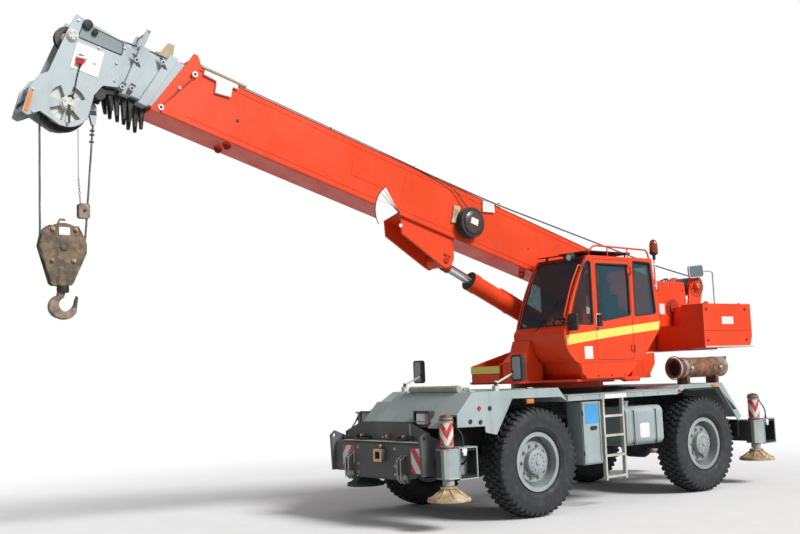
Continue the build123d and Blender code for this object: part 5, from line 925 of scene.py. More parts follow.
for side, out in SIDES.items():
    marker = on_side(Shape(), rectangle(1.691, 1.372, 1.809, 1.424, 0.01), out, 0.018)
    marker.done("side_marker_" + side, AMBER, CARRIER, bevel=0.004)
    holder = on_side(Shape(), rectangle(1.678, 1.362, 1.822, 1.433, 0.014), out, 0.008)
    holder.done("side_marker_base_" + side, PLASTIC, CARRIER, bevel=0.001)
    rear_marker = on_side(Shape(), rectangle(-1.93, 1.436, -1.83, 1.474, 0.008), out, 0.016)
    rear_marker.done("rear_marker_" + side, AMBER, CARRIER, bevel=0.003)
    strip = on_side(Shape(), rectangle(-0.007, 1.368, 0.412, 1.435, 0.004), out, 0.002)
    strip.done("blank_strip_" + side, WHITE, CARRIER)
    edge = on_side(Shape(), rectangle(-1.010, 1.427, 1.080, 1.441, 0.002), out, 0.006)
    edge.bolts([P(x, out * (HALF + 0.001), 1.403) for x in (-0.95, -0.65, -0.35, 0.50, 0.80, 1.04)],
               (0, out, 0), 0.008, 0.006)
    edge.done("deck_edge_" + side, GREY, CARRIER, bevel=0.0015)
    lip = Shape()
    arch = [(1.219, 1.432), (2.040, 1.447), (2.313, 1.038), (2.480, 1.075)]
    if out == RIGHT:
        arch = [(1.219, 1.432), (1.900, 1.440), (2.250, 1.210), (2.313, 1.038)]
    for path in (arch, REAR_ARCH):
        for a, b in zip(path, path[1:]):
            lip.rod(P(a[0], out * (HALF - 0.002), a[1]), P(b[0], out * (HALF - 0.002), b[1]), 0.009, 10)
    lip.done("arch_lips_" + side, GREY, CARRIER)
    flaps = Shape()
    flaps.prism([(-2.400, 0.940), (-2.396, 0.700), (-2.384, 0.700), (-2.388, 0.934)], 0.36,
                side_face(out * 1.05 - 0.18))
    flaps.done("mud_flap_" + side, BLACK, CARRIER, bevel=0.002)

# ================================================================ tool box, tanks and ladders
BOX_FACE = 1.233                # left face of the tool box and of the fuel tank's bands
FUEL_TANK_X = -0.356            # middle of the fuel tank
door = [(0.512, 0.572), (0.838, 0.572), (0.838, 1.336), (0.512, 1.336)]
frame_strip = side_frame(door, 0.022, LEFT, 0.010, BOX_FACE)
frame_strip.done("tool_box_frame", GREY_RIM, CARRIER, bevel=0.001)
sheet = on_side(Shape(), rectangle(0.545, 1.068, 0.790, 1.300, 0.01), LEFT, 0.0025, BOX_FACE + 0.0002)
sheet.done("tool_box_blue_sheet", BLUE, CARRIER)
catch = Shape()
on_side(catch, rectangle(0.585, 0.985, 0.705, 1.035, 0.022), LEFT, 0.010, BOX_FACE + 0.0002)
for z in (0.70, 1.20):
    catch.rod(P(0.838, 1.238, z - 0.03), P(0.838, 1.238, z + 0.03), 0.009, 14)
catch.box(P(0.645, 1.246, 1.004), (0.080, 0.006, 0.014))
catch.done("tool_box_handle", PLASTIC, CARRIER, bevel=0.0015)
bands = Shape()
for x in (FUEL_TANK_X - 0.2214, FUEL_TANK_X + 0.2214):
    on_side(bands, rectangle(x - 0.013, 0.775, x + 0.013, 1.195, 0.004), LEFT, 0.003, BOX_FACE)
    bands.rod(P(x, 1.226, 0.742), P(x, 1.226, 0.790), 0.012, 12)
bands.done("fuel_tank_bands", DARK, CARRIER, bevel=0.001)
straps = Shape()
straps.turned([(0, 0), (0, 0.056), (0.022, 0.058), (0.026, 0.050), (0.032, 0.046), (0.034, 0)],
              P(-0.116, 1.100, 1.292), (0, 0, 1), 32)
straps.done("fuel_tank_fittings", STEEL, CARRIER, bevel=0.001)
label = on_side(Shape(), rectangle(-0.440, 0.825, -0.250, 1.018, 0.030), LEFT, 0.002, 1.2302)
label.done("fuel_tank_blank_label", WHITE, CARRIER)
ends = Shape()
for x, facing in ((-0.725, -1), (0.013, 1)):
    ring_plane = plane(P(x, 0, 0), (0, 1, 0), (0, 0, 1))
    outline = rectangle(0.740, 0.740, 1.220, 1.230, 0.085, 6)
    if facing < 0:
        ring_plane = ring_plane @ Matrix.Translation((0, 0, -0.006))
    ends.ring(outline, grown(outline, -0.020), 0.006, ring_plane)
ends.done("fuel_tank_end_seams", GREY, CARRIER, bevel=0.001)
tank = Shape()
tank.turned([(0, 0), (0, 0.075), (0.05, 0.075), (0.06, 0.066), (0.06, 0)], P(-0.30, -0.95, 1.262),
            (0, 0, 1), 32)
tank.turned([(0, 0), (0, 0.045), (0.075, 0.045), (0.09, 0.032), (0.09, 0)], P(0.20, -0.98, 1.262),
            (0, 0, 1), 28)
tank.bolts([P(-0.30 + 0.062 * cos(a), -0.95 + 0.062 * sin(a), 1.312) for a in (0.5, 2.07, 3.64, 5.21)],
           (0, 0, 1), 0.007, 0.007)
tank.done("hydraulic_tank_caps", STEEL, CARRIER, bevel=0.001)
gauge = Shape()
gauge.box(P(0.55, -1.190, 1.05), (0.030, 0.010, 0.16))
gauge.bolts([P(0.55, -1.192, 0.985), P(0.55, -1.192, 1.115)], (0, -1, 0), 0.008, 0.008)
gauge.done("oil_level_gauge", LAMP, CARRIER, bevel=0.001)
returns = Shape()
for x in (-0.55, -0.45, -0.05, 0.05):
    hose(returns, [P(x, -0.85, 1.262), P(x, -0.85, 1.33), P(x + 0.05, -0.70, 1.36),
                   P(x + 0.05, -0.50, 1.30)], 0.016, 0.07)
returns.done("hydraulic_tank_hoses", HOSE, CARRIER)
for side, out in SIDES.items():
    steps = Shape()
    for z in (0.376, 0.642, 0.895, 1.143):
        for i in range(14):
            x = 0.085 + 0.340 * i / 13
            steps.box(P(x, out * 1.215, z + 0.0155), (0.010, 0.044, 0.005))
        for x in (0.062, 0.448):
            steps.bolts([P(x, out * 1.2405, z)], (0, out, 0), 0.007, 0.005)
    for x in (0.070, 0.440):
        steps.bolts([P(x, out * 1.2405, z) for z in (1.285, 1.335)], (0, out, 0), 0.010, 0.008)
    steps.done("ladder_treads_" + side, CREAM, CARRIER)
# Painted shade: a black sheet on the side face inside each rear wheel arch.
for side, out in SIDES.items():
    lip = Shape()
    lip.prism([(-1.255, 1.436), (-1.953, 1.447), (-2.370, 1.096), (-2.165, 1.096), (-1.900, 1.405),
               (-1.300, 1.405)], 0.002, side_face(HALF + 0.0002 if out == LEFT else -HALF - 0.0022))
    lip.done("rear_arch_lip_" + side, BLACK, CARRIER)

# ================================================================ under the frame: drive line, axles, brakes
AXLE_AT = {"front": 1.620, "rear": -1.620}      # x of each axle
shafts = Shape()
for x0, x1 in ((0.42, 1.38), (-0.22, -1.38)):
    start, end_point = P(x0, 0.02, 0.86), P(x1, 0, 0.70)
    along = (end_point - start).normalized()
    shafts.rod(start + 0.06 * along, end_point - 0.06 * along, 0.038, 24)
    for joint_at, back in ((start, along), (end_point, -along)):
        shafts.rod(joint_at - 0.02 * back, joint_at + 0.03 * back, 0.062, 24)
        for arm in (Vector((0, 0.055, 0)), Vector((0, 0, 0.055))):
            shafts.rod(joint_at + 0.055 * back - arm, joint_at + 0.055 * back + arm, 0.022, 16)
shafts.done("prop_shafts", DARK, CARRIER, bevel=0.001)
gearbox = Shape()
gearbox.prism([(-0.20, 0.74), (-0.10, 0.68), (0.28, 0.68), (0.40, 0.76), (0.40, 1.12), (0.20, 1.22),
               (-0.16, 1.22), (-0.20, 1.10)], 0.44, side_face(-0.22))
gearbox.rod(P(0.10, 0.219, 0.96), P(0.10, 0.262, 0.96), 0.13, 32)
gearbox.bolts([P(0.10, 0.262, 0.96) + spoke(0.105, a) for a in angles(8)], (0, 1, 0), 0.010, 0.009)
for i in range(5):
    gearbox.box(P(-0.12 + 0.09 * i, 0, 1.228), (0.018, 0.40, 0.022))
gearbox.done("transfer_gearbox", GREASE, CARRIER, bevel=0.006)
for end, x in AXLE_AT.items():
    facing = 1 if end == "rear" else -1
    trim = Shape()
    trim.bolts([P(x - facing * 0.20, 0.135 * cos(a), 0.660 + 0.135 * sin(a)) for a in angles(10)],
               (-facing, 0, 0), 0.010, 0.010)
    for out in (LEFT, RIGHT):
        trim.turned([(0, 0), (0, 0.078), (0.012, 0.084), (0.075, 0.084), (0.088, 0.070), (0.10, 0.030),
                     (0.10, 0)], P(x - facing * 0.13, out * 0.50, 0.80), (-facing, 0, 0.1), 28)
        trim.rod(P(x - facing * 0.10, out * 0.50, 0.80), P(x, out * 0.54, 0.745), 0.014, 12)
    trim.done("brake_chambers_" + end, DARK, CARRIER, bevel=0.001)
    steer_x = x + facing * 0.165
    steering = Shape()
    steering.rod(P(steer_x, -0.26, 0.70), P(steer_x, 0.26, 0.70), 0.040, 28)
    steering.rod(P(steer_x, -0.285, 0.70), P(steer_x, -0.255, 0.70), 0.048, 28)
    steering.rod(P(steer_x, 0.255, 0.70), P(steer_x, 0.285, 0.70), 0.048, 28)
    steering.box(P(x + facing * 0.125, 0, 0.70), (0.06, 0.16, 0.06))
    steering.done("steering_cylinder_" + end, DARK, CARRIER, bevel=0.001)
    rods = Shape()
    rods.rod(P(steer_x, -0.46, 0.70), P(steer_x, 0.46, 0.70), 0.020, 20)
    rods.done("steering_rod_" + end, CHROME, CARRIER)
    lines = Shape()
    for out in (LEFT, RIGHT):
        hose(lines, [P(steer_x, out * 0.22, 0.74), P(steer_x, out * 0.22, 0.86),
                     P(x + facing * 0.20, out * 0.30, 0.95), P(x + facing * 0.22, out * 0.335, 1.06)],
             0.010, 0.06)
        hose(lines, [P(x - facing * 0.20, out * 0.50, 0.86), P(x - facing * 0.22, out * 0.50, 0.95),
                     P(x - facing * 0.24, out * 0.42, 1.02), P(x - facing * 0.24, out * 0.345, 1.12)],
             0.008, 0.06)
    lines.done("axle_hoses_" + end, HOSE, CARRIER)
air = Shape()
for x in (-0.62, -0.30):
    air.turned([(0, 0), (0.0, 0.05), (0.03, 0.095), (0.05, 0.10), (0.23, 0.10), (0.25, 0.095), (0.28, 0.05),
                (0.28, 0)], P(x, -0.56, 0.78), (1, 0, 0), 36)
    for dx in (0.08, 0.20):
        air.lathe([(0, 0.1005), (0, 0.104), (0.02, 0.104), (0.02, 0.1005)], P(x + dx, -0.56, 0.78),
                  (1, 0, 0), 36)
        air.box(P(x + dx + 0.01, -0.52, 0.885), (0.03, 0.12, 0.02))
air.done("air_reservoirs", DARK, CARRIER, bevel=0.001)
frame_bits = Shape()
for out in (LEFT, RIGHT):
    face_y = out * 0.4555
    frame_bits.bolts([P(x, face_y, z) for x in (-2.75, -2.55, -0.95, -0.75, 0.95, 1.10, 2.30, 2.44)
                      for z in (1.00, 1.22, 1.38)], (0, out, 0), 0.011, 0.010)
frame_bits.done("frame_bolts", STEEL, CARRIER)
loom = Shape()
for k in range(5):
    y = 0.475
    z = 1.30 - 0.032 * k
    loom.pipe([P(-2.40, y, z), P(-1.10, y, z + 0.01), P(0.30, y, z - 0.008), P(1.30, y, z + 0.006),
               P(2.40, y, z)], 0.009, 8, 0.1)
for x in (-2.2, -1.5, -0.8, -0.1, 0.6, 1.3, 2.0):
    loom.box(P(x, 0.470, 1.237), (0.022, 0.032, 0.165))
loom.done("frame_hoses_left", HOSE, CARRIER)

# ================================================================ silencer
SILENCER_Y, SILENCER_Z = 1.095, 1.718   # axis of the silencer
guard = Shape()
hoop = [P(-1.190, SILENCER_Y + 0.160 * cos(a), SILENCER_Z + 0.160 * sin(a)) for a in angles(40) + [2 * pi]]
guard.pipe([p + Vector((-0.03, 0, 0)) for p in hoop], 0.007, 10)
for a in (pi / 4, 3 * pi / 4, 5 * pi / 4, 7 * pi / 4):
    rim_point = Vector((0, 0.158 * cos(a), 0.158 * sin(a)))
    guard.rod(P(-1.300, SILENCER_Y, SILENCER_Z) + 0.92 * rim_point,
              P(-1.216, SILENCER_Y, SILENCER_Z) + rim_point, 0.006, 10)
guard.done("silencer_guard", RED_PAINTED_SHADE, CARRIER)
mouth = Shape().turned([(0, 0), (0, 0.112), (0.004, 0.112), (0.004, 0)], P(-1.268, SILENCER_Y, SILENCER_Z),
                       (1, 0, 0), 36)
mouth.done("silencer_mouth", BLACK, CARRIER)
sleeves = Shape()
for x0, x1 in ((-1.300, -1.455), (-2.085, -2.250)):
    sleeves.lathe([(0, 0.1412), (0, 0.1432), (abs(x1 - x0), 0.1432), (abs(x1 - x0), 0.1412)],
                  P(x1, SILENCER_Y, SILENCER_Z), (1, 0, 0), 56)
sleeves.done("silencer_sleeves", HEATED, CARRIER)
ends = Shape()
ends.lathe([(0, 0.1405), (0, 0.1445), (0.035, 0.1445), (0.035, 0.1405)], P(-1.228, SILENCER_Y, SILENCER_Z),
           (1, 0, 0), 48)
ends.turned([(-0.004, 0), (-0.004, 0.095), (0.0, 0.10), (0.0, 0.0)], P(-2.281, SILENCER_Y, SILENCER_Z),
            (1, 0, 0), 40)
for x in (-1.400, -2.050):
    ends.rod(P(x, SILENCER_Y + 0.150, SILENCER_Z), P(x, SILENCER_Y + 0.175, SILENCER_Z), 0.010, 12)
    ends.box(P(x, SILENCER_Y + 0.158, SILENCER_Z), (0.050, 0.022, 0.030))
ends.done("silencer_ends", PALE, CARRIER, bevel=0.001)
stack = Shape()
stack.pipe([P(-2.24, SILENCER_Y, 1.73), P(-2.335, SILENCER_Y, 1.73), P(-2.335, SILENCER_Y, 1.86)], 0.045,
           24, 0.09)
stack.lathe([(0, 0.0455), (0, 0.050), (0.02, 0.050), (0.02, 0.0455)], P(-2.335, SILENCER_Y, 1.84),
            (0, 0, 1), 32)
stack.done("exhaust_outlet", RUST, CARRIER)

# ================================================================ mirrors on the front deck
MIRROR_FOOT = {"left": 2.240, "right": 1.790}
MIRROR_REACH = 0.322            # from the foot back to the middle of the head
for side, foot_x in MIRROR_FOOT.items():
    out = SIDES[side]
    head_x, head_y, head_z = foot_x - MIRROR_REACH, out * 1.245, 1.802
    facing = plane(P(head_x - 0.0285, head_y, head_z), (0, -1, 0), (0, 0, 1))
    glass = Shape().prism(rectangle(-0.078, -0.142, 0.078, 0.142, 0.030), 0.003, facing)
    glass.done("deck_mirror_glass_" + side, MIRROR, CARRIER)
    back = plane(P(head_x + 0.0285, head_y, head_z), (0, 1, 0), (0, 0, 1))
    panel = Shape().prism(rectangle(-0.070, -0.134, 0.070, 0.134, 0.026), 0.003, back)
    panel.done("deck_mirror_panel_" + side, GREY_RIM, CARRIER)
    post = Shape()
    post.rod(P(foot_x - 0.005, out * 1.180, 1.600), P(foot_x - 0.005, out * 1.180, 1.660), 0.016, 20)
    post.done("deck_mirror_post_" + side, CREAM, CARRIER)
    edge = Shape().ring(rectangle(-0.093, -0.158, 0.093, 0.158, 0.038),
                        rectangle(-0.077, -0.141, 0.077, 0.141, 0.029), 0.006, facing)
    edge.done("deck_mirror_rim_" + side, PLASTIC, CARRIER, bevel=0.0015)
    clamp = Shape()
    clamp.box(P(foot_x - 0.316, out * 1.180, 1.812), (0.040, 0.044, 0.055))
    clamp.lathe([(0, 0.0135), (0, 0.020), (0.05, 0.020), (0.05, 0.0135)],
                P(foot_x - 0.005, out * 1.180, 1.592), (0, 0, 1), 20)
    clamp.bolts([P(foot_x + dx, out * (1.18 + dy), 1.6) for dx in (-0.021, 0.021)
                 for dy in (-0.021, 0.021)], (0, 0, 1), 0.006, 0.006)
    clamp.done("deck_mirror_clamps_" + side, PLASTIC, CARRIER, bevel=0.0015)

mirror_data = nodes["mirrors"].data
mirror_data.materials.append(CREAM)
for face in mirror_data.polygons:
    middle = nodes["mirrors"].matrix_world @ face.center - P(0, 0, 0)
    head_x = MIRROR_FOOT["left" if middle.y > 0 else "right"] - MIRROR_REACH
    face.material_index = int(middle.x > head_x + 0.045)

# ================================================================ superstructure
TOP = "superstructure"
LUFF_X, LUFF_Z = -2.330, 2.620          # the boom's foot pin
LIFT_X, LIFT_Z = -1.300, 1.690          # the lift cylinder's foot pin
MOTOR_X, MOTOR_Y = 0.30, -0.62          # the slewing motor
stripe = Shape().prism(rectangle(-0.300, 1.742, 0.270, 1.838, 0.004), 0.0025, front_face(1.3205))
stripe.done("nose_yellow_stripe", YELLOW, TOP)
nose = Shape()
nose.ring(rectangle(-0.284, 1.604, 0.284, 1.842, 0.01), rectangle(-0.262, 1.622, 0.262, 1.735, 0.01), 0.002,
          front_face(1.3203))
nose.bolts([P(1.322, y, z) for y in (-0.272, 0.272) for z in (1.62, 1.68)], (1, 0, 0), 0.009, 0.008)
nose.bolts([P(1.322, y, 1.613) for y in (-0.18, -0.06, 0.06, 0.18)], (1, 0, 0), 0.009, 0.008)
nose.done("nose_box_frame", RED_PAINTED_SHADE, TOP, bevel=0.001)
rings = Shape()
spots = [P(0.600 * cos(a), 0.600 * sin(a), 1.630) for a in angles(36, 0.5)]
CHEEK_SIDE, CAB_SIDE, CAB_BACK = 0.275, 0.30, -0.37     # the bolts under the cheeks and the cab are left out
rings.bolts([p for p in spots if abs(p.y) > CHEEK_SIDE and not (p.y > CAB_SIDE and p.x - SLEW_X > CAB_BACK)],
            (0, 0, 1), 0.015, 0.016)
rings.done("slew_ring_bolts", STEEL, TOP)
pivot = Shape()
for out in (LEFT, RIGHT):
    pivot.turned([(0, 0), (0, 0.082), (0.010, 0.086), (0.016, 0.080), (0.016, 0)],
                 P(LUFF_X, out * 0.2775, LUFF_Z), (0, out, 0), 36)
    pivot.bolts([P(LUFF_X, out * 0.293, LUFF_Z) + spoke(0.062, a) for a in angles(6)],
                (0, out, 0), 0.009, 0.008)
    pivot.lathe([(0, 0.084), (0, 0.145), (0.012, 0.145), (0.012, 0.084)], P(LUFF_X, out * 0.2585, LUFF_Z),
                (0, out, 0), 48)
    pivot.turned([(0, 0), (0, 0.070), (0.012, 0.074), (0.012, 0)], P(LIFT_X, out * 0.2675, LIFT_Z),
                 (0, out, 0), 36)
    pivot.lathe([(0, 0.052), (0, 0.110), (0.008, 0.110), (0.008, 0.052)], P(LIFT_X, out * 0.2585, LIFT_Z),
                (0, out, 0), 48)
    pivot.bolts([P(x, out * 0.2585, z) for x, z in ((-2.60, 2.90), (-2.60, 2.62), (-2.60, 2.34),
                                                    (-2.0, 2.90), (-1.75, 2.66), (-1.60, 2.30),
                                                    (-1.50, 1.92), (-0.86, 2.20), (-0.10, 2.06),
                                                    (0.50, 1.95), (-0.90, 1.66), (0.40, 1.66))],
                (0, out, 0), 0.012, 0.011)
pivot.done("cheek_pins_and_bolts", RED_PAINTED_SHADE, TOP, bevel=0.001)
welds = Shape()
cheek = [(1.300, 1.845), (0.570, 2.030), (-0.900, 2.300), (-1.560, 2.560), (-1.960, 3.020), (-2.640, 3.020)]
for out in (LEFT, RIGHT):
    for a, b in zip(cheek, cheek[1:]):
        welds.rod(P(a[0], out * 0.243, a[1] + 0.002), P(b[0], out * 0.243, b[1] + 0.002), 0.013, 10)
welds.done("cheek_edge_bead", RED, TOP)
lines = Shape()
for k in range(6):
    offset_z = 0.030 * k
    lines.pipe([P(-2.10, -0.276, 2.30 - offset_z), P(-1.45, -0.276, 2.12 - offset_z),
                P(-0.60, -0.276, 1.98 - offset_z), P(0.30, -0.276, 1.86 - 0.8 * offset_z)], 0.010, 8, 0.15)
for x, z in ((-1.9, 2.16), (-1.1, 1.98), (-0.3, 1.86)):
    lines.box(P(x, -0.272, z), (0.03, 0.036, 0.20))
lines.done("platform_hoses_right", HOSE, TOP)
motor = Shape()
motor.rod(P(MOTOR_X, MOTOR_Y, 1.630), P(MOTOR_X, MOTOR_Y, 1.800), 0.105, 32)
motor.rod(P(MOTOR_X, MOTOR_Y, 1.800), P(MOTOR_X, MOTOR_Y, 1.822), 0.125, 32)
motor.bolts([P(MOTOR_X + 0.108 * cos(a), MOTOR_Y + 0.108 * sin(a), 1.822) for a in angles(8)], (0, 0, 1),
            0.008, 0.010)
motor.box(P(MOTOR_X, MOTOR_Y, 1.900), (0.11, 0.11, 0.155))
motor.box(P(MOTOR_X, MOTOR_Y, 1.990), (0.07, 0.15, 0.05))
motor.done("slew_motor", GREASE, TOP, bevel=0.003)
feed = Shape()
hose(feed, [P(0.30, -0.55, 1.990), P(0.30, -0.44, 1.99), P(0.18, -0.34, 1.93), P(-0.05, -0.285, 1.87)],
     0.014, 0.09)
hose(feed, [P(0.30, -0.69, 1.990), P(0.24, -0.76, 1.99), P(0.0, -0.72, 1.80), P(-0.30, -0.50, 1.66)], 0.014,
     0.09)
feed.done("slew_motor_hoses", HOSE, TOP)
bank = Shape()
bank.box(P(-0.42, -0.62, 1.715), (0.30, 0.34, 0.15))
for i in range(5):
    bank.rod(P(-0.52 + 0.05 * i, -0.79, 1.72), P(-0.52 + 0.05 * i, -0.845, 1.72), 0.019, 16)
    bank.rod(P(-0.52 + 0.05 * i, -0.45, 1.72), P(-0.52 + 0.05 * i, -0.395, 1.72), 0.019, 16)
    bank.rod(P(-0.52 + 0.05 * i, -0.62, 1.79), P(-0.52 + 0.05 * i, -0.62, 1.825), 0.014, 6)
bank.done("valve_bank", GREASE, TOP, bevel=0.003)
plates = Shape()
for out in (LEFT, RIGHT):
    outline = [(-1.278, 1.958), (-1.190, 1.958), (-0.915, 1.940), (-0.900, 1.925), (-0.912, 1.925),
               (-1.185, 1.945), (-1.278, 1.945)]
    on_side(plates, outline, out, 0.004, 0.7005)
plates.done("back_plate_edges", PALE, TOP)

# ---------------------------------------------------------------- counterweight and winch
weight = Shape()
for out in (LEFT, RIGHT):
    weight.box(P(-2.478, out * 0.71, 2.004), (1.16, 0.86, 0.020))
weight.done("counterweight_base_strip", PALE, TOP, bevel=0.001)
seams = Shape()
for out in (LEFT, RIGHT):
    on_side(seams, [(-2.975, 2.235), (-1.90, 2.235), (-1.90, 2.243), (-2.975, 2.243)], out, 0.002, 1.130)
    seams.bolts([P(x, out * 1.130, z) for x in (-2.90, -1.97) for z in (2.10, 2.55)], (0, out, 0), 0.017,
                0.015)
    seams.bolts([P(x, out * y, 2.630) for x in (-2.90, -2.05) for y in (0.40, 1.03)], (0, 0, 1), 0.020, 0.018)
    seams.lathe([(-0.014, 0.0235), (-0.014, 0.034), (0.014, 0.034), (0.014, 0.0235)],
                P(-2.560, out * 0.700, 2.650), (0, 1, 0), 28)
seams.done("counterweight_bolts", RED_PAINTED_SHADE, TOP, bevel=0.001)
plate = Shape()
for out in (LEFT, RIGHT):
    on_side(plate, rectangle(-2.60, 2.33, -2.32, 2.44, 0.012), out, 0.003, 1.130)
plate.done("counterweight_blank_plate", WHITE, TOP)
tail = Shape()
tail.prism(rectangle(-0.96, 2.10, -0.62, 2.19, 0.01), 0.006, front_face(-3.069))
tail.prism(rectangle(0.62, 2.10, 0.96, 2.19, 0.01), 0.006, front_face(-3.069))
tail.done("tail_reflectors", striped("hazard_stripes_rear", SHEET_WHITE, SHEET_RED, (0, 0.72, 0.70), 0.12),
          TOP)
WINCH = P(-3.000, 0, 2.985)
drum = Shape()
coil = []
WINCH_TURNS, WINCH_STEPS = 15, 24               # of the rope's layer, and points to a turn
for i in range(WINCH_TURNS * WINCH_STEPS + 1):
    across = -0.170 + 0.340 * i / (WINCH_TURNS * WINCH_STEPS)
    coil.append(WINCH + spoke(0.130, 2 * pi * i / WINCH_STEPS) + Vector((0, across, 0)))
drum.pipe(coil, 0.0112, 8)
drum.done("winch_rope_layer", ROPE, TOP)
for side, out in SIDES.items():
    face = WINCH + Vector((0, out * 0.215, 0))
    trim = Shape()
    trim.lathe([(0, 0.152), (0, 0.168), (0.006, 0.168), (0.006, 0.152)], face, (0, out, 0), 56)
    trim.lathe([(0.035, 0.030), (0.035, 0.070), (0.046, 0.066), (0.050, 0.058), (0.050, 0.030)], face,
               (0, out, 0), 40)
    trim.bolts([face + spoke(0.118, a) for a in angles(8)], (0, out, 0), 0.010, 0.010)
    trim.bolts([P(x, out * 0.2155, 2.675) for x in (-3.03, -2.90, -2.80)], (0, out, 0), 0.011, 0.010)
    trim.done("winch_plate_trim_" + side, RED_PAINTED_SHADE, TOP, bevel=0.001)
    holes = Shape()
    for a in angles(8, 0.5):
        holes.rod(face + spoke(0.118, a), face + spoke(0.118, a) + Vector((0, out * 0.0015, 0)),
                  0.017, 20)
    holes.done("winch_plate_holes_" + side, BLACK, TOP)
    centre = Shape().turned([(0, 0), (0.0, 0.040), (0.010, 0.042), (0.020, 0.030), (0.022, 0)],
                            face + Vector((0, out * 0.036, 0)), (0, out, 0), 32)
    centre.done("winch_centre_" + side, GOLD, TOP)
motor = Shape()
motor.rod(WINCH + Vector((0, -0.250, 0)), WINCH + Vector((0, -0.330, 0)), 0.058, 28)
motor.box(WINCH + Vector((0, -0.345, 0)), (0.11, 0.04, 0.11))
for x in (0.03, -0.03):
    motor.rod(WINCH + Vector((x, -0.345, 0.055)), WINCH + Vector((x, -0.345, 0.095)), 0.014, 6)
motor.done("winch_motor", GREASE, TOP, bevel=0.003)
feed = Shape()
for dx in (0.03, -0.03):
    hose(feed, [WINCH + Vector((dx, -0.345, 0.09)), WINCH + Vector((dx, -0.345, 0.17)),
                WINCH + Vector((0.20, -0.33 + dx, 0.12)), WINCH + Vector((0.30, -0.30 + dx, -0.10)),
                WINCH + Vector((0.33, -0.285 + dx, -0.30))], 0.012, 0.08)
feed.done("winch_hoses", HOSE, TOP)

# ================================================================ cab
CAB_MIDDLE = 0.785              # y of the cab's middle plane
SEAT_X = 0.060                  # x of the seat's middle from the slewing axis
BEACON_X, BEACON_Y = -0.895, 1.120      # the pole of the rotating beacon
PEDAL_TURN = Matrix.Rotation(radians(-30), 4, "Y")
gaskets = Shape()
QUARTER = [(0.545, 2.326), (0.978, 2.338), (0.868, 2.640), (0.672, 3.078), (0.618, 3.142), (0.545, 3.142)]
REAR_SIDE = [(-0.282, 2.438), (-0.290, 3.170), (-0.640, 3.157), (-0.708, 2.476)]
DOOR_PANE = [(-0.185, 2.448), (0.357, 2.372), (0.357, 2.466), (0.445, 2.466), (0.445, 3.117), (-0.185, 3.117)]
for outline in (QUARTER, REAR_SIDE):
    shape_outline = soften(outline, 0.030)
    gaskets.ring(grown(shape_outline, 0.010), grown(shape_outline, -0.008), 0.005, side_face(HALF))
    gaskets.ring(grown(shape_outline, 0.010), grown(shape_outline, -0.008), 0.005, side_face(0.325))
gaskets.done("cab_window_gaskets", BLACK, TOP, bevel=0.0015)
pane = soften(DOOR_PANE, 0.026)
inside = []
for i, (x, z) in enumerate(pane):
    before, after = Vector(pane[i - 1]), Vector(pane[(i + 1) % len(pane)])
    along = (after - before).normalized()
    inside.append((x - 0.009 * along.y, z + 0.009 * along.x))
outside = [(2 * x - ix, 2 * z - iz) for (x, z), (ix, iz) in zip(pane, inside)]
door_gasket = Shape().ring(outside, inside, 0.005, side_face(HALF + 0.0002))
door_gasket.done("door_window_gasket", BLACK, "cab_door", bevel=0.001)
seam = Shape().ring(rectangle(-0.2195, 1.8625, 0.4995, 3.1775, 0.028),
                    rectangle(-0.2145, 1.8675, 0.4945, 3.1725, 0.026), 0.010, side_face(HALF - 0.010))
seam.done("door_seal", BLACK, TOP)


def on_screen(t, lift=0.0):
    """A place on the windscreen's curve, t from 0 at its foot to 1 at its top."""
    a, b, c = Vector((1.050, 2.290)), Vector((0.850, 2.800)), Vector((0.590, 3.222))
    point = (1 - t) * (1 - 2 * t) * a + 4 * t * (1 - t) * b + t * (2 * t - 1) * c
    slope_now = ((4 * t - 3) * a + (4 - 8 * t) * b + (4 * t - 1) * c).normalized()
    normal = Vector((slope_now.y, -slope_now.x))
    return point + lift * normal


screen_frame = Shape()
steps = 22
t0, t1 = 0.02, 0.985
for y0, y1 in ((0.365, 0.379), (1.191, 1.205)):
    rows = []
    for i in range(steps + 1):
        t = t0 + (t1 - t0) * i / steps
        low, high = on_screen(t, -0.004), on_screen(t, 0.006)
        rows.append([P(low.x, y0, low.y), P(low.x, y1, low.y), P(high.x, y1, high.y), P(high.x, y0, high.y)])
    verts = [v for row in rows for v in row]
    faces = [(0, 1, 2, 3), tuple(4 * steps + k for k in (3, 2, 1, 0))]
    for i in range(steps):
        for k in range(4):
            faces.append((4 * i + k, 4 * i + (k + 1) % 4, 4 * i + 4 + (k + 1) % 4, 4 * i + 4 + k))
    screen_frame.solid(verts, faces)
for t0, t1 in ((0.018, 0.034), (0.965, 0.985)):
    a, b = on_screen(t0, 0.006), on_screen(t1, 0.006)
    c, d = on_screen(t1, -0.004), on_screen(t0, -0.004)
    screen_frame.prism([a, b, c, d], 0.840, side_face(0.365))
screen_frame.done("windscreen_gasket", BLACK, TOP, bevel=0.0015)
wiper = Shape()
pivot_at, tip_at = P(1.062, 0.728, 2.262), P(0.925, 1.003, 2.640)
wiper.rod(pivot_at + Vector((-0.03, 0, 0)), pivot_at + Vector((0.014, 0, 0)), 0.017, 20)
wiper.pipe([pivot_at, pivot_at + Vector((0.006, 0.06, 0.09)), P(0.985, 0.90, 2.515)], 0.007, 8, 0.05)
blade = [P(1.010, 0.80, 2.385) + Vector((0.012, 0, 0.004)),
         P(0.975, 0.90, 2.515) + Vector((0.016, 0, 0.004)), tip_at]
wiper.pipe(blade, 0.009, 8, 0.05)
wiper.done("wiper", BLACK, TOP)
stripe = Shape()
band = [(-0.778, 2.366), (-0.220, 2.312), (-0.220, 2.203), (-0.745, 2.252)]
band_front = [(0.500, 2.243), (1.060, 2.189), (1.040, 2.065), (0.500, 2.128)]
stripe.prism(band, 0.0022, side_face(HALF))
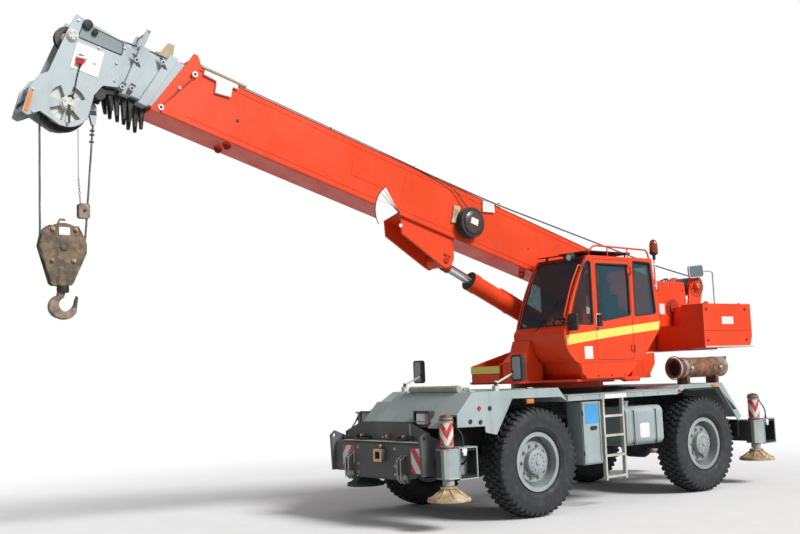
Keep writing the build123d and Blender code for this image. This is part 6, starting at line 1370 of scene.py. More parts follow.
stripe.prism(band_front, 0.0022, side_face(HALF))
stripe.done("cab_stripe", YELLOW, TOP)
stripe = Shape().prism([(-0.2135, 2.3115), (0.4935, 2.2435), (0.4935, 2.1290), (-0.2135, 2.2030)], 0.0022,
                       side_face(HALF))
stripe.done("door_stripe", YELLOW, "cab_door")
sign = on_side(Shape(), rectangle(0.584, 1.883, 0.738, 2.044, 0.008), LEFT, 0.003)
sign.done("cab_blank_plate", WHITE, TOP)
handle = Shape()
handle.prism(rectangle(0.3915, 2.299, 0.4835, 2.449, 0.016), 0.005, side_face(HALF))
handle.prism(rectangle(0.4340, 2.290, 0.4620, 2.452, 0.011), 0.019, side_face(HALF + 0.0428))
for z in (2.433, 2.309):
    handle.box(P(0.448, HALF + 0.022, z), (0.024, 0.043, 0.024))
handle.done("door_handle_black", BLACK, "cab_door", bevel=0.001)
cup = Shape().ring(rectangle(0.380, 2.287, 0.495, 2.461, 0.026),
                   rectangle(0.391, 2.298, 0.484, 2.450, 0.017), 0.007, side_face(HALF))
cup.done("door_handle_rim", PALE, "cab_door", bevel=0.001)
hinges = Shape()
for z in (2.010, 3.040):
    hinges.bolts([P(x, HALF + 0.012, z + dz) for x in (-0.20, -0.17) for dz in (-0.024, 0.024)], (0, 1, 0),
                 0.006, 0.005)
hinges.done("door_hinge_bolts", RED_PAINTED_SHADE, "cab_door")
roof_rail = Shape()
roof_rail.pipe([P(0.468, 1.150, 3.215), P(0.463, 1.150, 3.290), P(0.360, 1.150, 3.368),
                P(-0.690, 1.150, 3.346), P(-0.735, 1.150, 3.270), P(-0.735, 1.150, 3.180)], 0.012, 14, 0.06)
for x, z in ((0.10, 3.226), (-0.30, 3.222)):
    roof_rail.rod(P(x, 1.150, z), P(x, 1.150, z + 0.132), 0.009, 12)
grab = [on_screen(0.10, 0.0), on_screen(0.11, 0.055), on_screen(0.5, 0.060), on_screen(0.80, 0.055),
        on_screen(0.81, 0.0)]
roof_rail.pipe([P(p.x, 1.222, p.y) for p in grab], 0.011, 12, 0.05)
roof_rail.done("cab_rails", RED, TOP)
beacon_base = Shape()
beacon_base.rod(P(BEACON_X, BEACON_Y, 2.800), P(BEACON_X, BEACON_Y, 3.230), 0.014, 14)
for z in (2.86, 3.16):
    beacon_base.box(P(-0.830, BEACON_Y, z), (0.150, 0.030, 0.024))
beacon_base.done("beacon_pole", PALE, TOP)
socket = Shape()
socket.turned([(0, 0), (0, 0.020), (0.060, 0.022), (0.075, 0.050), (0.090, 0.060), (0.105, 0.058),
               (0.105, 0)], P(BEACON_X, BEACON_Y, 3.225), (0, 0, 1), 36)
socket.done("beacon_socket", BLACK, TOP)
dome = Shape().turned([(0, 0), (0, 0.056), (0.012, 0.060), (0.110, 0.055), (0.150, 0.046), (0.175, 0.026),
                       (0.182, 0)], P(BEACON_X, BEACON_Y, 3.328), (0, 0, 1), 40)
dome.done("beacon", BEACON, TOP)
back_plate = Shape().prism(rectangle(-2.135, 2.530, -2.010, 2.690, 0.008), 0.003, side_face(0.2588))
back_plate.done("cheek_blank_plate", WHITE, TOP)
stem = Shape()
stem.pipe([P(0.560, 1.050, 3.205), P(0.640, 1.050, 3.215), P(0.668, 1.050, 3.222)], 0.012, 12, 0.02)
stem.done("work_lamp_stem", PLASTIC, TOP)
lamp("work_lamp", P(0.660, 1.050, 3.222), (1, 0, -0.25), 0.050, 0.080, LAMP, TOP)
brow = Shape()
brow.prism([(0.455, 3.272), (0.610, 3.258), (0.612, 3.268), (0.455, 3.286)], 0.860, side_face(0.355))
for y in (0.42, CAB_MIDDLE, 1.14):
    brow.box(P(0.490, y, 3.245), (0.030, 0.020, 0.060))
brow.done("windscreen_brow", BLACK, TOP, bevel=0.002)
cover = Shape()
cover.prism(rectangle(-0.500, 0.500, 0.380, 1.060, 0.05), 0.022, top_face(3.292))
for x, y in ((-0.42, 0.56), (-0.42, 1.00), (0.30, 0.56), (0.30, 1.00)):
    cover.rod(P(x, y, 3.215), P(x, y, 3.292), 0.012, 12)
cover.done("roof_cover", BLACK, TOP, bevel=0.003)
roof = Shape()
for y in (0.50, CAB_MIDDLE, 1.05):
    roof.box(P(-0.02, y, 3.2235), (0.90, 0.030, 0.006))
roof.ring(rectangle(-0.28, 0.56, 0.26, 1.00, 0.05), rectangle(-0.24, 0.60, 0.22, 0.96, 0.04), 0.018,
          top_face(3.222))
roof.done("roof_strips", BLACK, TOP, bevel=0.002)
mirror = Shape()
mirror.pipe([P(1.050, 1.225, 2.335), P(1.040, 1.275, 2.350), P(1.015, 1.316, 2.350)], 0.009, 10, 0.03)
arm = plane(P(1.012, 1.316, 2.348), (0, -1, 0), (0, 0, 1))
mirror.prism(rectangle(-0.075, -0.108, 0.075, 0.108, 0.028), 0.034, arm)
mirror.done("cab_mirror", PLASTIC, TOP, bevel=0.004)
glass = Shape().prism(rectangle(-0.064, -0.097, 0.064, 0.097, 0.022), 0.0025,
                      arm @ Matrix.Translation((0, 0, 0.0345)))
glass.done("cab_mirror_glass", MIRROR, TOP)
rear_gasket = Shape()
rear_plane = plane(P(-0.739, CAB_MIDDLE, 2.740), (0, -1, 0), (0.109, 0, 0.994))
rear_gasket.ring(rectangle(-0.398, -0.408, 0.398, 0.408, 0.05),
                 rectangle(-0.372, -0.382, 0.372, 0.382, 0.035), 0.006, rear_plane)
rear_gasket.done("rear_window_gasket", BLACK, TOP, bevel=0.001)
sill_bits = Shape()
sill_bits.bolts([P(x, 1.2365, 1.665) for x in (-0.02, 0.24, 0.50, 0.74)], (0, 1, 0), 0.009, 0.008)
sill_bits.prism([(0.800, 1.640), (0.812, 1.640), (0.812, 1.828), (0.800, 1.828)], 0.003, side_face(1.236))
sill_bits.done("cab_sill_bolts", RED_PAINTED_SHADE, TOP)
big_mirror = Shape()
big_mirror.pipe([P(-3.350, 0.285, 2.700), P(-3.345, 0.285, 3.215), P(-3.090, 0.285, 3.222)], 0.013, 12, 0.04)
mirror_at = plane(P(-2.916, 0.300, 3.206), (-1, 0, 0.10), (0.10, 0, 1))
big_mirror.prism(rectangle(-0.180, -0.100, 0.180, 0.100, 0.040), 0.030,
                 mirror_at @ Matrix.Translation((0, 0, -0.030)))
big_mirror.done("winch_mirror", PALE, TOP, bevel=0.003)
big_glass = Shape().prism(rectangle(-0.166, -0.086, 0.166, 0.086, 0.032), 0.0025, mirror_at)
big_glass.done("winch_mirror_glass", MIRROR, TOP)

# ---------------------------------------------------------------- inside the cab
dash = Shape()
dash.prism([(0.700, 1.884), (0.960, 1.990), (1.000, 2.230), (0.930, 2.300), (0.760, 2.290), (0.700, 2.160),
            (0.640, 1.884)], 0.60, side_face(0.485))
dash.prism([(0.700, 2.300), (0.830, 2.310), (0.800, 2.430), (0.745, 2.420)], 0.20, side_face(0.400))
dash.done("dashboard", PLASTIC, TOP, bevel=0.010)
screen_piece = Shape()
screen_piece.prism([(0.7395, 2.325), (0.7435, 2.325), (0.7735, 2.415), (0.7695, 2.415)], 0.16,
                   side_face(0.420))
screen_piece.done("load_display", DISPLAY, TOP)
knobs = Shape()
for i in range(7):
    knobs.rod(P(0.705, 0.56 + 0.07 * i, 2.215), P(0.690, 0.56 + 0.07 * i, 2.222), 0.012, 16)
for i in range(3):
    knobs.lathe([(0, 0.026), (0, 0.034), (0.010, 0.034), (0.010, 0.026)], P(0.722, 0.68 + 0.09 * i, 2.262),
                (-1, 0, 0.5), 28)
knobs.done("dashboard_dials", CHROME, TOP)
wheel = Shape()
steer_turn = Vector((-0.50, 0, 0.86)).normalized()
hub = P(0.560, CAB_MIDDLE, 2.330)
across = Vector((0, 1, 0))
forward = across.cross(steer_turn)
rim = [hub + 0.185 * (cos(a) * across + sin(a) * forward) for a in angles(48) + [2 * pi]]
wheel.pipe(rim, 0.014, 12)
for a in (pi / 2, pi * 7 / 6, pi * 11 / 6):
    wheel.rod(hub, hub + 0.18 * (cos(a) * across + sin(a) * forward), 0.010, 12)
wheel.rod(hub - 0.02 * steer_turn, hub + 0.015 * steer_turn, 0.038, 28)
wheel.rod(hub - 0.02 * steer_turn, P(0.760, CAB_MIDDLE, 2.010), 0.024, 20)
wheel.done("steering_wheel", BLACK, TOP)
levers = Shape()
for y in (0.495, 1.075):
    for dx in (0.210, 0.140):
        foot_at = P(SEAT_X + dx, y, 2.284)
        levers.turned([(0, 0), (0, 0.034), (0.014, 0.030), (0.028, 0.020), (0.028, 0)], foot_at, (0, 0, 1),
                      24)
        levers.rod(foot_at, foot_at + Vector((0.01, 0, 0.11)), 0.007, 12)
        levers.turned([(0, 0), (0, 0.012), (0.02, 0.020), (0.042, 0.018), (0.052, 0)],
                      foot_at + Vector((0.01, 0, 0.105)), (0, 0, 1), 20)
levers.done("control_levers", BLACK, TOP)
pedals = Shape()
for y in (0.60, 0.73, 0.90):
    pedals.box(P(0.665, y, 1.975), (0.020, 0.085, 0.130), PEDAL_TURN)
    for k in range(4):
        pedals.box(P(0.670 - 0.009 * k, y, 1.940 + 0.022 * k), (0.008, 0.075, 0.006), PEDAL_TURN)
pedals.done("pedals", BLACK, TOP, bevel=0.002)
mat = Shape()
mat.prism([(-0.36, 0.392), (0.66, 0.392), (0.66, 1.178), (-0.36, 1.178)], 0.006, top_face(1.8835))
for i in range(26):
    mat.box(P(-0.34 + 0.038 * i, CAB_MIDDLE, 1.8905), (0.010, 0.76, 0.004))
mat.done("floor_mat", BLACK, TOP)
lining = Shape()
lining.prism([(-0.60, 0.395), (0.48, 0.395), (0.48, 1.175), (-0.60, 1.175)], 0.010, top_face(3.148))
lining.done("roof_lining", LINING, TOP, bevel=0.003)
visor = Shape().prism([(0.46, 3.060), (0.585, 2.960), (0.592, 2.966), (0.468, 3.068)], 0.66, side_face(0.455))
visor.done("sun_visor", PLASTIC, TOP, bevel=0.002)

# ================================================================ boom
BASE, SECOND, THIRD, HEAD = "boom_base", "boom_section_2", "boom_section_3", "boom_head"
BASE_FACE, SECOND_FACE = 0.2205, 0.1965         # just outside the side faces of these sections
LIFT_EYE = (4.400, -0.640)                      # where the lift cylinder's rod holds the boom
BOOM_TURN = Matrix.Rotation(radians(-16), 4, "Y")


def on_boom(shape, outline, out, thick, y):
    """An outline in u and v on a side face of the boom, its thickness outwards."""
    return shape.prism(outline, thick, boom_face(y if out == LEFT else -y - thick))


for side, out in SIDES.items():
    bead = Shape()
    for v in (-0.262, 0.262):
        bead.rod(B(-0.20, v, out * 0.2195), B(8.20 - 0.35 * v, v, out * 0.2195), 0.005, 8)
    for u in (0.62, 3.95, 5.30):
        bead.rod(B(u, -0.330, out * 0.2195), B(u, 0.330, out * 0.2195), 0.0045, 8)
    bead.done("boom_base_seams_" + side, RED, BASE)
    doubler = Shape()
    outline = soften([(-0.23, -0.30), (0.50, -0.30), (0.78, -0.05), (0.50, 0.30), (-0.23, 0.30)], 0.05)
    on_boom(doubler, outline, out, 0.007, BASE_FACE)
    doubler.done("boom_foot_doubler_" + side, RED, BASE, bevel=0.001)
    # Painted shade: dark red lines, one under the boom's top edge and one slanting near the base's front end.
    line = Shape()
    line.rod(B(-0.20, 0.326, out * 0.2195), B(8.05, 0.326, out * 0.2195), 0.0065, 8)
    line.prism([(8.318, 0.190), (8.338, 0.190), (8.600, -0.250), (8.580, -0.250)], 0.002,
               boom_face(out * 0.2455 - 0.001))
    line.done("boom_dark_lines_" + side, RED_PAINTED_SHADE, BASE)
    bosses, centres = Shape(), Shape()
    for u, v, radius, face in ((8.327, 0.226, 0.036, 0.2445), (8.603, -0.289, 0.036, 0.2445),
                               (8.456, 0.006, 0.018, 0.2445)):
        bosses.lathe([(0, 0.4 * radius), (0, radius), (0.012, 0.94 * radius), (0.014, 0.5 * radius),
                      (0.010, 0.4 * radius)], B(u, v, out * face), (0, out, 0), 32)
        centres.turned([(0, 0), (0, 0.42 * radius), (0.011, 0.42 * radius), (0.011, 0)],
                       B(u, v, out * face), (0, out, 0), 24)
    for u, v, radius in ((7.692, -0.061, 0.020), (3.075, -0.052, 0.013)):
        centres.turned([(0, 0), (0, radius), (0.003, 0.9 * radius), (0.003, 0)], B(u, v, out * BASE_FACE),
                       (0, out, 0), 24)
    bosses.done("boom_base_bosses_" + side, WHITE, BASE)
    centres.done("boom_base_holes_" + side, BLACK, BASE)
    for body, face, places, label in ((SECOND, BASE_FACE, ((8.700, 0.206), (8.955, -0.215)), "section_2"),
                                      (THIRD, SECOND_FACE, ((8.977, 0.115), (9.047, -0.233)), "section_3")):
        bosses, centres = Shape(), Shape()
        clamps = Shape()
        for u, v in places:
            lean = 0.35 if v > 0 else -0.15
            outline = [(u - 0.030 - 0.1 * lean, v - 0.058), (u + 0.024 - 0.1 * lean, v - 0.052),
                       (u + 0.030 + 0.1 * lean, v + 0.058), (u - 0.024 + 0.1 * lean, v + 0.052)]
            on_boom(clamps, outline, out, 0.006, face)
            bosses.lathe([(0, 0.012), (0, 0.030), (0.016, 0.028), (0.017, 0.014), (0.012, 0.012)],
                         B(u, v, out * face), (0, out, 0), 28)
            centres.turned([(0, 0), (0, 0.0125), (0.009, 0.0125), (0.009, 0)], B(u, v, out * face),
                           (0, out, 0), 20)
        clamps.done(label + "_clamps_" + side, DARK, body, bevel=0.001)
        bosses.done(label + "_bosses_" + side, GREY_LIGHT, body)
        centres.done(label + "_holes_" + side, BLACK, body)
    u, v = LIFT_EYE
    pin = Shape()
    pin.turned([(0, 0), (0, 0.042), (0.008, 0.036), (0.008, 0)], B(u, v, out * 0.194), (0, out, 0), 28)
    pin.box(B(u, v + 0.062, out * 0.184), (0.11, 0.010, 0.030), BOOM_TURN)
    pin.bolts([B(u + du, v + 0.062, out * 0.189) for du in (-0.04, 0.04)], (0, out, 0), 0.008, 0.008)
    pin.done("lift_pin_keeper_" + side, RED_PAINTED_SHADE, BASE, bevel=0.001)

block = Shape()
block.prism([(8.229, 0.328), (7.806, 0.334), (7.790, 0.284), (7.859, 0.276), (7.851, 0.157), (8.046, 0.127),
             (8.064, 0.263), (8.225, 0.273)], 0.030, boom_face(BASE_FACE))
block.done("boom_white_block", WHITE, BASE, bevel=0.003)
tube = Shape()
tube.rod(B(7.664, 0.392, 0.150), B(8.245, 0.388, 0.150), 0.022, 20)
for u in (7.76, 8.24):
    tube.box(B(u, 0.355, 0.150), (0.022, 0.030, 0.060), BOOM_TURN)
tube.done("boom_top_tube", TAN, BASE)
bracket = Shape()
for y in (0.10, -0.11):
    bracket.prism([(7.640, -0.337), (7.760, -0.337), (7.720, -0.390), (7.680, -0.390)], 0.010, boom_face(y))
bracket.done("boom_under_bracket", RED_PAINTED_SHADE, BASE, bevel=0.001)
plate = Shape()
for out in (LEFT, RIGHT):
    on_boom(plate, rectangle(5.60, -0.10, 6.10, 0.10, 0.02), out, 0.0025, BASE_FACE + 0.0003)
plate.done("boom_blank_panel", RED, BASE)
top_line = Shape()
for y in (-0.06, -0.02):
    top_line.pipe([B(-0.10, 0.352, y), B(1.0, 0.350, y), B(4.0, 0.352, y), B(7.9, 0.350, y)], 0.009, 8, 0.1)
for u in (0.3, 1.5, 2.7, 3.9, 5.1, 6.3, 7.5):
    top_line.box(B(u, 0.348, -0.04), (0.03, 0.10, 0.026), BOOM_TURN)
top_line.done("boom_top_pipes", STEEL, BASE)
ROPE_RADIUS = 0.011
rope_run = [(-0.589, 0.731), (0.175, 0.646), (1.604, 0.561), (3.622, 0.445), (6.200, 0.405), (8.150, 0.392)]
rope = Shape()
rope.pipe([B(u, v, 0.02) for u, v in rope_run], ROPE_RADIUS, 10, 0.2)
rope.done("winch_rope_on_boom", ROPE, BASE)
guide = Shape()
for u, rope_v in ((3.62, 0.445), (8.15, 0.392)):
    height = rope_v - ROPE_RADIUS
    guide.rod(B(u, height - 0.020, -0.09), B(u, height - 0.020, 0.09), 0.020, 20)
    for y in (-0.10, 0.09):
        guide.prism([(u - 0.05, 0.334), (u + 0.05, 0.334), (u + 0.022, height + 0.012),
                     (u - 0.022, height + 0.012)], 0.010, boom_face(y))
guide.done("rope_guides", STEEL, BASE, bevel=0.001)
rope = Shape()
rope.pipe([B(8.30, 0.390, 0.0), B(8.9, 0.360, 0.0), B(9.40, 0.300, 0.0), B(9.56, 0.262, 0.0)], ROPE_RADIUS,
          10, 0.2)
rope.done("winch_rope_at_head", ROPE, HEAD)

# angle indicator: a white sector about its apex, with two needles and a weighted arm
APEX = (5.305, -0.310)
INDICATOR_RADIUS, INDICATOR_FOOT = 0.35, -0.560
turns = [radians(43 - 87 * i / 24) for i in range(25)]
arc = [(APEX[0] + INDICATOR_RADIUS * cos(a), max(APEX[1] + INDICATOR_RADIUS * sin(a), INDICATOR_FOOT))
       for a in turns]
quadrant = Shape().prism([APEX] + arc, 0.003, boom_face(0.2206))
quadrant.done("angle_indicator", WHITE, BASE)
needle = Shape()
needle.rod(B(*APEX, 0.224), B(*APEX, 0.236), 0.014, 20)
rims = [(APEX[0] + 1.03 * (u - APEX[0]), APEX[1] + 1.03 * (v - APEX[1])) for u, v in arc]
needle.prism(arc + rims[::-1], 0.004, boom_face(0.2206))
for tip in (arc[2], arc[5]):
    across = Vector((tip[1] - APEX[1], APEX[0] - tip[0])).normalized() * 0.004
    needle.prism([(APEX[0] + across.x, APEX[1] + across.y), (APEX[0] - across.x, APEX[1] - across.y), tip],
                 0.003, boom_face(0.2245))
needle.prism([(5.297, -0.310), (5.313, -0.310), (5.246, -0.450), (5.230, -0.450)], 0.003, boom_face(0.2245))
needle.done("angle_needle", BLACK, BASE)
bob = Shape().turned([(0, 0), (0, 0.026), (0.008, 0.022), (0.008, 0)], B(5.236, -0.463, 0.2245), (0, 1, 0),
                     28)
bob.done("angle_weight", WHITE, BASE)
box = Shape().prism([(4.028, 0.309), (3.826, 0.326), (3.791, 0.219), (3.995, 0.161)], 0.030,
                    boom_face(BASE_FACE))
box.done("boom_side_box", WHITE, BASE, bevel=0.002)

# cable reel: black drum with a brown cap and a blank label, its bracket and its cable along the boom
REEL_AT = B(4.210, -0.078, 0.0)
reel = Shape()
reel.lathe([(0.226, 0.030), (0.226, 0.198), (0.238, 0.200), (0.248, 0.186), (0.330, 0.186), (0.336, 0.199),
            (0.352, 0.196), (0.356, 0.150), (0.345, 0.030)], REEL_AT, (0, 1, 0), 72)
reel = reel.done("cable_reel_drum", BLACK, BASE)
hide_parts("cable_reel")
cap = Shape()
cap.turned([(0.340, 0), (0.340, 0.150), (0.366, 0.150), (0.376, 0.132), (0.384, 0.070), (0.384, 0)],
           REEL_AT, (0, 1, 0), 64)
cap.bolts([REEL_AT + spoke(0.142, a) + Vector((0, 0.366, 0)) for a in angles(8)], (0, 1, 0),
          0.006, 0.006)
cap.done("cable_reel_cap", BROWN, BASE)
label = Shape().prism(rectangle(4.150, -0.115, 4.275, -0.030, 0.010), 0.002, boom_face(0.3842))
label.done("cable_reel_label", WHITE, BASE)
bracket = Shape().prism([(4.476, 0.085), (4.371, 0.095), (4.373, -0.134), (4.475, -0.156)], 0.022,
                        boom_face(0.2208))
bracket.done("cable_reel_bracket", PAD_IRON, BASE, bevel=0.002)
wound = Shape()
coil = []
REEL_TURNS, REEL_STEPS = 9, 40                  # of the wound cable, and points to a turn
for i in range(REEL_TURNS * REEL_STEPS + 1):
    across = 0.252 + 0.075 * abs((i / 120) % 2 - 1)
    coil.append(REEL_AT + spoke(0.190, 2 * pi * i / REEL_STEPS) + Vector((0, across, 0)))
wound.pipe(coil, 0.0055, 6)
wound.pipe([REEL_AT + Vector((0.0, 0.27, 0.186)), B(4.55, 0.300, 0.250), B(5.2, 0.338, 0.228),
            B(6.5, 0.340, 0.226), B(7.75, 0.341, 0.226), B(8.28, 0.330, 0.250)], 0.0055, 8, 0.2)
wound.done("cable_reel_cable", HOSE, BASE)
eyelets = Shape()
for u, v, y in ((5.2, 0.338, 0.228), (6.5, 0.340, 0.226)):
    eyelets.lathe([(-0.006, 0.007), (-0.006, 0.014), (0.006, 0.014), (0.006, 0.007)], B(u, v, y),
                  BOOM_ALONG, 20)
eyelets.done("cable_eyelets", STEEL, BASE)

# ---------------------------------------------------------------- boom head
HEAD_FACE = 0.167
LOWER_SHAFT, UPPER_SHAFT = (9.527, -0.625), (9.675, 0.085)      # middles of the two sheaves
for side, out in SIDES.items():
    hubs = Shape()
    for (u, v), radius in ((LOWER_SHAFT, 0.066), (UPPER_SHAFT, 0.056)):
        hubs.turned([(0, 0), (0, radius + 0.012), (0.010, radius + 0.010), (0.014, radius),
                     (0.030, radius - 0.006), (0.030, 0)], B(u, v, out * (HEAD_FACE + 0.001)), (0, out, 0),
                    40)
        hubs.bolts([B(u, v, out * (HEAD_FACE + 0.031)) + spoke(0.6 * radius, a)
                    for a in (0.6, 2.17, 3.74, 5.31)], (0, out, 0), 0.008, 0.007)
    hubs.done("head_shaft_hubs_" + side, CREAM, HEAD, bevel=0.001)
    bolts = Shape()
    bolts.bolts([B(u, v, out * (HEAD_FACE + 0.001)) for u, v in ((9.12, 0.20), (9.13, -0.19), (9.38, 0.08),
                                                                 (9.38, -0.10), (9.16, 0.0), (9.66, 0.27),
                                                                 (9.83, -0.84), (9.89, -0.62))],
                (0, out, 0), 0.012, 0.011)
    bolts.done("head_bolts_" + side, BLUED, HEAD)
    edging = Shape()
    outline = [(9.300, -0.440), (9.300, -0.700), (9.527, -0.860), (9.760, -0.800)]
    for a, b in zip(outline, outline[1:]):
        edging.rod(B(*a, out * 0.157), B(*b, out * 0.157), 0.0115, 10)
    edging.done("head_plate_edge_" + side, GREY_LIGHT, HEAD)
knobs = Shape()
for u, v, wide in ((9.561, 0.262, 0.052), (9.468, 0.215, 0.032)):
    knobs.turned([(0, 0), (0, 0.6 * wide), (0.020, 0.6 * wide), (0.026, wide), (0.046, wide),
                  (0.052, 0.7 * wide), (0.052, 0)], B(u, v, HEAD_FACE - 0.014), (0, 1, 0), 32)
knobs.done("head_knobs", BLACK, HEAD)
# Painted shade: a flat darker grey panel standing for the shade in the head's recess.
backing = Shape()
for y in (HEAD_FACE + 0.0004, -HEAD_FACE - 0.0024):
    backing.prism(soften([(9.600, 0.262), (9.150, 0.246), (9.134, 0.115), (9.612, 0.100)], 0.02), 0.002,
                  boom_face(y))
backing.done("head_recess_panel", RECESS_SHADE_GREY, HEAD)
seam = Shape()
for y in (HEAD_FACE + 0.0006, -HEAD_FACE - 0.0036):
    seam.ring(soften([(9.608, 0.272), (9.142, 0.255), (9.126, 0.105), (9.620, 0.090)], 0.02),
              soften([(9.598, 0.260), (9.152, 0.244), (9.137, 0.117), (9.610, 0.102)], 0.02), 0.003,
              boom_face(y))
seam.done("head_recess_seam", BLACK, HEAD)
covers = Shape()
for out in (LEFT, RIGHT):
    at = B(*LOWER_SHAFT, out * 0.118)
    covers.lathe([(0, 0.060), (0, 0.200), (0.008, 0.204), (0.008, 0.196), (0.004, 0.070), (0.012, 0.062)],
                 at, (0, out, 0), 56)
    for a in angles(6):
        ray = spoke(1, a + 0.3)
        covers.rod(at + 0.070 * ray + Vector((0, out * 0.008, 0)),
                   at + 0.195 * ray + Vector((0, out * 0.008, 0)), 0.007, 10)
covers.done("head_sheave_covers", CREAM, HEAD, bevel=0.001)
sheaves, discs = Shape(), Shape()
for (u, v), radius in ((LOWER_SHAFT, 0.262), (UPPER_SHAFT, 0.135)):
    middle = B(u, v, 0)
    sheaves.lathe([(-0.026, radius - 0.060), (-0.026, radius), (-0.020, radius), (-0.0105, radius - 0.030),
                   (0.0105, radius - 0.030), (0.020, radius), (0.026, radius), (0.026, radius - 0.060)],
                  middle, (0, 1, 0), 80)
    discs.lathe([(-0.034, 0.040), (-0.034, 0.064), (-0.008, 0.070), (-0.008, radius - 0.058),
                 (0.008, radius - 0.058), (0.008, 0.070), (0.034, 0.064), (0.034, 0.040)], middle,
                (0, 1, 0), 64)
    for a in angles(8):
        ray = spoke(1, a)
        for y in (-0.014, 0.014):
            discs.rod(middle + 0.066 * ray + Vector((0, y, 0)),
                      middle + (radius - 0.062) * ray + Vector((0, y, 0)), 0.008, 10)
sheaves = sheaves.done("head_sheave_rims", GREASE, HEAD, bevel=0.001)
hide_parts("head_sheaves")
discs.done("head_sheave_discs", CREAM, HEAD, bevel=0.001)
plate = Shape()
plate.prism([(9.612, 0.045), (9.312, 0.055), (9.307, -0.235), (9.612, -0.245)], 0.003,
            boom_face(HEAD_FACE + 0.0008))
plate.done("head_blank_plate", WHITE, HEAD)
block = Shape()
block.prism(rectangle(9.500, -0.185, 9.570, -0.110, 0.008), 0.040, boom_face(HEAD_FACE + 0.003))
block.done("head_switch_box", RED_LENS, HEAD, bevel=0.002)
cap = Shape().prism([(9.580, -0.107), (9.485, -0.086), (9.472, -0.112), (9.574, -0.132)], 0.045,
                    boom_face(HEAD_FACE + 0.003))
cap.done("head_switch_cap", WHITE, HEAD, bevel=0.003)
block = Shape()
block.prism(rectangle(9.508, -0.105, 9.562, -0.080, 0.004), 0.030, boom_face(HEAD_FACE + 0.003))
hose(block, [B(9.520, -0.185, HEAD_FACE + 0.02), B(9.515, -0.32, HEAD_FACE + 0.012),
             B(9.50, -0.46, HEAD_FACE + 0.010), B(9.505, -0.545, HEAD_FACE + 0.014)], 0.006, 0.04)
block.lathe([(0.001, 0.014), (0.001, 0.034), (0.018, 0.034), (0.018, 0.014)], B(9.519, -0.560, HEAD_FACE),
            (0, 1, 0), 28)
block.prism([(9.505, -0.640), (9.535, -0.640), (9.480, -0.822), (9.455, -0.822)], 0.006,
            boom_face(HEAD_FACE + 0.031))
block.done("head_switch_cable", BLACK, HEAD)
front_roller = Shape()
for out in (LEFT, RIGHT):
    front_roller.rod(B(9.234, -0.376, out * 0.060), B(9.234, -0.376, out * 0.142), 0.066, 32)
front_roller.rod(B(9.900, -0.740, -0.142), B(9.900, -0.740, 0.142), 0.024, 24)
front_roller.done("head_rollers", BLACK, HEAD)
strip = Shape()
strip.prism([(9.880, -0.862), (9.918, -0.860), (9.918, -0.640), (9.882, -0.640)], 0.003,
            boom_face(HEAD_FACE + 0.0008))
strip.done("head_amber_strip", ORANGE_PAINT, HEAD)
# Fins under section 3: ribs there, coloured black as painted shade under the boom.
comb = Shape()
for y in (0.060, -0.120):
    comb.prism([(9.295, -0.387), (9.185, -0.276), (9.050, -0.262), (8.860, -0.270), (8.860, -0.300),
                (9.130, -0.330)], 0.060, boom_face(y))
    for u, v, top in ((9.208, -0.470, 9.230), (9.047, -0.474, 9.150), (8.986, -0.505, 9.070),
                      (8.900, -0.505, 8.990)):
        comb.prism([(top - 0.045, -0.265), (top + 0.020, -0.265), (u + 0.014, v), (u - 0.010, v)], 0.045,
                   boom_face(y))
comb.done("under_fins", BLACK, THIRD)
# Fins under section 2: ribs there, coloured black as painted shade under the boom.
comb = Shape()
for y in (0.060, -0.105):
    for u, v, top in ((8.830, -0.510, 8.900), (8.768, -0.545, 8.835), (8.690, -0.545, 8.765)):
        comb.prism([(top - 0.045, -0.300), (top + 0.020, -0.300), (u + 0.014, v), (u - 0.010, v)], 0.045,
                   boom_face(y))
comb.done("under_fins_2", BLACK, SECOND)
bar = Shape()
for y in (0.135, -0.149):
    bar.prism([(8.995, 0.285), (8.925, 0.285), (8.885, 0.525), (8.935, 0.525)], 0.014, boom_face(y))
bar.rod(B(8.912, 0.500, -0.149), B(8.912, 0.500, 0.149), 0.010, 14)
bar.done("section_3_rope_frame", GREY_LIGHT, THIRD, bevel=0.001)
bracket = Shape()
for out in (LEFT, RIGHT):
    on_boom(bracket, [(8.750, 0.303), (8.585, 0.303), (8.602, 0.480), (8.676, 0.470)], out, 0.014, 0.150)
bracket.rod(B(8.650, 0.420, -0.165), B(8.650, 0.420, 0.165), 0.018, 20)
bracket.done("section_2_rope_bracket", TAN, SECOND)

# ================================================================ lift cylinder
FOOT = P(LIFT_X, 0, LIFT_Z)
EYE = B(*LIFT_EYE)
LIFT = (EYE - FOOT).normalized()
LIFT_UP = Vector((-LIFT.z, 0, LIFT.x))
LIFT_TURN = Matrix.Rotation(-atan2(LIFT.z, LIFT.x), 4, "Y")
PIPE_UP = 0.148 * LIFT_UP                       # from the barrel's axis to the pipe along it
LOCK_VALVE = -0.155 * LIFT_UP                   # from the barrel's axis to the lock valve
EYE_REACH = 0.165                               # the rod's faces nearer the eye than this are painted
barrel = Shape()
barrel.rod(FOOT + 0.30 * LIFT + PIPE_UP, FOOT + 2.50 * LIFT + PIPE_UP, 0.013, 12)
barrel.pipe([FOOT + 2.50 * LIFT + PIPE_UP, FOOT + 2.57 * LIFT + PIPE_UP,
             FOOT + 2.57 * LIFT + 0.118 * LIFT_UP], 0.013, 12, 0.03)
for distance in (0.55, 1.15, 1.75, 2.35):
    barrel.lathe([(0, 0.1225), (0, 0.1285), (0.030, 0.1285), (0.030, 0.1225)], FOOT + distance * LIFT, LIFT,
                 48)
    barrel.box(FOOT + (distance + 0.015) * LIFT + 0.140 * LIFT_UP, (0.034, 0.050, 0.030), LIFT_TURN)
barrel.done("lift_cylinder_pipe", RED, "lift_barrel", bevel=0.001)
gland = Shape()
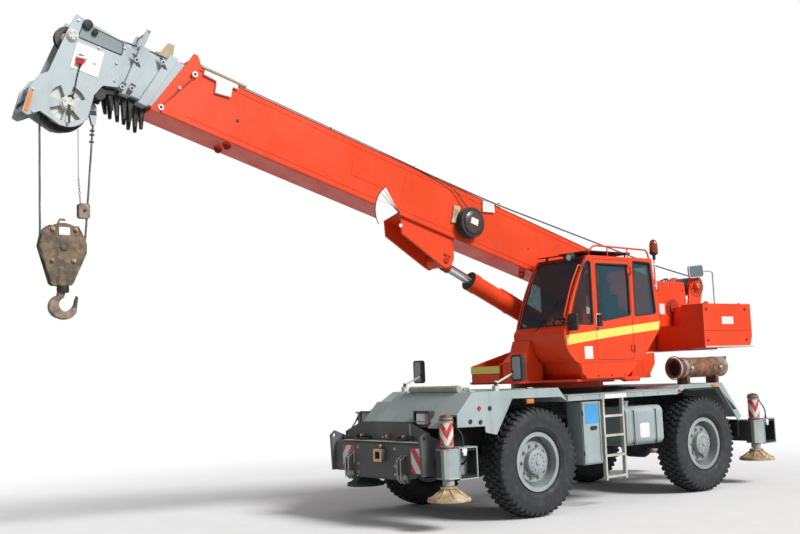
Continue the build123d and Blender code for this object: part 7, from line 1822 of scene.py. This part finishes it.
gland.lathe([(-0.012, 0.1185), (-0.012, 0.1265), (0.006, 0.1265), (0.010, 0.110), (0.014, 0.062),
             (0.004, 0.0615)], FOOT + 3.120 * LIFT, LIFT, 56)
gland.done("lift_gland", BLACK, "lift_barrel")
valve = Shape()
valve.box(FOOT + 0.34 * LIFT + LOCK_VALVE, (0.17, 0.10, 0.07), LIFT_TURN)
for distance, out in ((0.30, LEFT), (0.38, RIGHT)):
    port = FOOT + distance * LIFT + LOCK_VALVE
    valve.rod(port + Vector((0, out * 0.05, 0)), port + Vector((0, out * 0.085, 0)), 0.016, 6)
valve.done("lift_lock_valve", GREASE, "lift_barrel", bevel=0.002)
eye = Shape()
for out in (LEFT, RIGHT):
    eye.lathe([(0, 0.052), (0, 0.080), (0.006, 0.078), (0.006, 0.052)], EYE + Vector((0, out * 0.1382, 0)),
              (0, out, 0), 40)
    eye.turned([(0, 0), (0, 0.046), (0.004, 0.044), (0.004, 0)], EYE + Vector((0, out * 0.1382, 0)),
               (0, out, 0), 32)
eye.done("lift_rod_eye_trim", RED_PAINTED_SHADE, "lift_rod", bevel=0.001)
rod_data = nodes["lift_rod"].data
finish_node("lift_rod", CHROME)
rod_data.materials.append(RED)
for face in rod_data.polygons:
    face.material_index = int((nodes["lift_rod"].matrix_world @ face.center - EYE).length < EYE_REACH)
collar = Shape()
collar.lathe([(-0.020, 0.0605), (-0.010, 0.0735), (0.090, 0.0735), (0.110, 0.062)], EYE - 0.185 * LIFT,
             LIFT, 40)
collar.done("lift_rod_collar", RED_PAINTED_SHADE, "lift_rod")

# ================================================================ ropes, hook block and hook
BLOCK_X, BLOCK_Z = HANG.x - SLEW_X, 3.200        # middle of the block's sheave, for outlines
BLOCK = P(BLOCK_X, 0, BLOCK_Z)
FALL = 0.230                                    # from the sheave's middle to each fall


def about_block(outline):
    """An outline in x and z that is given from the sheave's middle."""
    return [(BLOCK_X + x, BLOCK_Z + z) for x, z in outline]


def twisted(shape, start, end, radius=ROPE_RADIUS, strands=6, lay=0.115):
    """A laid wire rope between two points."""
    axis = end - start
    length = axis.length
    turn = axis.to_track_quat("Z", "Y").to_matrix()
    count = max(4, int(length / lay * 12))
    for s in range(strands):
        path = []
        for i in range(count + 1):
            t = i / count
            a = 2 * pi * (t * length / lay + s / strands)
            path.append(start + turn @ Vector((0.66 * radius * cos(a), 0.66 * radius * sin(a), t * length)))
        shape.pipe(path, 0.40 * radius, 5)


DEAD_TOP = HANG + Vector((-0.327, 0, -0.150))
falls = Shape()
twisted(falls, BLOCK + Vector((FALL, 0, 0)), HANG + Vector((FALL, 0, 0)))
twisted(falls, BLOCK + Vector((-FALL, 0, 0)), DEAD_TOP)
arc = [BLOCK + spoke(FALL, a) for a in [pi + pi * i / 40 for i in range(41)]]
falls.pipe(arc, 0.0105, 8)
falls = falls.done("laid_rope_falls", ROPE, "hook_group")
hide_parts("hoist_ropes")
socket = Shape()
socket_outline = [(-0.016, -0.006), (0.016, -0.006), (0.042, 0.092), (0.036, 0.214), (-0.010, 0.236),
                  (-0.034, 0.200), (-0.038, 0.092)]
outline = [(DEAD_TOP.x - SLEW_X + x, DEAD_TOP.z + z) for x, z in soften(socket_outline, 0.012)]
socket.prism(outline, 0.046, side_face(-0.023))
socket.rod(DEAD_TOP + Vector((0.012, -0.040, 0.190)), DEAD_TOP + Vector((0.012, 0.040, 0.190)), 0.016, 16)
socket.done("wedge_socket", GREY_LIGHT, "hook_group", bevel=0.003)
band = Shape()
band.box(DEAD_TOP + Vector((0.010, 0, 0.125)), (0.082, 0.050, 0.050))
for drop in (0.060, 0.105, 0.180):
    band.box(DEAD_TOP + Vector((0.004 + 0.07 * drop, 0, -drop)), (0.046, 0.030, 0.018))
band.done("rope_clamps", GREASE, "hook_group", bevel=0.003)
eye = Shape()
eye.lathe([(-0.014, 0.014), (-0.014, 0.030), (0.014, 0.030), (0.014, 0.014)],
          DEAD_TOP + Vector((0.012, 0, 0.196)), (0, 1, 0), 28)
eye.done("socket_eye", RUST, "hook_group", bevel=0.002)
line_x = HANG.x - 0.168
weight = Shape()
weight.prism(rectangle(line_x - SLEW_X - 0.111, 3.500, line_x - SLEW_X + 0.009, 3.655, 0.024), 0.070,
             side_face(-0.035))
weight.done("trip_weight", HOOK_STEEL, "hook_group", bevel=0.004)
hole = Shape()
hole.rod(Vector((line_x - 0.051, -0.038, 3.578)), Vector((line_x - 0.051, 0.038, 3.578)), 0.018, 24)
hole.done("trip_weight_hole", BLACK, "hook_group")
chain = Shape()
chain_low, chain_high = Vector((line_x - 0.02, 0, 3.655)), Vector((line_x, 0, 3.934))
links = 9
for i in range(links):
    middle = chain_low.lerp(chain_high, (i + 0.5) / links)
    flat = Vector((1, 0, 0)) if i % 2 else Vector((0, 1, 0))
    loop = [middle + 0.009 * cos(a) * flat + 0.021 * sin(a) * Vector((0, 0, 1))
            for a in angles(12) + [2 * pi]]
    chain.pipe(loop, 0.0035, 6)
chain.rod(chain_high, Vector((line_x, 0, DEAD_TOP.z - 0.06)), 0.0045, 8)
chain.done("trip_chain", STEEL, "hook_group")
trim = Shape()
for out in (LEFT, RIGHT):
    face = BLOCK + Vector((0, out * 0.0645, 0))
    trim.lathe([(0, 0.026), (0, 0.036), (0.004, 0.034), (0.004, 0.028)], face, (0, out, 0), 32)
    trim.turned([(0, 0), (0, 0.055), (0.007, 0.050), (0.007, 0)], face + Vector((0.018, 0, -0.350)),
                (0, out, 0), 32)
    outer = [(0.148, 0.203), (0.211, 0.152), (0.243, 0.0), (0.130, -0.372), (-0.066, -0.394),
             (-0.225, -0.068), (-0.208, 0.088), (-0.146, 0.203)]
    inner = [(0.140, 0.192), (0.198, 0.145), (0.229, 0.002), (0.121, -0.358), (-0.060, -0.380),
             (-0.211, -0.066), (-0.196, 0.084), (-0.140, 0.192)]
    trim.ring(about_block(outer), about_block(inner), 0.0025, side_face(0.052 if out == LEFT else -0.0545))
trim.done("hook_block_trim", HOOK_IRON, "hook_group", bevel=0.001)
bolts = Shape()
for out in (LEFT, RIGHT):
    face = BLOCK + Vector((0, out * 0.0645, 0))
    bolts.bolts([face + Vector((x, 0.0035 * out, z)) for x,
                 z in ((0.120, 0.172), (-0.118, 0.172), (0.125, -0.150), (-0.095, -0.150))], (0, out, 0),
                0.015, 0.012)
bolts.done("hook_block_bolts", RUST_BRASS, "hook_group")
collar = Shape().lathe([(0, 0.028), (0, 0.058), (0.030, 0.062), (0.076, 0.058), (0.076, 0.028)],
                       Vector((HANG.x, 0, 2.730)), (0, 0, 1), 32)
collar.done("hook_shank_collar", BLACK, "hook_group")
label = Shape()
for y in (0.0525, -0.0545):
    label.prism(about_block(rectangle(-0.058, 0.112, 0.055, 0.196, 0.01)), 0.002, side_face(y))
label.prism(about_block(rectangle(-0.036, 0.216, 0.036, 0.262, 0.006)), 0.003, side_face(0.0122))
label.done("hook_block_blank_plates", WHITE, "hook_group")
latch = Shape()
latch.prism([(BLOCK_X + 0.020, 2.668), (BLOCK_X + 0.040, 2.668), (BLOCK_X + 0.098, 2.588),
             (BLOCK_X + 0.088, 2.580)], 0.020, side_face(-0.010))
latch.rod(P(BLOCK_X + 0.028, -0.018, 2.668), P(BLOCK_X + 0.028, 0.018, 2.668), 0.007, 14)
latch.done("hook_latch", STEEL, "hook", bevel=0.001)

# ================================================================ operator's seat
SEAT_AT = P(SEAT_X, CAB_MIDDLE, 0)
SEAT_WIDTH = 0.490


def cushion(name, profile, y, width, wings=0.0, voxel=0.009, cap=0.012, pressure=4.0):
    """A padded form: a side outline in x and z, drawn in towards its ends and swollen by simulation."""
    rows = 14
    mesh = bmesh.new()
    rings = []
    middle = sum((Vector(p) for p in profile), Vector((0, 0))) / len(profile)
    for i in range(rows + 1):
        t = 2 * i / rows - 1
        shrink = 1 - 0.22 * abs(t) ** 6
        swell = wings * abs(t) ** 2.5
        ring = []
        for point in profile:
            spot = middle + shrink * (Vector(point) - middle)
            ring.append(mesh.verts.new((SLEW_X + spot.x + swell, y + 0.5 * (width - 0.02) * t, spot.y)))
        rings.append(ring)
    count = len(profile)
    for low, high in zip(rings, rings[1:]):
        for k in range(count):
            mesh.faces.new((low[k], low[(k + 1) % count], high[(k + 1) % count], high[k]))
    mesh.faces.new(rings[0][::-1])
    mesh.faces.new(rings[-1])
    bmesh.ops.recalc_face_normals(mesh, faces=mesh.faces)
    data = bpy.data.meshes.new(name)
    mesh.to_mesh(data)
    mesh.free()
    piece = bpy.data.objects.new(name, data)
    bpy.context.scene.collection.objects.link(piece)
    data.materials.append(SEAT)
    remesh = piece.modifiers.new("remesh", "REMESH")
    remesh.mode = "VOXEL"
    remesh.voxel_size = voxel
    apply_modifiers(piece)
    puff(piece, pressure, cap)
    smooth = piece.modifiers.new("smooth", "SUBSURF")
    smooth.levels = smooth.render_levels = 1
    apply_modifiers(piece)
    piece.data.shade_smooth()
    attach(piece, TOP)
    return piece


def apply_modifiers(piece):
    """Replaces a piece's mesh by what its modifiers make of it."""
    result = bpy.data.meshes.new_from_object(piece.evaluated_get(bpy.context.evaluated_depsgraph_get()))
    piece.modifiers.clear()
    piece.data = result


CLOTH_FRAMES = 20


def puff(piece, pressure, cap):
    """Swells a closed mesh as a pressurised cloth, each point by no more than the cap."""
    scene = bpy.context.scene
    before = [v.co.copy() for v in piece.data.vertices]
    cloth = piece.modifiers.new("cloth", "CLOTH")
    cloth.settings.use_pressure = True
    cloth.settings.uniform_pressure_force = pressure
    cloth.settings.effector_weights.gravity = 0
    cloth.point_cache.frame_start, cloth.point_cache.frame_end = 1, CLOTH_FRAMES
    for step in range(1, CLOTH_FRAMES + 1):
        scene.frame_set(step)
    apply_modifiers(piece)
    for vertex, old in zip(piece.data.vertices, before):
        move = vertex.co - old
        if move.length > cap:
            vertex.co = old + cap * move.normalized()
    scene.frame_set(1)


def oval(points):
    """A side outline with its corners rounded off."""
    return soften(points, 0.040)


base_pad = cushion("seat_cushion", oval([(-0.170, 2.105), (0.285, 2.100), (0.305, 2.160), (0.270, 2.208),
                                         (-0.120, 2.196), (-0.180, 2.175)]), SEAT_AT.y, SEAT_WIDTH - 0.03)
cushion("seat_back", oval([(-0.165, 2.165), (-0.060, 2.165), (-0.075, 2.330), (-0.115, 2.560),
                           (-0.160, 2.748), (-0.232, 2.748), (-0.205, 2.500), (-0.185, 2.300)]), SEAT_AT.y,
        0.430, wings=0.020)
cushion("head_restraint", oval([(-0.168, 2.762), (-0.232, 2.762), (-0.262, 2.922), (-0.200, 2.930)]),
        SEAT_AT.y, 0.245)
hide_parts("operator_seat")
piping = Shape()
seam = rectangle(-0.185, SEAT_AT.y - 0.225, 0.300, SEAT_AT.y + 0.225, 0.07)
piping.pipe([P(x, y, 2.205 - 0.035 * abs(y - SEAT_AT.y) / 0.225) for x, y in seam + seam[:1]], 0.0045, 8)
piping.done("seat_piping", BLACK, TOP)

pedestal = Shape()
corners = [P(SEAT_X + sx * half_x, SEAT_AT.y + sy * half_y, height)
           for height, half_x, half_y in ((1.8845, 0.205, 0.195), (2.050, 0.165, 0.155))
           for sx, sy in ((-1, -1), (1, -1), (1, 1), (-1, 1))]
pedestal.solid(corners, [(3, 2, 1, 0), (4, 5, 6, 7), (0, 1, 5, 4), (1, 2, 6, 5), (2, 3, 7, 6), (3, 0, 4, 7)])
for z in (2.058, 2.070, 2.082):
    pedestal.prism(rectangle(-0.130, SEAT_AT.y - 0.180, 0.250, SEAT_AT.y + 0.180, 0.03), 0.008, top_face(z))
for y in (-0.205, 0.205):
    pedestal.box(P(SEAT_X, SEAT_AT.y + y, 2.088), (0.40, 0.030, 0.016))
pedestal.rod(P(0.300, SEAT_AT.y - 0.12, 2.080), P(0.300, SEAT_AT.y + 0.12, 2.080), 0.008, 12)
pedestal.done("seat_pedestal", PLASTIC, TOP, bevel=0.004)
shell = Shape()
shell.prism(soften([(-0.228, 2.150), (-0.192, 2.150), (-0.210, 2.350), (-0.228, 2.550), (-0.246, 2.748),
                    (-0.262, 2.748), (-0.245, 2.450)], 0.01), 0.40, side_face(SEAT_AT.y - 0.20))
for y in (-0.06, 0.06):
    shell.rod(P(-0.205, SEAT_AT.y + y, 2.735), P(-0.220, SEAT_AT.y + y, 2.790), 0.006, 12)
shell.done("seat_back_shell", PLASTIC, TOP, bevel=0.006)
for side, out in SIDES.items():
    y = SEAT_AT.y + 0.290 * out
    console = Shape()
    outline = soften([(-0.088, 2.140), (0.322, 2.140), (0.328, 2.240), (0.290, 2.280), (0.020, 2.284),
                      (-0.085, 2.230)], 0.025)
    console.prism(outline, 0.086, side_face(y - 0.043))
    console.box(P(0.120, SEAT_AT.y + 0.249 * out, 2.120), (0.29, 0.055, 0.046))
    console.done("armrest_console_" + side, PLASTIC, TOP, bevel=0.008)
    pad = Shape()
    pad.prism(rectangle(-0.075, y - 0.036, 0.150, y + 0.036, 0.03), 0.020, top_face(2.279))
    pad.done("armrest_pad_" + side, BLACK, TOP, bevel=0.007)
    stick = Shape()
    stick.turned([(0, 0), (0, 0.034), (0.012, 0.030), (0.030, 0.015), (0.036, 0)], P(0.270, y, 2.282),
                 (0, 0, 1), 28)
    stick.rod(P(0.270, y, 2.300), P(0.270, y, 2.362), 0.007, 12)
    stick.turned([(0, 0), (0, 0.014), (0.020, 0.0155), (0.055, 0.0150), (0.064, 0.009), (0.066, 0)],
                 P(0.270, y, 2.356), (0, 0, 1), 24)
    stick.done("joystick_" + side, BLACK, TOP, bevel=0.001)

# ================================================================ floor, light and camera
FLOOR_HALF = 30.0
floor_mesh = bpy.data.meshes.new("studio_floor")
floor_mesh.from_pydata([(-FLOOR_HALF, -FLOOR_HALF, 0), (FLOOR_HALF, -FLOOR_HALF, 0),
                        (FLOOR_HALF, FLOOR_HALF, 0), (-FLOOR_HALF, FLOOR_HALF, 0)], [], [(0, 1, 2, 3)])
floor = bpy.data.objects.new("studio_floor", floor_mesh)
bpy.context.scene.collection.objects.link(floor)
n = Nodes("pale_floor")
tone = n.mix(n.ramp(n.noise(2.0, 5), 0.3, 0.7), (0.86, 0.86, 0.86), (0.83, 0.83, 0.83))
rays = n.add("ShaderNodeLightPath")
direct = n.math("MAXIMUM", rays.outputs["Is Camera Ray"], rays.outputs["Is Glossy Ray"])
n.join(n.mix(direct, (0.42, 0.42, 0.42), tone), n.shader.inputs["Base Color"])
n.shader.inputs["Roughness"].default_value = 0.9
length = n.add("ShaderNodeVectorMath", operation="LENGTH")
n.join(n.place, length.inputs[0])
far = n.ramp(length.outputs["Value"], 6.0, 12.0)
white = n.add("ShaderNodeEmission")
blend = n.add("ShaderNodeMixShader")
n.join(n.math("MULTIPLY", far, direct), blend.inputs[0])
n.join(n.shader.outputs[0], blend.inputs[1])
n.join(white.outputs[0], blend.inputs[2])
n.join(blend.outputs[0], n.tree.nodes["Material Output"].inputs["Surface"])
floor_mesh.materials.append(n.material)

world = bpy.data.worlds.new("studio")
bpy.context.scene.world = world
world.use_nodes = True
tree = world.node_tree
background = tree.nodes["Background"]
rays = tree.nodes.new("ShaderNodeLightPath")
seen = tree.nodes.new("ShaderNodeMath")
seen.operation = "MAXIMUM"
tree.links.new(rays.outputs["Is Camera Ray"], seen.inputs[0])
tree.links.new(rays.outputs["Is Transmission Ray"], seen.inputs[1])
level = tree.nodes.new("ShaderNodeMapRange")
level.inputs["To Min"].default_value = 0.33
level.inputs["To Max"].default_value = 1.00
tree.links.new(seen.outputs[0], level.inputs["Value"])
background.inputs["Color"].default_value = (1, 1, 1, 1)
tree.links.new(level.outputs["Result"], background.inputs["Strength"])

KEY_POWER, KEY_ANGLE = 3.5, radians(20)
KEY_FROM = Vector((-0.25, 0.75, 0.60))
sun_data = bpy.data.lights.new("soft_key", "SUN")
sun_data.energy = KEY_POWER
sun_data.angle = KEY_ANGLE
sun = bpy.data.objects.new("soft_key", sun_data)
bpy.context.scene.collection.objects.link(sun)
sun.rotation_euler = KEY_FROM.to_track_quat("Z", "Y").to_euler()

# the camera's place, direction and lens, fitted to the photo
CAMERA_AT = P(10.7356, 10.4813, 1.7762)
SENSOR_MM, LENS_MM = 36.0, 47.29
YAW, PITCH, ROLL = radians(37.504), radians(5.839), radians(-2.202)
view = Vector((-sin(YAW) * cos(PITCH), -cos(YAW) * cos(PITCH), sin(PITCH)))
flat_right = view.cross(Vector((0, 0, 1))).normalized()
flat_up = flat_right.cross(view)
right = cos(ROLL) * flat_right + sin(ROLL) * flat_up
up = -sin(ROLL) * flat_right + cos(ROLL) * flat_up
camera_data = bpy.data.cameras.new("camera")
camera_data.sensor_width = SENSOR_MM
camera_data.lens = LENS_MM
camera_data.clip_end = 200.0
camera = bpy.data.objects.new("camera", camera_data)
bpy.context.scene.collection.objects.link(camera)
turn = Matrix((right, up, -view)).transposed().to_4x4()
camera.matrix_world = Matrix.Translation(CAMERA_AT) @ turn
bpy.context.scene.camera = camera
bpy.context.scene.view_settings.view_transform = "Standard"
